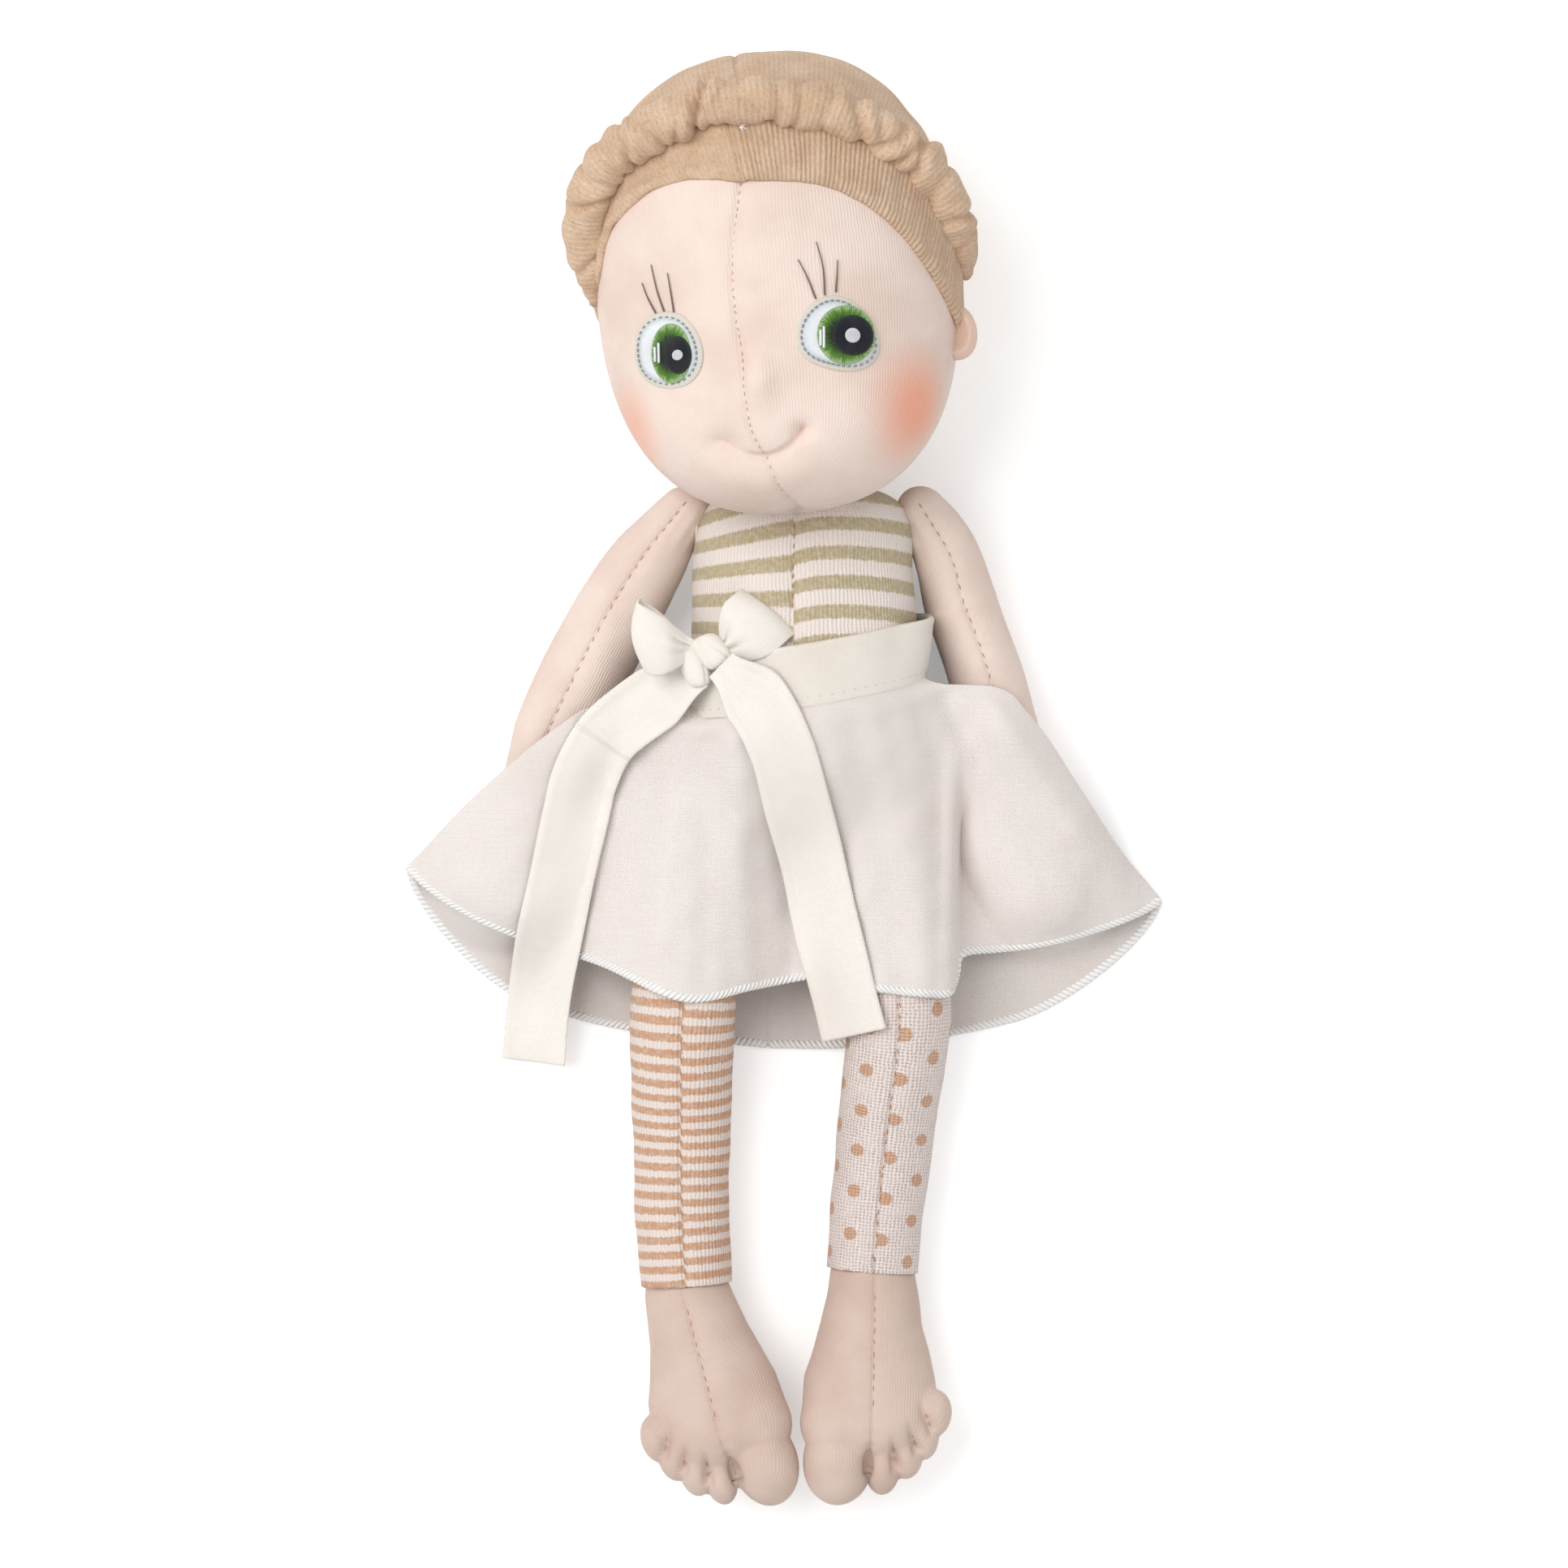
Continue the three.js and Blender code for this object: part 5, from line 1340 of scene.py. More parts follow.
    def make_ear(self, side: Side) -> bpy.types.Object:
        """Returns an ear: a soft cup with a rolled rim, open towards the face's front."""
        cols = 72
        share, angle = globe(60, cols)
        full = np.sqrt(np.maximum(0, 1 - share**2))
        form = self.form
        full_head = float(fullness(np.array(self.ear_up / form.half_length), form.power))
        x = 4.9 * full * np.cos(angle)
        y = 7.0 * share * (1 - 0.1 * np.maximum(0, -share))
        z = 2.6 * full * np.sin(angle)
        inner = np.sqrt(((x + 0.6) / 3.6) ** 2 + ((y - 0.4) / 5.0) ** 2)
        cup = z - 2.4 * bell(inner, 0.72) + 0.9 * bell(inner - 1.02, 0.24)
        z = np.where(np.sin(angle) > 0, cup, z)
        if side is Side.RIGHT:
            lean = math.radians(self.ear_back)
            out = np.array([-math.cos(lean), 0.0, -math.sin(lean)])
            along = np.array([math.sin(lean), 0.0, -math.cos(lean)])
            up = np.array([0.0, 1.0, 0.0])
            local = z[..., None] * 0.8 * out + y[..., None] * up + x[..., None] * along
            radius = (form.half_width * full_head - 0.6) * math.cos(lean)
            deep = form.middle - form.back * full_head * math.sin(lean)
            local += np.array([-radius, self.ear_up, deep])
        else:
            local = np.stack([x, y, z], axis=-1)
            local += np.array([form.half_width * full_head - 0.5, self.ear_up, self.ear_height])
        uv = cloth_map(np.linspace(0, 25, cols + 1)[None], share[:, :1] * 9)
        name = f"ear_{side.value}"
        skin = SkinJersey(f"ear_jersey_{side.value}", colour(236, 209, 192), colour(222, 190, 172))
        ear = Piece.closed(name, form.turned(local), uv)
        return dressed(ear, skin.material(), "skin_jersey", name, fill=0.8)

    def applique(
        self,
        name: str,
        centre: tuple[float, float],
        reach: Callable,
        levels: tuple[float, float, float],
    ) -> bpy.types.Object:
        """Makes a flat shape sewn on the face.

        Args:
            name: The object's name.
            centre: Its middle on the face.
            reach: Its half size at an angle.
            levels: How far its underside stands off the face, its thickness, and how much higher
                its middle is than its rim.

        Returns:
            The object.
        """
        base, thick, crown = levels
        turn = turns(96)
        rows = []
        for share in (0.001, *np.linspace(0.12, 0.9, 9), 0.955, 0.985, 1.0):
            rim = max(0, (share - 0.9) / 0.1) ** 2 * 0.45
            rows.append((share, base + thick * (1 - rim) + crown * (1 - share**2)))
        rows.append((1.012, base + thick * 0.2))
        rows += [(share, base - 0.35) for share in (1.0, 0.5, 0.001)]
        grid, uv = [], []
        for share, lift in rows:
            far = reach(turn) * share
            x, y = centre[0] + far * np.cos(turn), centre[1] + far * np.sin(turn)
            grid.append(self.form.on_face(x, y, lift))
            uv.append([(a * 7.0, share) for a in np.linspace(0, 2 * math.pi, 97)])
        return Piece.closed(name, self.form.turned(np.asarray(grid)), np.asarray(uv))

    def make_eye(self, side: Side) -> list[bpy.types.Object]:
        """Returns one eye's felt, satin, iris, pupil, light and stitches."""
        eye, label = EYES[side], side.value
        edge = polar(eye.outline, eye.middle)

        def oval(wide: float, tall: float) -> Callable:
            """Returns an oval's half size at an angle."""
            return lambda turn: 1 / np.sqrt((np.cos(turn) / wide) ** 2 + (np.sin(turn) / tall) ** 2)

        felt = Thread(f"felt_{label}", colour(222, 216, 205), colour(196, 190, 182), 0.9)
        white = colour(214, 218, 222), colour(229, 232, 235), colour(204, 210, 216)
        green = colour(26, 40, 24), colour(84, 132, 40), colour(160, 186, 132)
        black = colour(14, 14, 22), colour(20, 20, 32), colour(36, 48, 36)
        pale = colour(226, 228, 230), colour(222, 224, 228), colour(196, 204, 212)
        satin = Embroidery(f"white_satin_{label}", *white, 0.05, 0.4)
        iris = Embroidery(f"iris_floss_{label}", *green, 0.34, start=0.5, end=0.86)
        pupil = Embroidery(f"pupil_floss_{label}", *black, 0.24, 0.45)
        light = Embroidery(f"light_floss_{label}", *pale, 0.1)
        layers = (
            ("felt", eye.middle, edge, (0.0, 0.75, 0.15), felt),
            ("satin", eye.middle, lambda turn: edge(turn) - 1.5, (0.55, 0.5, 0.35), satin),
            ("iris", eye.iris, oval(*eye.iris_size), (1.05, 0.35, 0.35), iris),
            ("pupil", eye.pupil, oval(*eye.pupil_size), (1.45, 0.3, 0.25), pupil),
            ("light", eye.light, oval(eye.light_size, eye.light_size), (1.75, 0.3, 0.15), light),
        )
        pieces = []
        for name, centre, reach, levels, finish in layers:
            piece = self.applique(f"eye_{name}_{label}", centre, reach, levels)
            nodes = (f"eye_{label}",) if name == "felt" else ()
            pieces.append(dressed(piece, finish.material(), "eye_satin", *nodes))
        turn = turns(eye.stitches)
        far = edge(turn) - 1.15
        x, y = eye.middle[0] + far * np.cos(turn), eye.middle[1] + far * np.sin(turn)
        spots = self.form.on_face(x, y, 0.98)
        ups = spots - self.form.on_face(x, y)
        ways = np.stack([-np.sin(turn), np.cos(turn), 0 * turn], axis=1)
        middles = self.form.turned(spots)
        ways = self.form.turned(spots + ways) - middles
        sewn = Stitches.along(f"eye_stitches_{label}", middles, ways, ups, 1.05, 0.46)
        grey = Thread(f"grey_thread_{label}", colour(140, 158, 170), colour(104, 122, 136))
        pieces.append(dressed(sewn, grey.material(), "eye_satin"))
        threads = []
        t = np.linspace(0, 1, 12)
        for n, (x0, y0, x1, y1) in enumerate(eye.strokes):
            line = self.form.turned(self.form.on_face(x0 + (x1 - x0) * t, y0 + (y1 - y0) * t, 1.85))
            threads.append(Piece.tube(f"eye_stroke_{label}_{n}", line, 0.32))
        stroke = Piece.joined(f"eye_strokes_{label}", threads)
        floss = Thread(f"white_thread_{label}", colour(240, 242, 244), colour(214, 220, 226))
        return [*pieces, dressed(stroke, floss.material(), "eye_satin")]

    def make_lashes(self) -> bpy.types.Object:
        """Returns the lashes, three long stitches over each eye."""
        lines = (
            ((-28.9, -6.1), (-30.5, -2.2), (-31.5, 1.4)),
            ((-26.9, -6.0), (-28.1, -1.1), (-29.0, 5.3)),
            ((-24.6, -6.5), (-24.9, -2.3), (-25.3, 2.8)),
            ((8.6, -6.8), (7.1, -1.8), (5.3, 2.6)),
            ((10.8, -6.1), (10.9, 0.5), (9.9, 6.4)),
            ((13.4, -5.6), (14.0, -1.9), (14.5, 1.9)),
        )
        threads = []
        for n, line in enumerate(lines):
            flat = smooth_line(line, 16)
            points = self.form.turned(self.form.on_face(flat[:, 0], flat[:, 1], 0.35))
            threads.append(Piece.tube(f"lash_{n}", points, np.linspace(0.24, 0.12, 16)))
        brown = Thread("lash_thread", colour(132, 114, 104), colour(104, 88, 78)).material()
        return dressed(Piece.joined("lashes", threads), brown, "eye_satin")

    def make_seam_stitches(self) -> bpy.types.Object:
        """Returns the reddish stitches of the face's centre seam, with a short zigzag between the eyes."""
        line = smooth_line(self.seam, 400)
        run = run_along(line)
        spots = np.arange(8.5, run[-1] - 2, 1.9)
        spots = spots + np.random.default_rng(3).uniform(-0.25, 0.25, len(spots))
        x, y = picked(spots, run, line).T
        way = picked(spots + 0.5, run, line) - picked(spots - 0.5, run, line)
        zigzag = (y < 0) & (y > -14)
        slant = np.where(zigzag, np.where(np.arange(len(y)) % 2 == 0, 0.9, -0.9), 0.0)
        way = np.stack([way[:, 0] + slant * 0.8, way[:, 1], 0 * y], axis=1)
        relief = self.relief(x, y)
        middles = self.form.on_face(x, y, relief + 0.12)
        ups = middles - self.form.on_face(x, y, relief - 1)
        places = self.form.turned(middles)
        sewn = Stitches.along("face_seam_stitches", places, way, ups, 1.05, 0.18)
        thread = Thread("seam_thread_face", colour(198, 154, 140), colour(168, 122, 108))
        return dressed(sewn, thread.material(), "skin_jersey")

    def make_thread_tuft(self) -> bpy.types.Object:
        """Returns the short white thread ends at the roll's fold."""
        base = self.form.turned(np.array([-5.6, 34.6, 80.4]))
        threads = []
        for n, (dx, dy) in enumerate(self.thread_ends):
            t = np.linspace(0, 1, 9)[:, None]
            line = base + t * np.array([dx, dy, 0.1]) + np.sin(t * 3) * np.array([0.1, 0.2, 0.2])
            threads.append(Piece.tube(f"tuft_{n}", line, np.linspace(0.2, 0.13, 9), 6))
        white = Thread("tuft_thread", colour(244, 242, 238), colour(214, 210, 204)).material()
        return dressed(Piece.joined("roll_thread_tuft", threads), white, "hair_velour")

    def build(self) -> None:
        """Makes the whole head and lets it move with its body."""
        pieces = [self.make_face(), *self.make_hair(), self.make_roll()]
        for side in Side:
            pieces.append(self.make_ear(side))
            pieces.extend(self.make_eye(side))
        pieces += [self.make_lashes(), self.make_seam_stitches(), self.make_thread_tuft()]
        for piece in pieces:
            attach(piece, "head")
            LOG.info("head: %s, %d faces", piece.name, len(piece.data.polygons))


@dataclass(frozen=True)
class Curve:
    """A smooth curve through given points, whose pace follows their spacing."""

    points: Line
    pace: float = 0.5

    def at(self, share: np.ndarray) -> np.ndarray:
        """Returns points at shares from 0 to 1 of the curve's given points."""
        p = np.asarray(self.points, float)
        count = len(p)
        line = np.vstack([2 * p[0] - p[1], p, 2 * p[-1] - p[-2]])
        spot = np.clip(np.asarray(share, float), 0, 1) * (count - 1)
        i = np.minimum(np.floor(spot), count - 2).astype(int)
        w = (spot - i)[..., None]
        p0, p1, p2, p3 = line[i], line[i + 1], line[i + 2], line[i + 3]
        gaps = [((b - a) ** 2).sum(-1, keepdims=True) for a, b in ((p0, p1), (p1, p2), (p2, p3))]
        d0, d1, d2 = (gap**self.pace for gap in gaps)
        t1 = ((p1 - p0) / d0 - (p2 - p0) / (d0 + d1) + (p2 - p1) / d1) * d1
        t2 = ((p2 - p1) / d1 - (p3 - p1) / (d1 + d2) + (p3 - p2) / d2) * d1
        return p1 + t1 * w + (3 * (p2 - p1) - 2 * t1 - t2) * w**2 + (2 * (p1 - p2) + t1 + t2) * w**3

    def way(self, share: np.ndarray) -> np.ndarray:
        """Returns unit directions along the curve."""
        share = np.asarray(share, float)
        return unit(self.at(np.minimum(share + 1e-3, 1)) - self.at(np.maximum(share - 1e-3, 0)))

    def even(self, part: np.ndarray) -> np.ndarray:
        """Returns points at shares of the curve's length."""
        fine = self.at(np.linspace(0, 1, 600))
        run = run_along(fine)
        return picked(np.asarray(part) * run[-1], run, fine)


def draped(away: np.ndarray, fall: float) -> np.ndarray:
    """Returns the height of cloth over a round form, which leaves it where it gets steeper than a fall."""
    turn = fall / math.hypot(1, fall)
    return np.sqrt(1 - np.minimum(away, turn) ** 2) - np.maximum(0, away - turn) * fall


def seated(points: np.ndarray, balls: Sequence[tuple[Line, float]]) -> np.ndarray:
    """Returns points pushed out of the balls that sit in their surface."""
    points = np.array(points, float)
    for centre, radius in balls:
        way = points - np.asarray(centre, float)
        far = np.linalg.norm(way, axis=-1, keepdims=True)
        points = np.where(far < radius, np.asarray(centre) + way / np.maximum(far, 1e-6) * radius, points)
    return points


@dataclass
class Lobes:
    """A rounded form made of many balls, whose skin is found along rays."""

    body: np.ndarray
    body_sizes: np.ndarray
    lobes: np.ndarray
    lobe_sizes: np.ndarray
    heading: tuple[float, float]
    merge: float = 1.0

    def ball(self, points: np.ndarray, centre: np.ndarray, size: np.ndarray) -> np.ndarray:
        """Returns about how far points lie outside one ball."""
        hx, hy = self.heading
        d = points - centre
        across = (d[..., 0] * hy - d[..., 1] * hx) / size[0]
        along = (d[..., 0] * hx + d[..., 1] * hy) / size[1]
        up = d[..., 2] / size[2]
        return (np.sqrt(across**2 + along**2 + up**2) - 1) * float(min(size))

    def value(self, points: np.ndarray) -> np.ndarray:
        """Returns about how far points lie outside the whole form."""
        best = np.full(points.shape[:-1], 1e3)
        for centre, size in zip(self.body, self.body_sizes):
            best = np.minimum(best, self.ball(points, centre, size))
        toes = np.full(points.shape[:-1], 1e3)
        for centre, size in zip(self.lobes, self.lobe_sizes):
            toes = np.minimum(toes, self.ball(points, centre, size))
        mixed = np.clip(0.5 + 0.5 * (toes - best) / self.merge, 0, 1)
        return toes + (best - toes) * mixed - self.merge * mixed * (1 - mixed)

    def skin(self, origins: np.ndarray, ways: np.ndarray) -> np.ndarray:
        """Returns where rays from inside leave the form."""
        far = np.zeros(ways.shape[:-1])
        for _ in range(42):
            inside = self.value(origins + ways * far[..., None])
            far += np.clip(-inside, -0.4, 6.0)
        return origins + ways * far[..., None]


# Rings of a limb's flat end: how far out they lie, and how much farther along the cloth.
FLAT_RINGS = ((0.97, 0.4), (0.9, 1.2), (0.75, 3.0), (0.5, 6.0), (0.25, 9.0), (0.02, 11.0))
LIMB_ROUND = 11.0  # the radius that turns angles round a limb into lengths of its cloth


@dataclass
class LimbForm:
    """A limb: its line, and its half widths and thicknesses along it."""

    path: Line
    wide: Sequence[float]
    thick: Sequence[float]

    @property
    def curve(self) -> Curve:
        """The limb's middle line."""
        return Curve(self.path, 0.5)

    def size(self, values: Sequence[float], share: np.ndarray) -> np.ndarray:
        """Returns a half size at shares of the limb."""
        return np.interp(share, np.linspace(0, 1, len(values)), values)

    def cover(self, x: np.ndarray, y: np.ndarray, clear: float, fall: float) -> np.ndarray:
        """Returns the height of cloth laid over the limb."""
        best = np.zeros(np.shape(x))
        for share in np.linspace(0, 1, 33):
            middle = self.curve.at(share)
            radius = float(self.size(self.wide, share)) + clear
            top = float(self.size(self.thick, share)) + clear
            away = np.hypot(x - middle[0], y - middle[1]) / radius
            best = np.maximum(best, middle[2] + top * draped(away, fall))
        return best

    def frame(self, share: np.ndarray) -> tuple[np.ndarray, ...]:
        """Returns middles, directions along, to the side and up at shares of the limb."""
        middle, along = self.curve.at(share), self.curve.way(share)
        side = unit(np.stack([-along[..., 1], along[..., 0], 0 * along[..., 0]], axis=-1))
        return middle, along, side, np.cross(along, side)

    def rings(
        self, rows: int, cap: int, cols: int, reach: float = 1.0, flat_end: bool = False
    ) -> tuple[np.ndarray, ...]:
        """Lays rays for the limb's skin: a cap, rings along it, and a cap or a flat end.

        Args:
            rows: Rings along the limb.
            cap: Rings of a cap.
            cols: Points round a ring.
            reach: The share of the limb where the end cap starts.
            flat_end: Whether it ends flat.

        Returns:
            The rays' origins and directions, each row's share and length along the limb, and the angles.
        """
        share = np.linspace(0, reach, rows)
        middle, along, side, up = self.frame(share)
        angle = turns(cols) + math.pi / cols
        ring = np.cos(angle)[None, :, None] * side[:, None] + np.sin(angle)[None, :, None] * up[:, None]
        run = run_along(middle)
        lean = np.linspace(0, math.pi / 2, cap, endpoint=False)[:, None, None]
        start = -along[0] * np.cos(lean) + ring[:1] * np.sin(lean)
        parts = [start, ring]
        origins = [np.broadcast_to(middle[0], start.shape), np.broadcast_to(middle[:, None], ring.shape)]
        shares = [np.zeros(cap), share]
        runs = [-self.wide[0] * (math.pi / 2 - lean[:, 0, 0]), run]
        if not flat_end:
            end = along[-1] * np.cos(lean[::-1]) + ring[-1:] * np.sin(lean[::-1])
            parts.append(end)
            origins.append(np.broadcast_to(middle[-1], end.shape))
            shares.append(np.full(cap, reach))
            runs.append(run[-1] + self.wide[-1] * (math.pi / 2 - lean[::-1, 0, 0]))
        joined = (np.concatenate(found) for found in (origins, parts, shares, runs))
        return (*joined, angle)


@dataclass
class Limb:
    """One arm, leg or foot: a stuffed form with a front seam."""

    name: str
    body: str
    form: LimbForm
    nodes: tuple[str, ...]
    slot: str
    heading: tuple[float, float] = (0.0, -1.0)
    lobes: Line = ()
    lobe_sizes: Line = ()
    merge: float = 1.1
    reach: float = 1.0
    flat_end: bool = False
    seam_lean: float = 0.0
    seam_half: float = 0.0
    seats: tuple = ()
    gathers: float = 0.0
    swell: float = 0.15
    sew_from: int = 44
    grooves: tuple = ()

    def skin(self, cols: int = 176) -> tuple[np.ndarray, ...]:
        """Returns the limb's rows of points with their shares, lengths and angles."""
        rows = max(60, int(110 * self.reach))
        origins, ways, share, run, angle = self.form.rings(rows, 40, cols, self.reach, self.flat_end)
        at = np.linspace(0, 1, 46)
        wide, thick = self.form.size(self.form.wide, at), self.form.size(self.form.thick, at)
        if self.flat_end or not self.lobes:
            w, t = (np.interp(share, at, size)[:, None, None] for size in (wide, thick))
            _, along, side, up = self.form.frame(share)
            ring_part = (ways * side[:, None]).sum(-1, keepdims=True) * w * side[:, None]
            ring_part = ring_part + (ways * up[:, None]).sum(-1, keepdims=True) * t * up[:, None]
            points = origins + ring_part + (ways * along[:, None]).sum(-1, keepdims=True) * w * along[:, None]
        else:
            sizes = np.stack([wide, np.minimum(wide, thick), thick], axis=1)
            lobes, lobe_sizes = np.asarray(self.lobes, float), np.asarray(self.lobe_sizes, float)
            shape = Lobes(self.form.curve.at(at), sizes, lobes, lobe_sizes, self.heading, self.merge)
            points = shape.skin(origins, ways)
        if self.flat_end:
            middle = self.form.curve.at(np.array([1.0]))[0]
            out, past = np.array(FLAT_RINGS).T
            points = np.concatenate([points, middle + (points[-1] - middle) * out[:, None, None]])
            share = np.concatenate([share, np.ones(len(out))])
            run = np.concatenate([run, run[-1] + past])
        return points, share, run, angle

    def relief(self, points: np.ndarray, run: np.ndarray, angle: np.ndarray) -> np.ndarray:
        """Returns how far the skin stands out or is drawn in."""
        away = (angle[None] - (math.pi / 2 + self.seam_lean) + math.pi) % (2 * math.pi) - math.pi
        arc = np.abs(away) * LIMB_ROUND
        facing = smooth(run, -6.0, 2.0)[:, None]
        drawn = (-0.5 * bell(arc, 0.55) - 0.45 * bell(arc, 2.2)) * facing
        x, y, z = points[..., 0], points[..., 1], points[..., 2]
        uneven = self.swell * ripple(x, y, z, 17.0, len(self.name) * 7 + int(abs(self.form.path[0][0])))
        pucker = 0.12 * np.sin(run[:, None] * 2.1 + 2 * ripple(x, y, z, 9.0, 4)) * bell(arc, 3.0) * facing
        gathered = np.sin(angle * 13)[None] + 0.6 * np.sin(angle * 7 + 1)[None]
        start = self.gathers * bell(run - 3.0, 5.0)[:, None] * gathered
        for line in self.grooves:
            near, along, _ = from_line(x, y, np.asarray(line))
            deep = 1.05 * bell(near, 0.75) + 0.5 * bell(near, 1.9)
            start = start - deep * smooth(z, 6.0, 10.0) * smooth(along, 9.0, 3.0)
        return drawn + uneven + pucker + start

    def build(self, finish: object, thread: Thread | None = None) -> bpy.types.Object:
        """Makes the limb.

        Args:
            finish: The skin's finish.
            thread: The seam's thread, if its stitches show.

        Returns:
            The limb's object.
        """
        points, share, run, angle = self.skin()
        normal = grid_normals(points, True)
        outward = points - self.form.curve.at(share)[:, None]
        normal *= np.sign((normal * outward).sum(-1).mean())
        offset = self.relief(points, run, angle)
        if self.flat_end:
            offset[-len(FLAT_RINGS) :] = 0
        points = points + normal * offset[..., None]
        points = seated(points, self.seats)
        points[..., 2] = np.maximum(points[..., 2], 0.05 + 0.02 * np.sin(points[..., 0]))
        around = np.append(angle, angle[0] + 2 * math.pi)
        half = np.where((around > math.pi / 2) & (around < 3 * math.pi / 2), self.seam_half, 0.0)
        uv = cloth_map((around * LIMB_ROUND)[None], run[:, None] + half[None])
        limb = Piece.closed(self.name, points, uv)
        dressed(limb, finish.material(), self.slot, *self.nodes, fill=0.85)
        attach(limb, self.body)
        LOG.info("%s: %d faces", self.name, len(limb.data.polygons))
        if thread:
            self.sew(points, angle, thread)
        return limb

    def sew(self, points: np.ndarray, angle: np.ndarray, thread: Thread) -> None:
        """Lays the stitches that show in the front seam."""
        column = int(np.argmin(np.abs(angle - math.pi / 2 - self.seam_lean)))
        last = len(points) - (len(FLAT_RINGS) if self.flat_end else 26)
        line = points[self.sew_from : last, column]
        run = run_along(line)
        spots = np.arange(1.5, run[-1] - 1, 2.9)
        spots = spots + np.random.default_rng(5).uniform(-0.4, 0.4, len(spots))
        middles = picked(spots, run, line)
        ways = picked(spots + 0.5, run, line) - picked(spots - 0.5, run, line)
        ways[:, 0] += np.random.default_rng(6).uniform(-0.35, 0.35, len(spots))
        middles[:, 2] += 0.12
        sewn = Stitches.along(f"{self.name}_stitches", middles, ways, upward(len(spots)), 1.5, 0.26)
        dressed(sewn, thread.material(), self.slot)
        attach(sewn, self.body)


@dataclass
class Limbs:
    """The arms with their tabs, the legs and the feet."""

    shoulder: float = 6.9
    hip: float = 12.3
    ankle: float = 10.7
    arm_paths: dict = field(default_factory=lambda: {
        Side.RIGHT: (
            (-24.4, 66.8, 18.6), (-32.9, 55.5, 15.8), (-41.8, 41, 11.4), (-49.4, 26.5, 10.9),
            (-56.4, 12, 10.6), (-61.6, -3, 8.6), (-64.5, -12, 8.2),
        ),
        Side.LEFT: (
            (33.6, 66.8, 18.6), (40.0, 56, 15.8), (43.6, 44, 11.4), (48.7, 30, 10.6), (53.2, 14, 10.4),
            (58, -3, 8.6), (60.8, -13, 8.2),
        ),
    })
    shoulders: dict = field(default_factory=lambda: {
        Side.RIGHT: (-26.9, 62.0, 18.0),
        Side.LEFT: (35.1, 62.0, 18.0),
    })
    arm_headings: dict = field(default_factory=lambda: {Side.RIGHT: (-0.37, -0.93), Side.LEFT: (0.28, -0.96)})
    leg_paths: dict = field(default_factory=lambda: {
        Side.RIGHT: (
            (-19.5, -8, 14.6), (-22.6, -32, 15.0), (-24.8, -56, 15.2), (-25.2, -87, 11.6),
            (-25, -107, 11.0), (-24, -123, 10.9),
        ),
        Side.LEFT: (
            (22.8, -8, 14.6), (26.4, -32, 15.0), (28.0, -56, 15.2), (24.8, -87, 11.6),
            (22.9, -105, 11.0), (21.8, -119.5, 10.9),
        ),
    })
    ankles: dict = field(default_factory=lambda: {
        Side.RIGHT: (-23.6, -126.5, 11.4),
        Side.LEFT: (21.7, -123.0, 11.4),
    })
    foot_headings: dict = field(default_factory=lambda: {
        Side.RIGHT: (0.26, -0.965),
        Side.LEFT: (-0.02, -1.0),
    })
    arm_wide: dict = field(default_factory=lambda: {
        Side.RIGHT: (6.1, 9.3, 10.7, 10.9, 10.6, 8.8, 9.8),
        Side.LEFT: (6.1, 8.2, 9.2, 9.0, 9.5, 8.5, 9.8),
    })
    arm_thick: tuple = (6.1, 8.8, 10.6, 10.9, 10.6, 8.6, 7.6)
    leg_wide: tuple = (12.3, 12.7, 12.9, 12, 11.5, 11.3)
    foot_wide: tuple = (10.7, 12.6, 16.2, 16.8)
    foot_thick: tuple = (10.7, 11.9, 11.4, 10.4)
    toes: Line = (
        (8, 43.5, 8.3, 10.4, 8.6), (-3.4, 43.8, 4.3, 7, 5.6), (-9, 40.4, 4.2, 6.6, 5.4),
        (-13.2, 36, 4.1, 6.2, 5.2), (-16, 30.8, 4, 6, 5),
    )
    toe_rise: float = 7.5
    ball: tuple = (8.1, 9.6, 8.2)
    finger: tuple = (2.9, 4.6, 4.6)
    thumb: tuple = (3.4, 5.6, 4.2)
    tab_lean: float = 42.0
    tab_flat: tuple[float, float] = (0.0105, 0.0105)
    tab_area: float = 0.0000866

    @staticmethod
    def beside(
        origin: Line, heading: tuple[float, float], reach: float, side: float, rise: float = 0.0
    ) -> tuple[float, ...]:
        """Returns a point beside a limb's end, from its heading."""
        hx, hy = heading
        return origin[0] + hx * reach - hy * side, origin[1] + hy * reach + hx * side, origin[2] + rise

    def leg(self, side: Side) -> LimbForm:
        """Returns a leg's form."""
        return LimbForm(self.leg_paths[side], self.leg_wide, self.leg_wide)

    def covered_arm(self, side: Side) -> LimbForm:
        """Returns the arm's form up to its fingertips, as wide as the cloth over it takes it."""
        path = self.arm_paths[side]
        tips = self.beside(path[-1], self.arm_headings[side], 9.2 + 2.3, 0)
        wide = (*self.arm_wide[side][:-2], 12, 15, 11)
        return LimbForm((*path, tips), wide, (*self.arm_thick, self.arm_thick[-1]))

    def arm_seats(self, side: Side) -> list[tuple]:
        """Returns the balls in which the arm's sewn end is pressed into the body."""
        arm = LimbForm(self.arm_paths[side], self.arm_wide[side], self.arm_thick)
        shares = np.linspace(0, 0.24, 7)
        return [(tuple(arm.curve.at(share)), float(arm.size(arm.wide, share)) - 0.1) for share in shares]

    @staticmethod
    def stuffed(kind: str, side: Side, form: LimbForm, slot: str, **settings: object) -> Limb:
        """Returns one stuffed limb, which takes the place of its two panels and its filling."""
        name = f"{kind}_{side.value}"
        nodes = tuple(f"{kind}_{part}_{side.value}" for part in ("outer_panel", "inner_panel", "filling"))
        return Limb(name, name, form, nodes, slot, **settings)

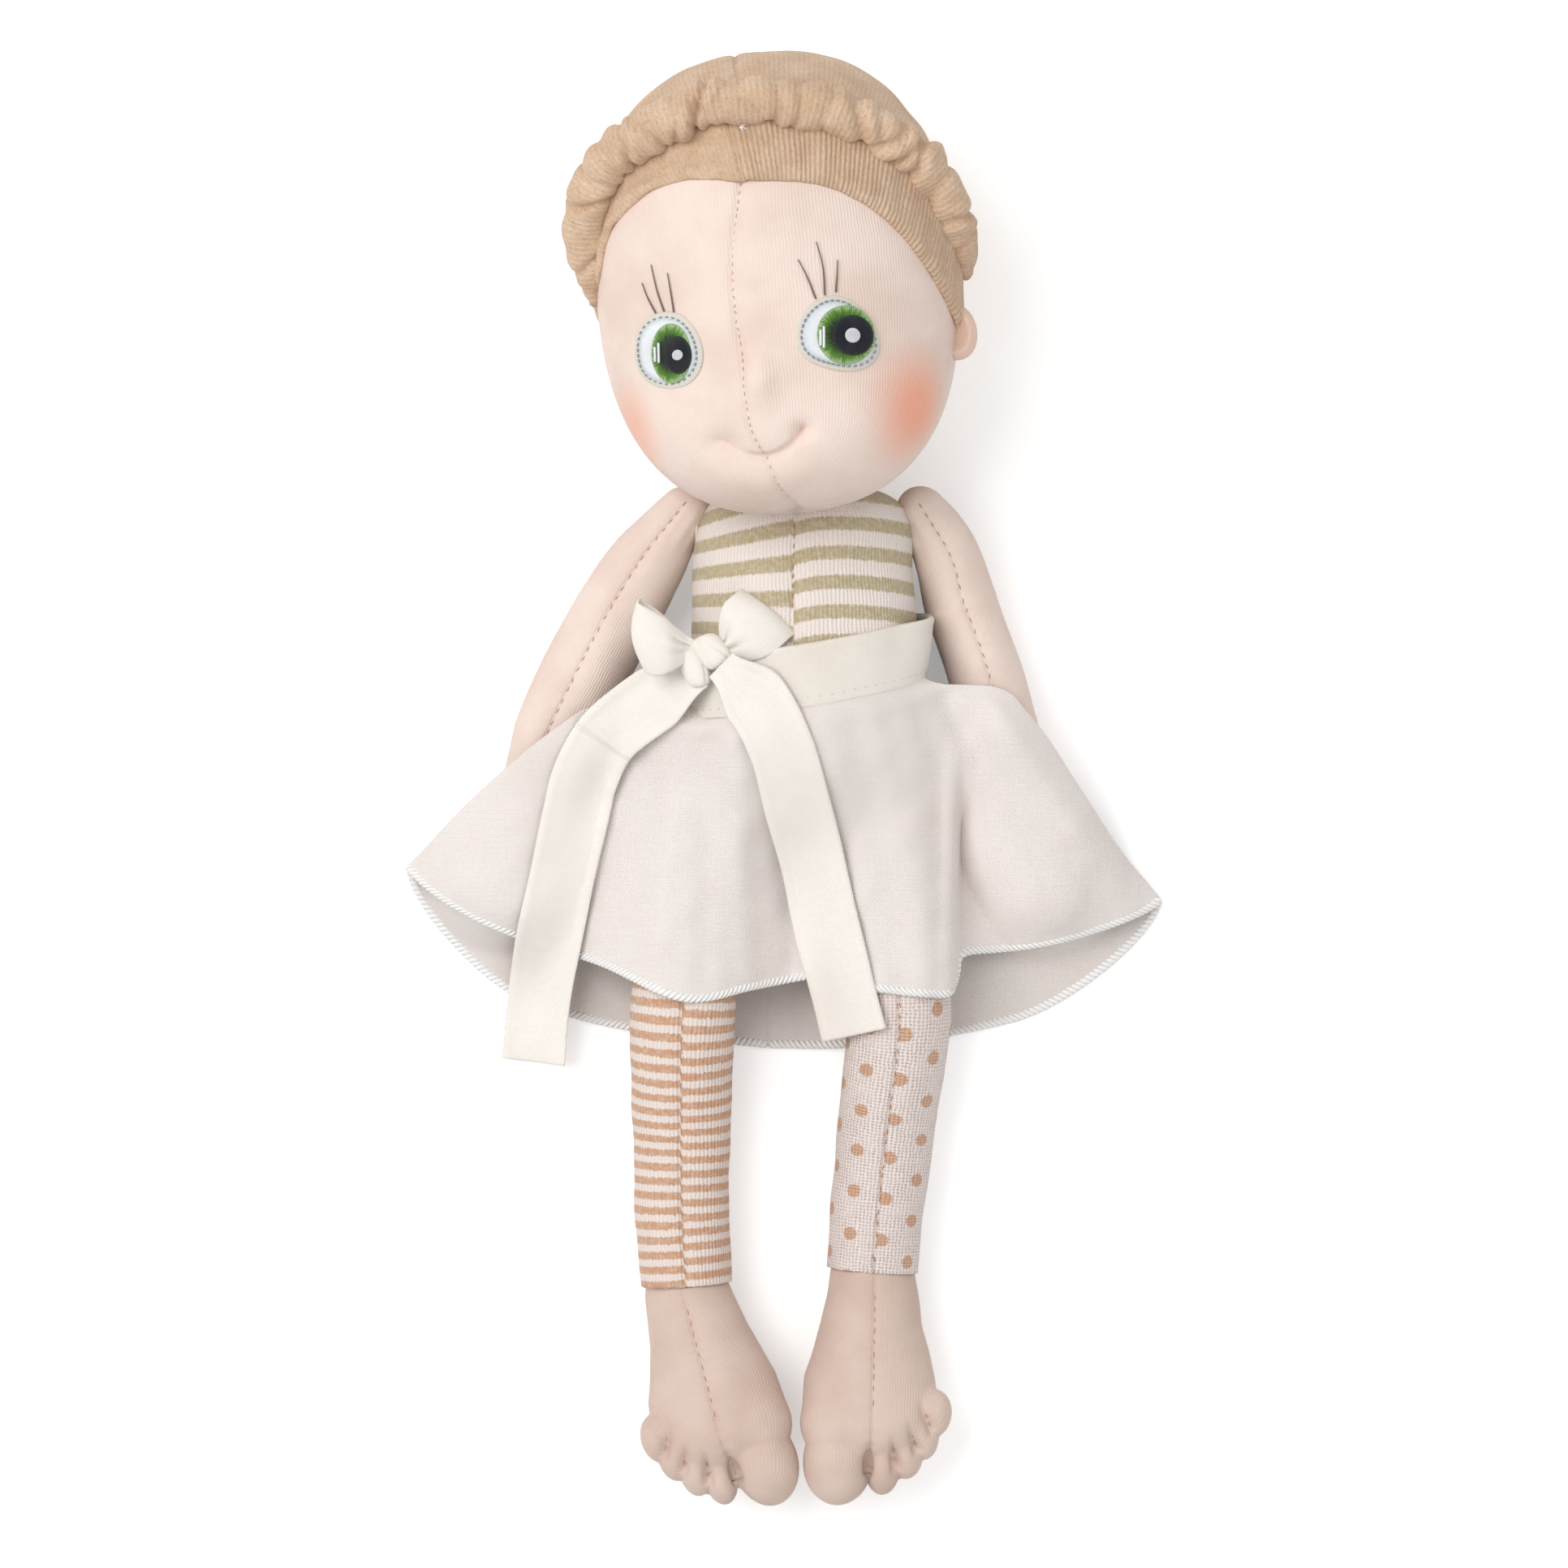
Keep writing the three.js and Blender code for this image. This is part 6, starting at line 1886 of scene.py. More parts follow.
    def make_arm(self, side: Side) -> None:
        """Makes an arm with its hand."""
        path, heading, label = self.arm_paths[side], self.arm_headings[side], side.value
        ends = [self.beside(path[-1], heading, 9.2 - 0.5 * abs(n), n * 4.5) for n in (-1.5, -0.5, 0.5, 1.5)]
        sizes = [self.finger for _ in ends]
        ends.append(self.beside(path[-1], heading, 2, -side.sign * 10.6, 1))
        sizes.append(self.thumb)
        form = LimbForm(path, self.arm_wide[side], self.arm_thick)
        lean = 0.15 if side is Side.RIGHT else -0.05
        arm = self.stuffed(
            "arm", side, form, "skin_jersey", heading=heading, lobes=tuple(ends), lobe_sizes=tuple(sizes),
            merge=0.9, seam_lean=lean, gathers=0.1, swell=0.3, sew_from=22,
        )
        thread = Thread(f"seam_thread_arm_{label}", colour(200, 158, 142), colour(170, 124, 108))
        arm.build(SkinJersey(f"arm_jersey_{label}", knit=Knit(0.7, 0.55, 0.14)), thread)

    def make_tab(self, side: Side) -> None:
        """Makes the tab that an arm is sewn on by."""
        label, centre, cols = side.value, np.array(self.shoulders[side]), 72
        lean, turn = np.linspace(0, math.radians(self.tab_lean), 26)[:, None], turns(cols)[None]
        ways = -side.sign * np.cos(lean), np.sin(lean) * np.cos(turn), np.sin(lean) * np.sin(turn)
        ways = np.stack(np.broadcast_arrays(*ways), axis=-1)
        over, under = centre + ways * (self.shoulder + 0.7), centre + ways[::-1] * (self.shoulder + 0.1)
        grid = np.concatenate([over, under])
        uv = cloth_map(np.linspace(0, 40, cols + 1)[None], np.linspace(0, 12, len(grid))[:, None])
        tab = Piece.closed(f"arm_tab_{label}", grid, uv)
        dressed(tab, SkinJersey(f"tab_jersey_{label}").material(), "skin_jersey", f"arm_tab_{label}")
        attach(tab, f"arm_tab_{label}")

    def make_leg(self, side: Side) -> None:
        """Makes a leg in its knitted jersey."""
        striped, seats = side is Side.RIGHT, ((self.ankles[side], self.ankle + 0.25),)
        slot, half = ("striped_leg_knit", 1.8) if striped else ("dotted_leg_knit", 6.2)
        leg = self.stuffed(
            "leg", side, self.leg(side), slot, flat_end=True, seam_half=half, seats=seats, swell=0.22
        )
        if striped:
            tones = colour(204, 156, 122), colour(238, 224, 216)
            finish = StripedKnit("leg_stripes", *tones, 3.63, 0.52, 0.4, Knit(1.0, 0.75, 0.25))
            thread = Thread("seam_thread_leg_right", colour(206, 160, 132), colour(170, 122, 96))
        else:
            finish = DottedKnit("leg_dots", start=(16.0, 0.2))
            thread = Thread("seam_thread_leg_left", colour(178, 138, 118), colour(146, 104, 86))
        leg.build(finish, thread)

    def make_foot(self, side: Side) -> None:
        """Makes a foot with its five toes and the stitches between them."""
        label, heading, rise = side.value, self.foot_headings[side], self.toe_rise

        def spot(reach: float, across: float, height: float = 0.0) -> tuple[float, ...]:
            """Returns a point of the foot, from its ankle and the foot's inner side."""
            return self.beside(self.ankles[side], heading, reach, -side.sign * across, height)

        path = tuple(spot(reach, 0, height) for reach, height in ((0, 0), (12, 0.8), (24, 3), (33, 6)))
        ends = (*[spot(toe[1], toe[0], rise) for toe in self.toes], spot(34.0, 8.6, rise))
        sizes = (*[toe[2:] for toe in self.toes], self.ball)
        grooves, middles, ways = [], [], []
        for (s0, r0, w0, *_), (s1, r1, w1, *_) in zip(self.toes[:-1], self.toes[1:]):
            share = w0 / (w0 + w1)
            across, reach = s0 + (s1 - s0) * share, r0 + (r1 - r0) * share
            way = np.array([across * 0.55 + 0.5, 18.0])
            way /= np.linalg.norm(way)
            grooves.append([spot(reach + far * way[1], across + far * way[0]) for far in (1.5, -8.0)])
            for n, back in enumerate((0.5, 2.6)):
                at, end = (
                    spot(reach - far * way[1], across - far * way[0], rise + height + 0.5 * n)
                    for far, height in ((back, 4.0), (back - 1, 3.8))
                )
                middles.append(at)
                ways.append(np.array(end) - at)
        form = LimbForm(path, self.foot_wide, self.foot_thick)
        foot = self.stuffed(
            "foot", side, form, "skin_jersey", heading=heading, lobes=ends, lobe_sizes=sizes, merge=1.2,
            reach=0.7, seam_lean=-0.05 * side.sign, swell=0.22, grooves=tuple(grooves),
        )
        # The feet take a darker copy of the skin's jersey: painted shade.
        tones = colour(216, 195, 183), colour(203, 179, 166)
        thread = Thread(f"seam_thread_foot_{label}", colour(204, 160, 144), colour(172, 126, 110))
        foot.build(SkinJersey(f"foot_jersey_{label}", *tones, knit=Knit(0.62, 0.5, 0.12)), thread)
        middles, ways = np.asarray(middles), np.asarray(ways)
        sewn = Stitches.along(f"toe_stitches_{label}", middles, ways, upward(len(middles)), 1.6, 0.26)
        thread = Thread(f"toe_thread_{label}", colour(196, 150, 132), colour(160, 112, 96))
        dressed(sewn, thread.material(), "skin_jersey")
        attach(sewn, f"foot_{label}")

    def build(self) -> None:
        """Makes all the limbs."""
        for side in Side:
            self.make_arm(side)
            self.make_tab(side)
            self.make_leg(side)
            self.make_foot(side)


@dataclass
class TorsoForm:
    """The stuffed body's form round its bent middle line."""

    spine: Line = ((2.5, 1.0), (5.0, 38.0), (3.0, 73.0))
    half_length: float = 36.0
    up: float = 38.0
    half_width: float = 27.6
    narrowing: float = 1.6
    depth: float = 40.0
    power: float = 4.2
    lift: float = 2.8

    def section(self, share: np.ndarray, grow: float) -> tuple[np.ndarray, ...]:
        """Returns the section's middle x, y and z, half width, and depths to the front and back."""
        share = np.asarray(share, float)
        middle = Curve(self.spine, 0.25).even((share + 1) / 2)
        full = fullness(share, self.power)
        lift = self.lift * (1 - smooth(middle[..., 1], 42, 54))
        y = middle[..., 1] + grow * (middle[..., 1] - self.up) / self.half_length
        wide = (self.half_width - self.narrowing * np.maximum(0, share) + grow) * full
        half = self.depth / 2
        ahead, behind = (half - lift / 4 + grow) * full, (half - lift / 2 + grow) * full
        return middle[..., 0], y, half - PRESS + lift / 2, wide, ahead, behind

    def height(self, x: np.ndarray, y: np.ndarray, grow: float, front: bool) -> np.ndarray:
        """Returns the height of the front or the back over a place, or a far one beside the torso."""
        share = np.clip((y - self.up) / (self.half_length + grow), -1, 1)
        cx, _, cz, wide, ahead, behind = self.section(share, grow)
        away = np.abs(x - cx) / np.maximum(wide, 1e-6)
        level = np.sqrt(np.clip(1 - away**2, 0, 1))
        found = cz + ahead * level if front else cz - behind * level
        return np.where(away < 1, found, -400.0 if front else 400.0)

    def points(self, share: np.ndarray, angle: np.ndarray, grow: float) -> np.ndarray:
        """Returns points at places along the torso and angles round it."""
        cx, cy, cz, wide, ahead, behind = self.section(share, grow)
        depth = np.where(np.sin(angle) > 0, ahead, behind)
        x, z = cx + wide * np.cos(angle), np.maximum(cz + depth * np.sin(angle), 0.0)
        return np.stack(np.broadcast_arrays(x, cy, z), axis=-1)


@dataclass
class Torso:
    """The striped body and the neck."""

    limbs: Limbs
    form: TorsoForm = field(default_factory=TorsoForm)
    neck: tuple[float, float, float] = (2.0, 76.0, 22.0)
    neck_radius: float = 13.0
    seam: float = 2.3
    corner: float = 3.6

    def make_body(self) -> bpy.types.Object:
        """Returns the stuffed body with its centre seam."""
        share, angle = globe(190, 300)
        grid = self.form.points(share, angle, 0.0)
        grid[..., 0] += self.corner * smooth(grid[..., 0], 4, 21) * smooth(grid[..., 1], 50, 69)
        x, y, z = grid[..., 0], grid[..., 1], grid[..., 2]
        facing = smooth(np.sin(angle), 0.05, 0.3)
        line = x - self.seam - 0.5 * (y - 56) / 20
        drawn = (-0.6 * bell(line, 0.6) - 0.7 * bell(line, 3.0)) * facing
        neck = np.hypot(x - self.neck[0], z - self.neck[2])
        gather = 0.35 * np.sin(np.arctan2(z - self.neck[2], x - self.neck[0]) * 16)
        pucker = gather * smooth(y, 62, 71) * bell(neck - 14, 8)
        lift = drawn + pucker + 0.25 * ripple(x, y, z, 19.0, 9)
        grid = grid + unit(grid - np.array([5.0, 38.0, 20.0])) * lift[..., None]
        balls = [(self.neck, self.neck_radius + 0.3)]
        for side in Side:
            balls += self.limbs.arm_seats(side)
            balls.append((self.limbs.leg_paths[side][0], self.limbs.hip + 0.6))
        grid = seated(grid, balls)
        grid[..., 2] = np.maximum(grid[..., 2], 0.1)
        uv = cloth_map(np.append(angle[0], 2 * math.pi)[None] * 25.0, share[:, :1] * 36.0)
        body = Piece.closed("torso", grid, uv)
        tones = colour(184, 170, 133), colour(240, 230, 223)
        knit = Knit(0.95, 0.8, 0.25)
        finish = TorsoStripes("torso_stripes", *tones, 7.13, 0.47, 41.7, knit, seam=self.seam)
        nodes = "torso_front_right_panel", "torso_front_left_panel", "torso_back_panel", "torso_filling"
        return dressed(body, finish.material(), "striped_jersey", *nodes, fill=0.85)

    def make_neck(self) -> None:
        """Makes the short neck, a ball drawn in with gathers."""
        rows, cols = 70, 120
        share, angle = np.broadcast_arrays(np.linspace(0, math.pi, rows)[:, None], turns(cols)[None])
        gather = 0.12 * np.sin(angle * 18) * np.sin(share) ** 2
        radius = self.neck_radius - 0.1 + gather - 0.1
        x, z = np.sin(share) * np.cos(angle), np.sin(share) * np.sin(angle)
        grid = np.array(self.neck) + radius[..., None] * np.stack([x, -np.cos(share), z], axis=-1)
        uv = cloth_map(np.linspace(0, 80, cols + 1)[None], share[:, :1] * 13)
        neck = Piece.closed("neck_ball", grid, uv)
        dressed(neck, SkinJersey("neck_jersey").material(), "skin_jersey", "neck", fill=0.9)
        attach(neck, "neck")

    def make_stitches(self) -> bpy.types.Object:
        """Returns the reddish stitches of the centre seam."""
        y = np.arange(43.0, 64.5, 2.4)
        x = self.seam + 0.5 * (y - 56) / 20
        z = self.form.height(x, y, 0.0, True) - 0.85
        middles = np.stack([x, y, z], axis=1)
        ways = np.tile([0.1, 1.0, 0.0], (len(y), 1))
        sewn = Stitches.along("torso_seam_stitches", middles, ways, upward(len(y)), 1.5, 0.25)
        thread = Thread("seam_thread_torso", colour(190, 140, 122), colour(158, 108, 92))
        return dressed(sewn, thread.material(), "striped_jersey")

    def build(self) -> None:
        """Makes the body and the neck."""
        self.make_neck()
        for piece in (self.make_body(), self.make_stitches()):
            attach(piece, "torso")
            LOG.info("torso: %s, %d faces", piece.name, len(piece.data.polygons))


@dataclass
class HeightMap:
    """Heights over the floor, kept on an even raster."""

    low: tuple[float, float] = (-104.0, -76.0)
    high: tuple[float, float] = (104.0, 60.0)
    step: float = 0.5
    values: np.ndarray | None = None

    def places(self) -> tuple[np.ndarray, np.ndarray]:
        """Returns the raster's X and Y."""
        x = np.arange(self.low[0], self.high[0] + self.step / 2, self.step)
        y = np.arange(self.low[1], self.high[1] + self.step / 2, self.step)
        return np.meshgrid(x, y)

    def like(self, values: np.ndarray) -> "HeightMap":
        """Returns a map of the same raster with other heights."""
        return HeightMap(self.low, self.high, self.step, values)

    def spread(self, reach: float, peak: bool) -> np.ndarray:
        """Returns the heights averaged, or their highest, within a reach."""
        n = max(1, int(round(reach / self.step)))
        found = self.values
        for axis in (0, 1):
            padded = np.pad(found, [(n, n) if k == axis else (0, 0) for k in (0, 1)], mode="edge")
            size = found.shape[axis]
            layers = [np.take(padded, np.arange(size) + k, axis=axis) for k in range(2 * n + 1)]
            found = np.maximum.reduce(layers) if peak else sum(layers) / len(layers)
        return found

    def at(self, x: np.ndarray, y: np.ndarray) -> np.ndarray:
        """Returns the heights over places."""
        u = np.clip((x - self.low[0]) / self.step, 0, self.values.shape[1] - 1.001)
        v = np.clip((y - self.low[1]) / self.step, 0, self.values.shape[0] - 1.001)
        i, j = v.astype(int), u.astype(int)
        du, dv = u - j, v - i
        h = self.values
        low = h[i, j] * (1 - du) + h[i, j + 1] * du
        high = h[i + 1, j] * (1 - du) + h[i + 1, j + 1] * du
        return low * (1 - dv) + high * dv


@dataclass
class Dress:
    """The wrap skirt, its waistband, and the sash with its bow."""

    limbs: Limbs
    torso: TorsoForm = field(default_factory=TorsoForm)
    band_height: float = 14.7
    band_place: float = 29.0
    band_slope: float = 9.0
    band_tilt: float = 8.0
    sash_width: float = 15.4
    cloth: float = 0.7
    knot: tuple[float, float] = (-18.1, 31.4)
    loops: dict = field(default_factory=lambda: {
        Side.RIGHT: (
            ((-21.4, 34.4), (-25.3, 37.0), (-29.4, 40.1), (-35.2, 43.4)),
            ((-22.0, 31.0), (-26.1, 28.1), (-30.0, 26.4), (-33.2, 27.0)),
        ),
        Side.LEFT: (
            ((-15.4, 34.4), (-15.4, 39.2), (-14.2, 43.4), (-10.5, 46.6)),
            ((-15.0, 32.0), (-9.4, 29.9), (-3.5, 31.4), (2.4, 36.4)),
        ),
    })
    sides: dict = field(default_factory=lambda: {
        Side.RIGHT: ((-33.5, 27, 0), (-52.6, 15.5, 0), (-73, -0.6, 0), (-93.4, -20.9, 0)),
        Side.LEFT: (
            (40, 28.5, 0), (45, 29.7, 0), (51, 27.2, 0), (57.9, 18.9, 0), (63.8, 12, 0), (71.7, 0.2, 0),
            (81.6, -14.6, 0), (93.4, -29, 0),
        ),
    })
    front_hems: dict = field(default_factory=lambda: {
        Side.RIGHT: (
            (8.6, -47, 0), (-8, -50, 0), (-23, -52.5, 0), (-45.6, -44, 0), (-77, -35, 0),
            (-93.4, -20.9, 0),
        ),
        Side.LEFT: (
            (8.6, -47, 0), (22, -50, 0), (35, -51.4, 0), (40.6, -51.2, 0), (42.6, -47, 0),
            (43.8, -42.4, 0), (52, -41.2, 0), (67, -40, 0), (84, -36, 0), (93.4, -29, 0),
        ),
    })
    back_hems: dict = field(default_factory=lambda: {
        Side.RIGHT: (
            (-4, -65, 0), (-33.5, -61.5, 0), (-54, -57, 0), (-74, -49, 0), (-88, -37, 0),
            (-93.4, -20.9, 0),
        ),
        Side.LEFT: ((-4, -65, 0), (14, -65, 0), (41, -62, 0), (71, -54, 0), (86, -44.5, 0), (93.4, -29, 0)),
    })
    tails: dict = field(default_factory=lambda: {
        Side.RIGHT: (
            (-20.5, 27, 0), (-33, 19.6, 0), (-43.5, 11, 0), (-48.6, 1.5, 0), (-51, -8, 0),
            (-55.5, -28, 0), (-60, -50, 0), (-62, -68.5, 0),
        ),
        Side.LEFT: (
            (-15.0, 28.5, 0), (-6.6, 20, 0), (-0.8, 9, 0), (3.4, -6, 0), (6.7, -18, 0), (10.4, -35, 0),
            (14.5, -51, 0), (17.0, -61, 0),
        ),
    })
    creases: tuple = (
        (((-12.5, 18.0), (-11.5, 6.0), (-10.4, -24.6), (-9.0, -46.0)), 1.5, 3.4),
        (((-17.5, 18.0), (-18.5, 2.0), (-19.0, -24.0), (-19.5, -50.0)), -0.9, 3.2),
        (((-24.0, 19.0), (-27.0, 4.0), (-29.5, -20.0), (-31.0, -50.0)), 0.9, 3.6),
        (((-30.0, 19.0), (-38.0, 2.0), (-50.0, -18.0), (-60.0, -36.0)), 0.9, 4.6),
        (((-3.0, 20.0), (-1.5, 4.0), (0.5, -22.0), (2.0, -47.0)), -0.9, 3.4),
        (((15.0, 20.0), (20.0, 2.0), (24.5, -22.0), (28.0, -50.0)), -1.2, 4.6),
        (((9.0, 20.0), (11.5, 2.0), (14.0, -22.0), (16.5, -48.0)), 0.9, 3.6),
        (((25.0, 22.0), (31.0, 6.0), (34.0, -18.0), (35.0, -50.0)), 0.8, 3.8),
        (((37.0, 24.0), (48.0, 8.0), (60.0, -12.0), (74.0, -38.0)), -0.8, 4.4),
        (((42.0, 25.0), (56.0, 10.0), (70.0, -8.0), (84.0, -30.0)), 0.9, 4.2),
    )

    def __post_init__(self) -> None:
        """Works out the heights of the cloth's layers."""
        base = HeightMap()
        x, y = base.places()
        arms = [self.limbs.covered_arm(side) for side in Side]
        legs = [self.limbs.leg(side) for side in Side]
        over_arm = np.maximum.reduce([arm.cover(x, y, CLOTH_CLEAR, BACK_FALL) for arm in arms])
        back = np.maximum(SKIRT_LIFT, np.minimum(self.torso.height(x, y, CLOTH_CLEAR, False), over_arm))
        self.back = base.like(np.maximum(base.like(back).spread(1.5, False), back - 0.4))
        belly = self.over_belly(x, y)
        covers = [limb.cover(x, y, CLOTH_CLEAR, FRONT_FALL) for limb in (*legs, *arms)]
        front = np.maximum.reduce([back + LAYER_STEP, belly, *covers])
        soft = base.like(base.like(front).spread(6.5, False)).spread(4.5, False)
        front = base.like(np.maximum(soft, front - 0.6)).spread(2.5, False) + self.folds(x, y)
        front = self.turned_edge(x, y, front, self.back.values + 1.3)
        self.front = base.like(np.maximum(front, self.back.values + 1.1))
        covers = [leg.cover(x, y, 0.4, FRONT_FALL) for leg in legs]
        low = np.maximum.reduce([belly, *covers, np.full_like(x, SKIRT_LIFT)])
        inside = self.within(x, y)
        under = np.where(inside, np.maximum(low, self.front.values), low)
        peak = base.like(base.like(under).spread(2.0, True)).spread(2.0, False)
        self.over = base.like(np.maximum(peak, under + 0.35))

    def within(self, x: np.ndarray, y: np.ndarray) -> np.ndarray:
        """Returns where the skirt's front lies."""
        halves = (Side.RIGHT, np.linspace(1, 0, 60)), (Side.LEFT, np.linspace(0, 1, 60))
        hem = np.vstack([Curve(self.front_hems[side], 0.25).even(share) for side, share in halves])
        return y > np.interp(x, hem[:, 0], hem[:, 1])

    def over_belly(self, x: np.ndarray, y: np.ndarray) -> np.ndarray:
        """Returns the height of cloth over the belly, which fades out below it."""
        share = np.clip((y - self.torso.up) / self.torso.half_length, -0.6, 1)
        cx, _, cz, wide, ahead, _ = self.torso.section(share, CLOTH_CLEAR)
        height = cz + ahead * draped(np.abs(x - cx) / np.maximum(wide, 1e-3), FRONT_FALL)
        return height * smooth(y, -50, 16)

    def folds(self, x: np.ndarray, y: np.ndarray) -> np.ndarray:
        """Returns the soft folds and swells of the skirt's front."""
        total = 0.45 * ripple(x, y, 0.0, 30.0, 14) + 0.2 * ripple(x, y, 0.0, 11.0, 15)
        for line, height, width in self.creases:
            away, _, _ = from_line(x, y, smooth_line(line, 24))
            total = total + height * bell(away, width)
        fan = (x - 4) / (1 + 0.018 * (25 - y))
        waist = smooth(y, -14, 18) * (0.18 * np.sin(fan * 0.9 + 0.6) + 0.22 * np.sin(fan * 0.47 + 2.0))
        return (total + waist) * smooth(y, 27, 18)

    def turned_edge(self, x: np.ndarray, y: np.ndarray, front: np.ndarray, low: np.ndarray) -> np.ndarray:
        """Returns the front's heights with its crisp fold edge, beyond which the cloth lies lower."""
        edge = 41.6 + 0.02 * (y + 20)
        share = smooth(x - edge, -0.6, 1.9) * smooth(y, 14, -16)
        lower = np.maximum(low, front - 9.0 * smooth(y, 16, -22))
        ridge = 0.8 * bell(x - edge + 1.6, 1.7) * smooth(y, 16, -4)
        beyond = np.clip(1 - (x - edge - 2) / 26.0, 0, 1)
        return front + ridge + (lower - front) * share * beyond

    @staticmethod
    def outward(angle: np.ndarray) -> np.ndarray:
        """Returns directions straight out from the waist."""
        return np.stack([np.cos(angle), 0 * angle, np.sin(angle)], axis=-1)

    def band_edge(self, angle: np.ndarray, drop: float, grow: float) -> np.ndarray:
        """Returns points round the waist, along a line parallel to the waistband.

        Args:
            angle: Angles round the torso from its left side.
            drop: How far the line runs below the band's middle.
            grow: How far it runs outside the torso.

        Returns:
            The points.
        """
        y = self.band_place - drop
        share = (y - self.torso.up) / self.torso.half_length
        cx, _, cz, wide, ahead, behind = self.torso.section(share, grow)
        x = cx + wide * np.cos(angle)
        z = cz + np.where(np.sin(angle) > 0, ahead, behind) * np.sin(angle)
        rise = (x - self.torso.spine[1][0]) * math.tan(math.radians(self.band_slope))
        lean = (z - self.torso.depth / 2 + PRESS) * math.tan(math.radians(self.band_tilt))
        return np.stack([x, y + rise - lean, z], axis=-1)

    def panel(self, side: Side, front: bool, across: int, down: int) -> np.ndarray:
        """Returns the middle of one panel of the skirt, row by row from its waist."""
        hem = Curve((self.front_hems if front else self.back_hems)[side], 0.25)
        edge = Curve(self.sides[side], 0.25)
        s, t = np.linspace(0, 1, across)[None], np.linspace(0, 1, down)[:, None]
        start_x = 2.5 if front else -4.0
        start = math.asin((start_x - self.torso.spine[1][0]) / self.torso.half_width)
        swing = start + (side.sign * math.pi * 0.9 / 2 - start) * s[0]
        angle = math.pi / 2 - swing if front else -math.pi / 2 + swing
        top = self.band_edge(angle, self.band_height / 2 + 0.35, 1.6)
        top[:, 1] += 0.5 * np.maximum(0, edge.points[0][1] - top[:, 1]) * smooth(s[0], 0.6, 1)
        low = hem.even(s[0])
        bow = smooth(s, 0.55, 1) * smooth(t, 0, 0.25)
        beyond = edge.even(t[:, 0])
        x = top[None, :, 0] + (low[None, :, 0] - top[None, :, 0]) * t
        y = top[None, :, 1] + (low[None, :, 1] - top[None, :, 1]) * t
        x = x + (beyond[:, None, 0] - x) * bow + side.sign * GAP * (1 - s) / 2
        y = y + (beyond[:, None, 1] - y) * bow
        level = (self.front if front else self.back).at(x, y)
        if front:
            together = smooth(s, 0.8, 1) * smooth(t, 0.05, 0.3)
            level = level + (self.back.at(x, y) + 1.3 - level) * together
        else:
            level = level + 0.25 * (1 + ripple(x, y, 0.0, 22.0, 17)) * smooth(t, 0.1, 0.4)
        start_z = np.maximum(top[:, 2], SKIRT_LIFT)[None]
        z = start_z + (level - start_z) * smooth(t, 0, 0.1)
        return np.stack([x, y, z], axis=-1)

    @staticmethod
    def area(grid: np.ndarray) -> float:
        """Returns the area of a grid's cloth in square metres."""
        a, b = grid[1:, 1:] - grid[:-1, :-1], grid[1:, :-1] - grid[:-1, 1:]
        return float(np.linalg.norm(np.cross(a, b), axis=-1).sum() / 2) * 1e-6

    def hang(self, obj: bpy.types.Object, front: bool) -> None:
        """Lets a back piece follow the body, and bakes a front piece's place into its mesh."""
        if not front:
            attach(obj, "torso")
            return
        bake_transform(obj)

    def make_skirt(self) -> None:
        """Makes the four panels and their overlocked hems."""
        for side in Side:
            for front in (True, False):
                name = f"skirt_{'front' if front else 'back'}_{side.value}"
                grid = self.panel(side, front, 170, 120)
                panel = Piece.shell(name, grid, self.cloth, grid[..., :2].copy())
                # The back panels take darker tones of the same cotton: painted shade, as they lie under the
                # front.
                tones = () if front else (colour(227, 219, 215), colour(221, 211, 204))
                cotton = Cotton(f"{name}_cotton", *tones)
                dressed(panel, cotton.material(), "cream_cotton", name)
                hem = self.make_hem(f"{name}_hem", grid)
                for piece in (panel, hem):
                    self.hang(piece, front)
                fall = run_along(grid[:, 0])[-1]
                LOG.info("%s: %d faces, %.0f mm long", name, len(panel.data.polygons), fall)

    def make_hem(self, name: str, grid: np.ndarray) -> bpy.types.Object:
        """Returns the overlocked edge of a panel: thread wrapped over the raw edge."""
        run = run_along(grid[-1])
        at = np.linspace(0, run[-1], int(run[-1] / 0.34))
        line, inner = picked(at, run, grid[-1]), picked(at, run, grid[-4])
        inward = unit(inner - line)
        way = unit(np.gradient(line, axis=0))
        up = unit(np.cross(way, inward))
        up *= np.sign(up[:, 2:] + 1e-9)
        angle = turns(12)
        fold = np.abs(angle / (2 * math.pi) * 5 - 2.5)
        loops = 1 + 0.08 * np.sin((at[:, None] + 0.7 * fold[None]) * 2 * math.pi / 1.35)
        out, rise = 0.55 + 1.1 * np.cos(angle)[None] * loops, 0.66 * np.sin(angle)[None] * loops
        ring = line[:, None] + inward[:, None] * out[..., None] + up[:, None] * rise[..., None]
        ring[0], ring[-1] = ring[0].mean(axis=0), ring[-1].mean(axis=0)
        uv = cloth_map(np.linspace(0, 5, len(angle) + 1)[None], at[:, None])
        hem = Piece.closed(name, ring, uv)
        return dressed(hem, Overlock(f"{name}_thread").material(), "cream_cotton")

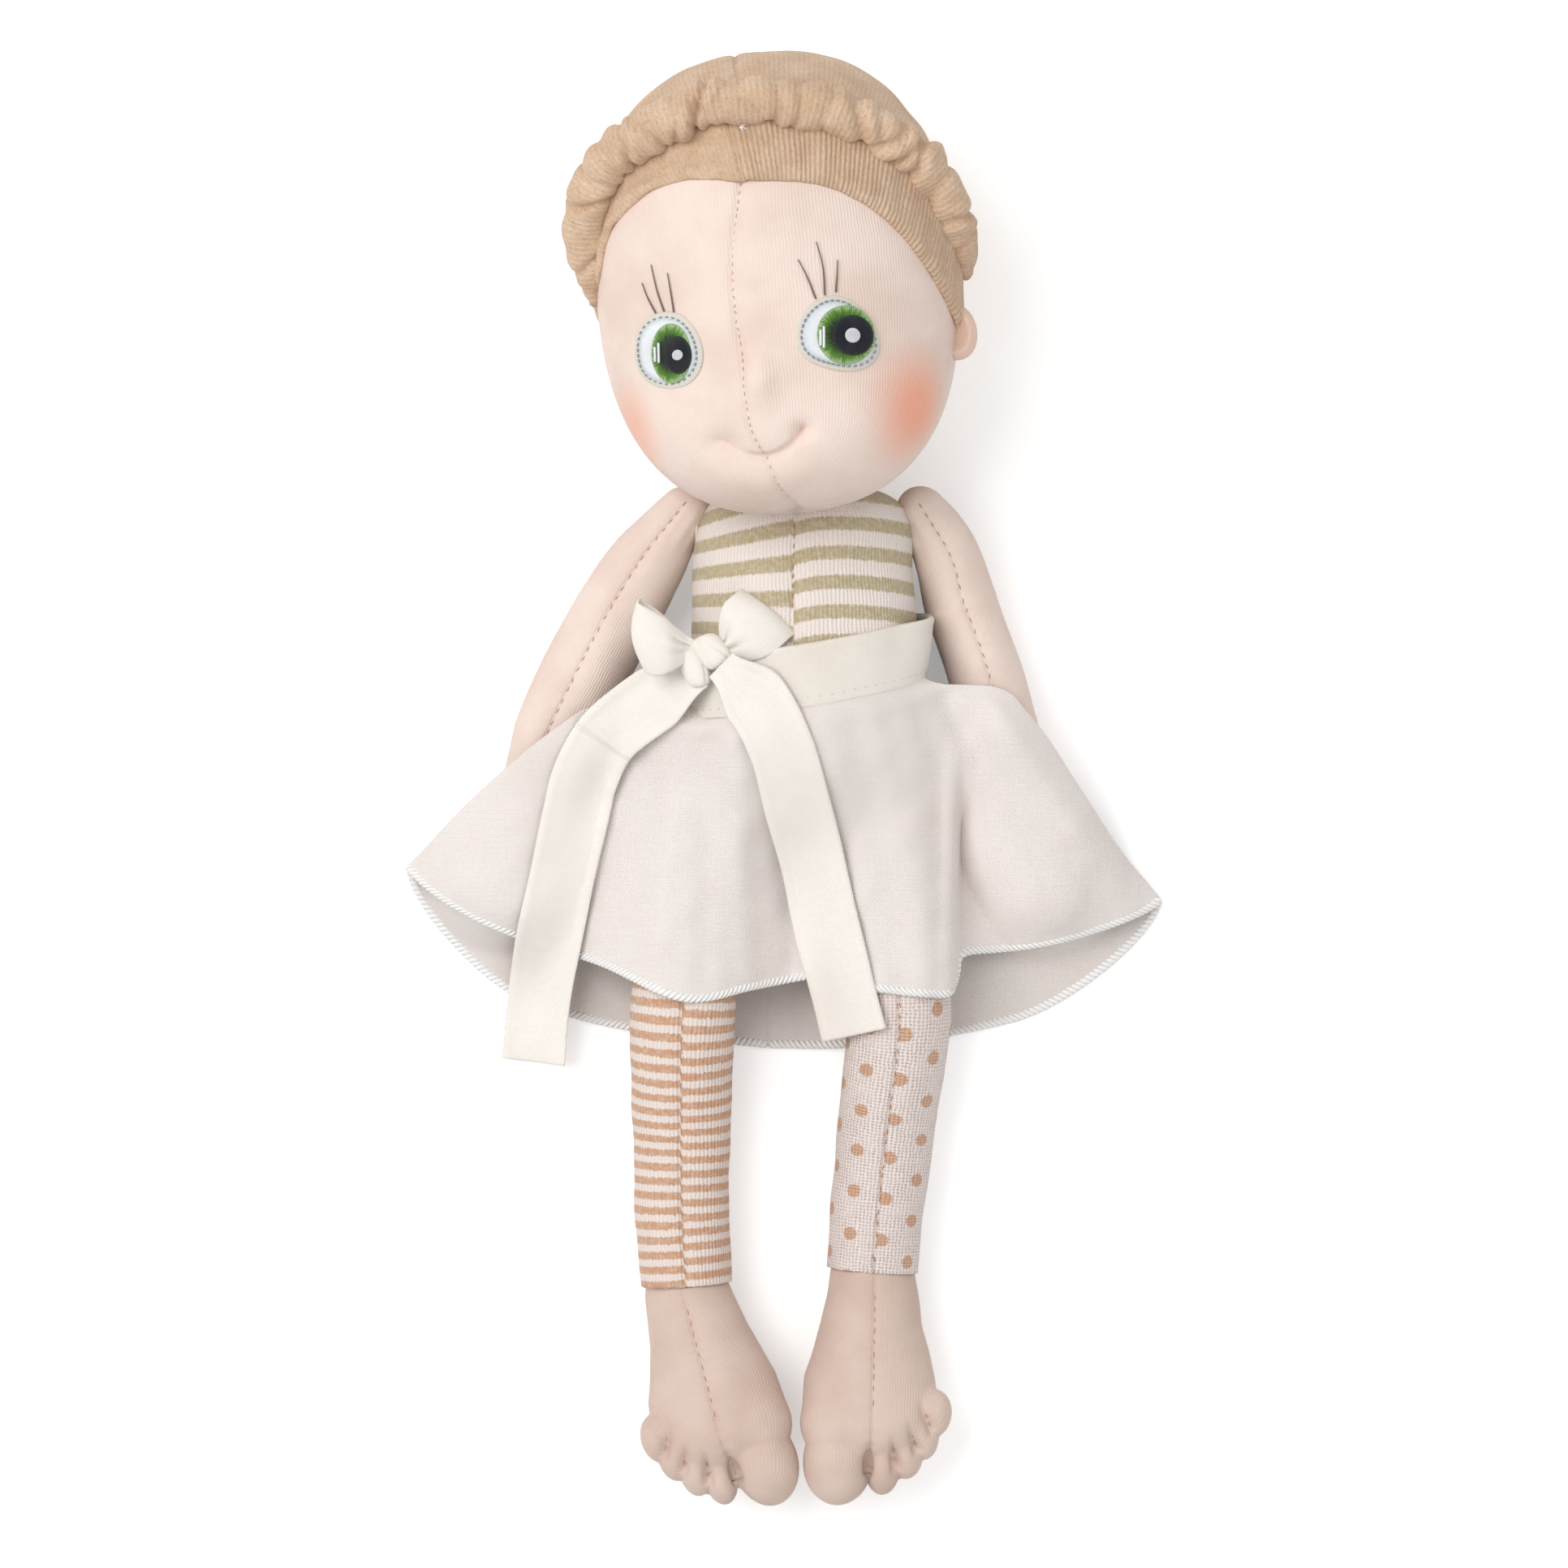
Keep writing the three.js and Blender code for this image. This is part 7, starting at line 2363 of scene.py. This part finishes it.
    def make_band(self) -> None:
        """Makes the waistband, which stands away at the left side, and its stitches."""
        cols = 360
        angle, lines = turns(cols), np.linspace(-0.5, 0.5, 26)
        away, out = smooth(np.cos(angle), 0.72, 1.0), self.outward(angle)
        grid = []
        for share in lines:
            line = self.band_edge(angle, share * self.band_height, 1.0)
            stand = away * (2.6 - 1.2 * (share + 0.5)) + 0.16 * np.sin(angle * 9 + 3 * share)
            line = line + out * stand[:, None]
            line[:, 2] = np.maximum(line[:, 2], 0.8)
            grid.append(line)
        grid = np.asarray(grid)
        uv = cloth_map(np.linspace(0, 165, cols + 1)[None], (lines * self.band_height)[:, None])
        thick = 1.25 + 0.35 * bell(np.abs(lines) - 0.47, 0.05)
        band = Piece.shell("waistband", grid, np.repeat(thick[:, None], cols, axis=1), uv, ring=True)
        cotton = Cotton("band_cotton", colour(243, 237, 229), colour(237, 228, 215), thread=0.5)
        dressed(band, cotton.material(), "cream_cotton", "waistband")
        turn = turns(62)
        out = self.outward(turn)
        spots = self.band_edge(turn, 0.36 * self.band_height, 1.0 + 0.75)
        spots = spots + out * (smooth(np.cos(turn), 0.72, 1.0) * 1.6)[:, None]
        keep = spots[:, 2] > 3
        ways = np.stack([-np.sin(turn), 0.16 + 0 * turn, np.cos(turn)], axis=-1)
        sewn = Stitches.along("waistband_stitches", spots[keep], ways[keep], out[keep], 0.9, 0.32)
        thread = Thread("band_thread", colour(232, 226, 214), colour(196, 188, 172))
        dressed(sewn, thread.material(), "cream_cotton")
        for piece in (band, sewn):
            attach(piece, "torso")

    @staticmethod
    def sash_cotton(name: str) -> bpy.types.Material:
        """Returns the sash's cotton under a name."""
        return Cotton(name, colour(251, 246, 239), colour(247, 239, 228), thread=0.48).material()

    @staticmethod
    def evened(level: np.ndarray, reach: int) -> np.ndarray:
        """Returns heights evened along a tail, over a number of rows each way."""
        padded = np.pad(level, ((reach, reach), (0, 0)), mode="edge")
        return sum(padded[k : k + len(level)] for k in range(2 * reach + 1)) / (2 * reach + 1)

    def make_tail(self, side: Side) -> None:
        """Makes one hanging end of the sash, with a folded top and raised edges."""
        curve = Curve(self.tails[side], 0.25)
        down, across = 210, 44
        t = np.linspace(0, 1, down)
        middle = curve.even(t)
        along = unit(np.gradient(middle, axis=0))
        way = np.stack([-along[:, 1], along[:, 0], 0 * t], axis=1)
        width = (0.5 + 0.5 * smooth(t, 0, 0.12)) * self.sash_width
        width = width * (1 + 0.015 * np.sin(t * 19))
        s = np.linspace(-0.5, 0.5, across)
        grid = middle[:, None] + way[:, None] * (width[:, None] * s[None])[..., None]
        x, y = grid[..., 0], grid[..., 1]
        crease = 0.5 * np.cos(s * 3 * math.pi)[None] * smooth(t, 0.3, 0.03)[:, None]
        crease = crease + bell(t - 0.04, 0.04)[:, None]
        if side is Side.RIGHT:
            past = (x + 41.2) * -0.534 + (y - 8.7) * -0.845
            crease = crease + 1.5 * smooth(past, 0.5, -0.3) * smooth(past, -13.0, -2.0) * (t < 0.6)[:, None]
        edge = 0.28 * bell((0.5 - np.abs(s[None])) * width[:, None] - 1.0, 0.8)
        wave = 0.35 * ripple(x, y, 0.0, 20.0, 23 if side is Side.RIGHT else 24)
        level = self.over.at(x, y)
        even = self.evened(np.maximum(self.evened(level, 16), level - 0.4), 10)
        grid[..., 2] = np.maximum(even, level - 0.9) + 1.2 + crease * 0.8 + edge + np.maximum(wave, -0.3)
        run = run_along(grid[:, across // 2])
        name = f"sash_tail_{side.value}"
        tail = Piece.shell(name, grid, 0.8, cloth_map(s[None] * width[:, None], run[:, None]))
        dressed(tail, self.sash_cotton(f"tail_cotton_{side.value}"), "cream_cotton", name)
        self.hang(tail, True)

    def make_bow(self) -> None:
        """Makes the knot, its wrap and the two loops."""
        kx, ky = self.knot
        top = float(self.torso.height(np.array(kx), np.array(ky), GAP + 1.2, True)) + GAP + COTTON
        cotton = self.sash_cotton("bow_cotton")
        bands = (
            ("bow_knot", (kx + 0.6, ky + 0.6, top + 2.9), -64.0, (3.9, 4.5, 3.0), 0.0),
            ("bow_wrap", (kx - 3.7, ky - 3.2, top + 1.9), -76.0, (3.2, 5.0, 2.5), 1.3),
        )
        for name, middle, heading, size, phase in bands:
            knot = self.cushion(name, np.array(middle), heading, size, phase)
            nodes = (name,) if name == "bow_knot" else ()
            dressed(knot, cotton, "cream_cotton", *nodes, fill=0.7)
            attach(knot, "torso")
        for side in Side:
            loop, grid = self.make_loop(side, top)
            dressed(loop, cotton, "cream_cotton", f"bow_loop_{side.value}")
            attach(loop, "torso")

    @staticmethod
    def cushion(
        name: str, middle: np.ndarray, heading: float, size: tuple[float, float, float], phase: float
    ) -> bpy.types.Object:
        """Makes one turn of the knot: a short bulging band with creases along it.

        Args:
            name: The object's name.
            middle: Its middle.
            heading: The direction that it runs in, in degrees from X.
            size: Its half width, half length and half height.
            phase: Where its creases start.

        Returns:
            The object.
        """
        cols = 96
        share, angle = globe(70, cols)
        full = fullness(share, 3.4)
        turn = math.radians(heading)
        along = np.array([math.cos(turn), math.sin(turn), 0.0])
        across = np.array([-along[1], along[0], 0.0])
        crease = 1 - 0.13 * bell(np.cos(angle + 0.5 * share + phase) - 0.35, 0.16)
        crease = crease - 0.1 * bell(np.cos(angle - 0.4 * share + phase) + 0.45, 0.14)
        square = np.sign(np.cos(angle)) * np.abs(np.cos(angle)) ** 0.8
        wide = size[0] * full * square * crease + 0.25 * share * size[0]
        points = middle + wide[..., None] * across + (size[1] * share)[..., None] * along
        points[..., 2] += size[2] * full * np.sin(angle) * crease
        uv = cloth_map(np.linspace(0, 22, cols + 1)[None], share[:, :1] * 5)
        return Piece.closed(name, points, uv)

    def make_loop(self, side: Side, top: float) -> tuple[bpy.types.Object, np.ndarray]:
        """Makes one loop of the bow: a band folded over at its far end, pleated where the knot holds it.

        Args:
            side: Which loop.
            top: The height that the loop lies at.

        Returns:
            The loop and the grid of its cloth.
        """
        upper, lower = (smooth_line(edge, 60) for edge in self.loops[side])
        outline = (
            (0.0, 0.42), (0.14, 0.5), (0.3, 0.74), (0.55, 0.98), (0.82, 0.95), (0.96, 0.72),
            (1.0, 0.42), (0.95, 0.14), (0.8, 0.0), (0.5, 0.0), (0.25, 0.1), (0.0, 0.2),
        )
        line = smooth_line(outline, 150)
        s = np.linspace(-0.5, 0.5, 52)
        out = np.clip(line[:, 0], 0, 1)
        first, last = (picked(out, np.linspace(0, 1, 60), edge) for edge in (upper, lower))
        rising = smooth(line[:, 1], 0.25, 0.6)
        way = unit((upper[-1] + lower[-1] - upper[0] - lower[0]) / 2)
        bulge = (2.3 if side is Side.RIGHT else 0.9) * out**3
        flat = first[:, None] * (0.5 - s)[None, :, None] + last[:, None] * (0.5 + s)[None, :, None]
        flat = flat + way * (bulge[:, None] * np.cos(math.pi * s)[None])[..., None]
        behind = (1 - rising) * smooth(out, 0.3, 0.9) * (1.3 if side is Side.RIGHT else 0.5)
        flat[..., 1] += behind[:, None] * smooth(s, 0.1, -0.5)[None]
        round_top = 1.9 * (np.cos(math.pi * s) ** 0.8)[None] * (smooth(out, 0.1, 0.5) * rising)[:, None]
        near = smooth(out, 0.62, 0.12)[:, None]
        pleats = -1.5 * bell(s[None] + 0.08 + 0.3 * out[:, None], 0.05 + 0.06 * out[:, None]) * near
        pleats = pleats - 1.3 * bell(s[None] - 0.14 + 0.02 * out[:, None], 0.05 + 0.05 * out[:, None]) * near
        pleats = pleats + 0.7 * bell(s[None] - 0.03 + 0.14 * out[:, None], 0.07) * near
        height = top + 6.2 * line[:, 1][:, None] + round_top + pleats * rising[:, None]
        grid = np.concatenate([flat, height[..., None]], axis=-1)
        run = run_along(grid[:, len(s) // 2])
        wide = np.linalg.norm(last - first, axis=1)
        uv = cloth_map(s[None] * wide[:, None], run[:, None])
        return Piece.shell(f"bow_loop_{side.value}", grid, 0.7, uv), grid

    def build(self) -> None:
        """Makes the skirt and the sash."""
        self.make_band()
        self.make_skirt()
        for side in Side:
            self.make_tail(side)
        self.make_bow()


@dataclass
class Studio:
    """The white floor, the soft lamps and the camera over the doll."""

    camera_height: float = 1.4
    lens: float = 129.5
    floor: float = 3.0
    floor_tone: tuple = (0.92, 0.92, 0.92, 1)
    floor_glow: float = 0.3
    even_light: float = 0.53
    lamps: tuple = (
        ("key", (-0.75, 0.38, 1.25), 1.1, 13.8),
        ("fill", (0.9, 0.1, 1.1), 1.2, 3.2),
        ("low", (0.0, -0.95, 1.0), 1.2, 2.2),
    )

    @staticmethod
    def node(tree: bpy.types.NodeTree, kind: str, *inputs: object, operation: str = "") -> bpy.types.Node:
        """Adds a shader node.

        Args:
            tree: The tree that it is added to.
            kind: Its kind.
            inputs: Nodes, sockets or values for its first inputs, and None for one that is left alone.
            operation: What a node for arithmetic does.

        Returns:
            The node.
        """
        made = tree.nodes.new(f"ShaderNode{kind}")
        if operation:
            made.operation = operation
        for socket, value in zip(made.inputs, inputs):
            if isinstance(value, bpy.types.Node):
                tree.links.new(value.outputs[0], socket)
            elif isinstance(value, bpy.types.NodeSocket):
                tree.links.new(value, socket)
            elif value is not None:
                socket.default_value = value
        return made

    def make_floor(self) -> None:
        """Makes the floor, which shows white where it is lit and keeps the doll's shadow."""
        bpy.ops.object.select_all(action="DESELECT")
        bpy.ops.mesh.primitive_plane_add(size=self.floor, location=(0, 0, CAD_BOX[0][2] - 0.0002))
        floor = bpy.context.object
        floor.name = "floor"
        material = bpy.data.materials.new("white_floor")
        material.use_nodes = True
        tree = material.node_tree
        tree.nodes.clear()
        ray = tree.nodes.new("ShaderNodeLightPath").outputs
        seen = self.node(tree, "Math", ray["Is Camera Ray"], ray["Is Glossy Ray"], operation="MAXIMUM")
        strength = self.node(tree, "Math", seen, self.floor_glow, operation="MULTIPLY")
        diffuse = self.node(tree, "BsdfDiffuse", self.floor_tone)
        glow = self.node(tree, "Emission", None, strength)
        self.node(tree, "OutputMaterial", self.node(tree, "AddShader", diffuse, glow))
        floor.data.materials.append(material)

    def make_lamps(self) -> None:
        """Places the soft lamps: a large one over the head's left and weaker ones round it."""
        for name, spot, size, power in self.lamps:
            data = bpy.data.lights.new(name, "AREA")
            data.size = size
            data.energy = power
            lamp = bpy.data.objects.new(name, data)
            bpy.context.scene.collection.objects.link(lamp)
            lamp.location = spot
            way = Vector((0.0, 0.0, 0.02)) - Vector(spot)
            lamp.rotation_euler = way.to_track_quat("-Z", "Y").to_euler()

    def make_world(self) -> None:
        """Sets the even light from all round, and white where the camera sees past the floor."""
        world = bpy.data.worlds.new("studio")
        bpy.context.scene.world = world
        world.use_nodes = True
        tree = world.node_tree
        tree.nodes.clear()
        ray = tree.nodes.new("ShaderNodeLightPath").outputs
        seen = self.node(tree, "Math", ray["Is Camera Ray"], ray["Is Glossy Ray"], operation="MAXIMUM")
        seen = self.node(tree, "Math", seen, ray["Is Transmission Ray"], operation="MAXIMUM")
        light = self.node(tree, "Background", (1, 1, 1, 1), self.even_light)
        white = self.node(tree, "Background", None, 1.0)
        self.node(tree, "OutputWorld", self.node(tree, "MixShader", seen, light, white))

    def make_camera(self) -> None:
        """Places the camera straight above the doll."""
        data = bpy.data.cameras.new("camera")
        data.lens = self.lens
        data.sensor_width = 36.0
        data.clip_end = 20.0
        camera = bpy.data.objects.new("camera", data)
        bpy.context.scene.collection.objects.link(camera)
        x, y, _ = place(0, 0, 0)
        camera.location = (x, y, self.camera_height)
        camera.rotation_euler = (0, 0, 0)
        bpy.context.scene.camera = camera
        bpy.context.scene.view_settings.view_transform = "Standard"

    def build(self) -> None:
        """Makes the stage."""
        self.make_floor()
        self.make_lamps()
        self.make_world()
        self.make_camera()


def main() -> None:
    """Builds the doll piece by piece and its stage."""
    limbs = Limbs()
    Head().build()
    Torso(limbs).build()
    limbs.build()
    Dress(limbs).build()
    Studio().build()


if __name__ == "__main__":
    main()
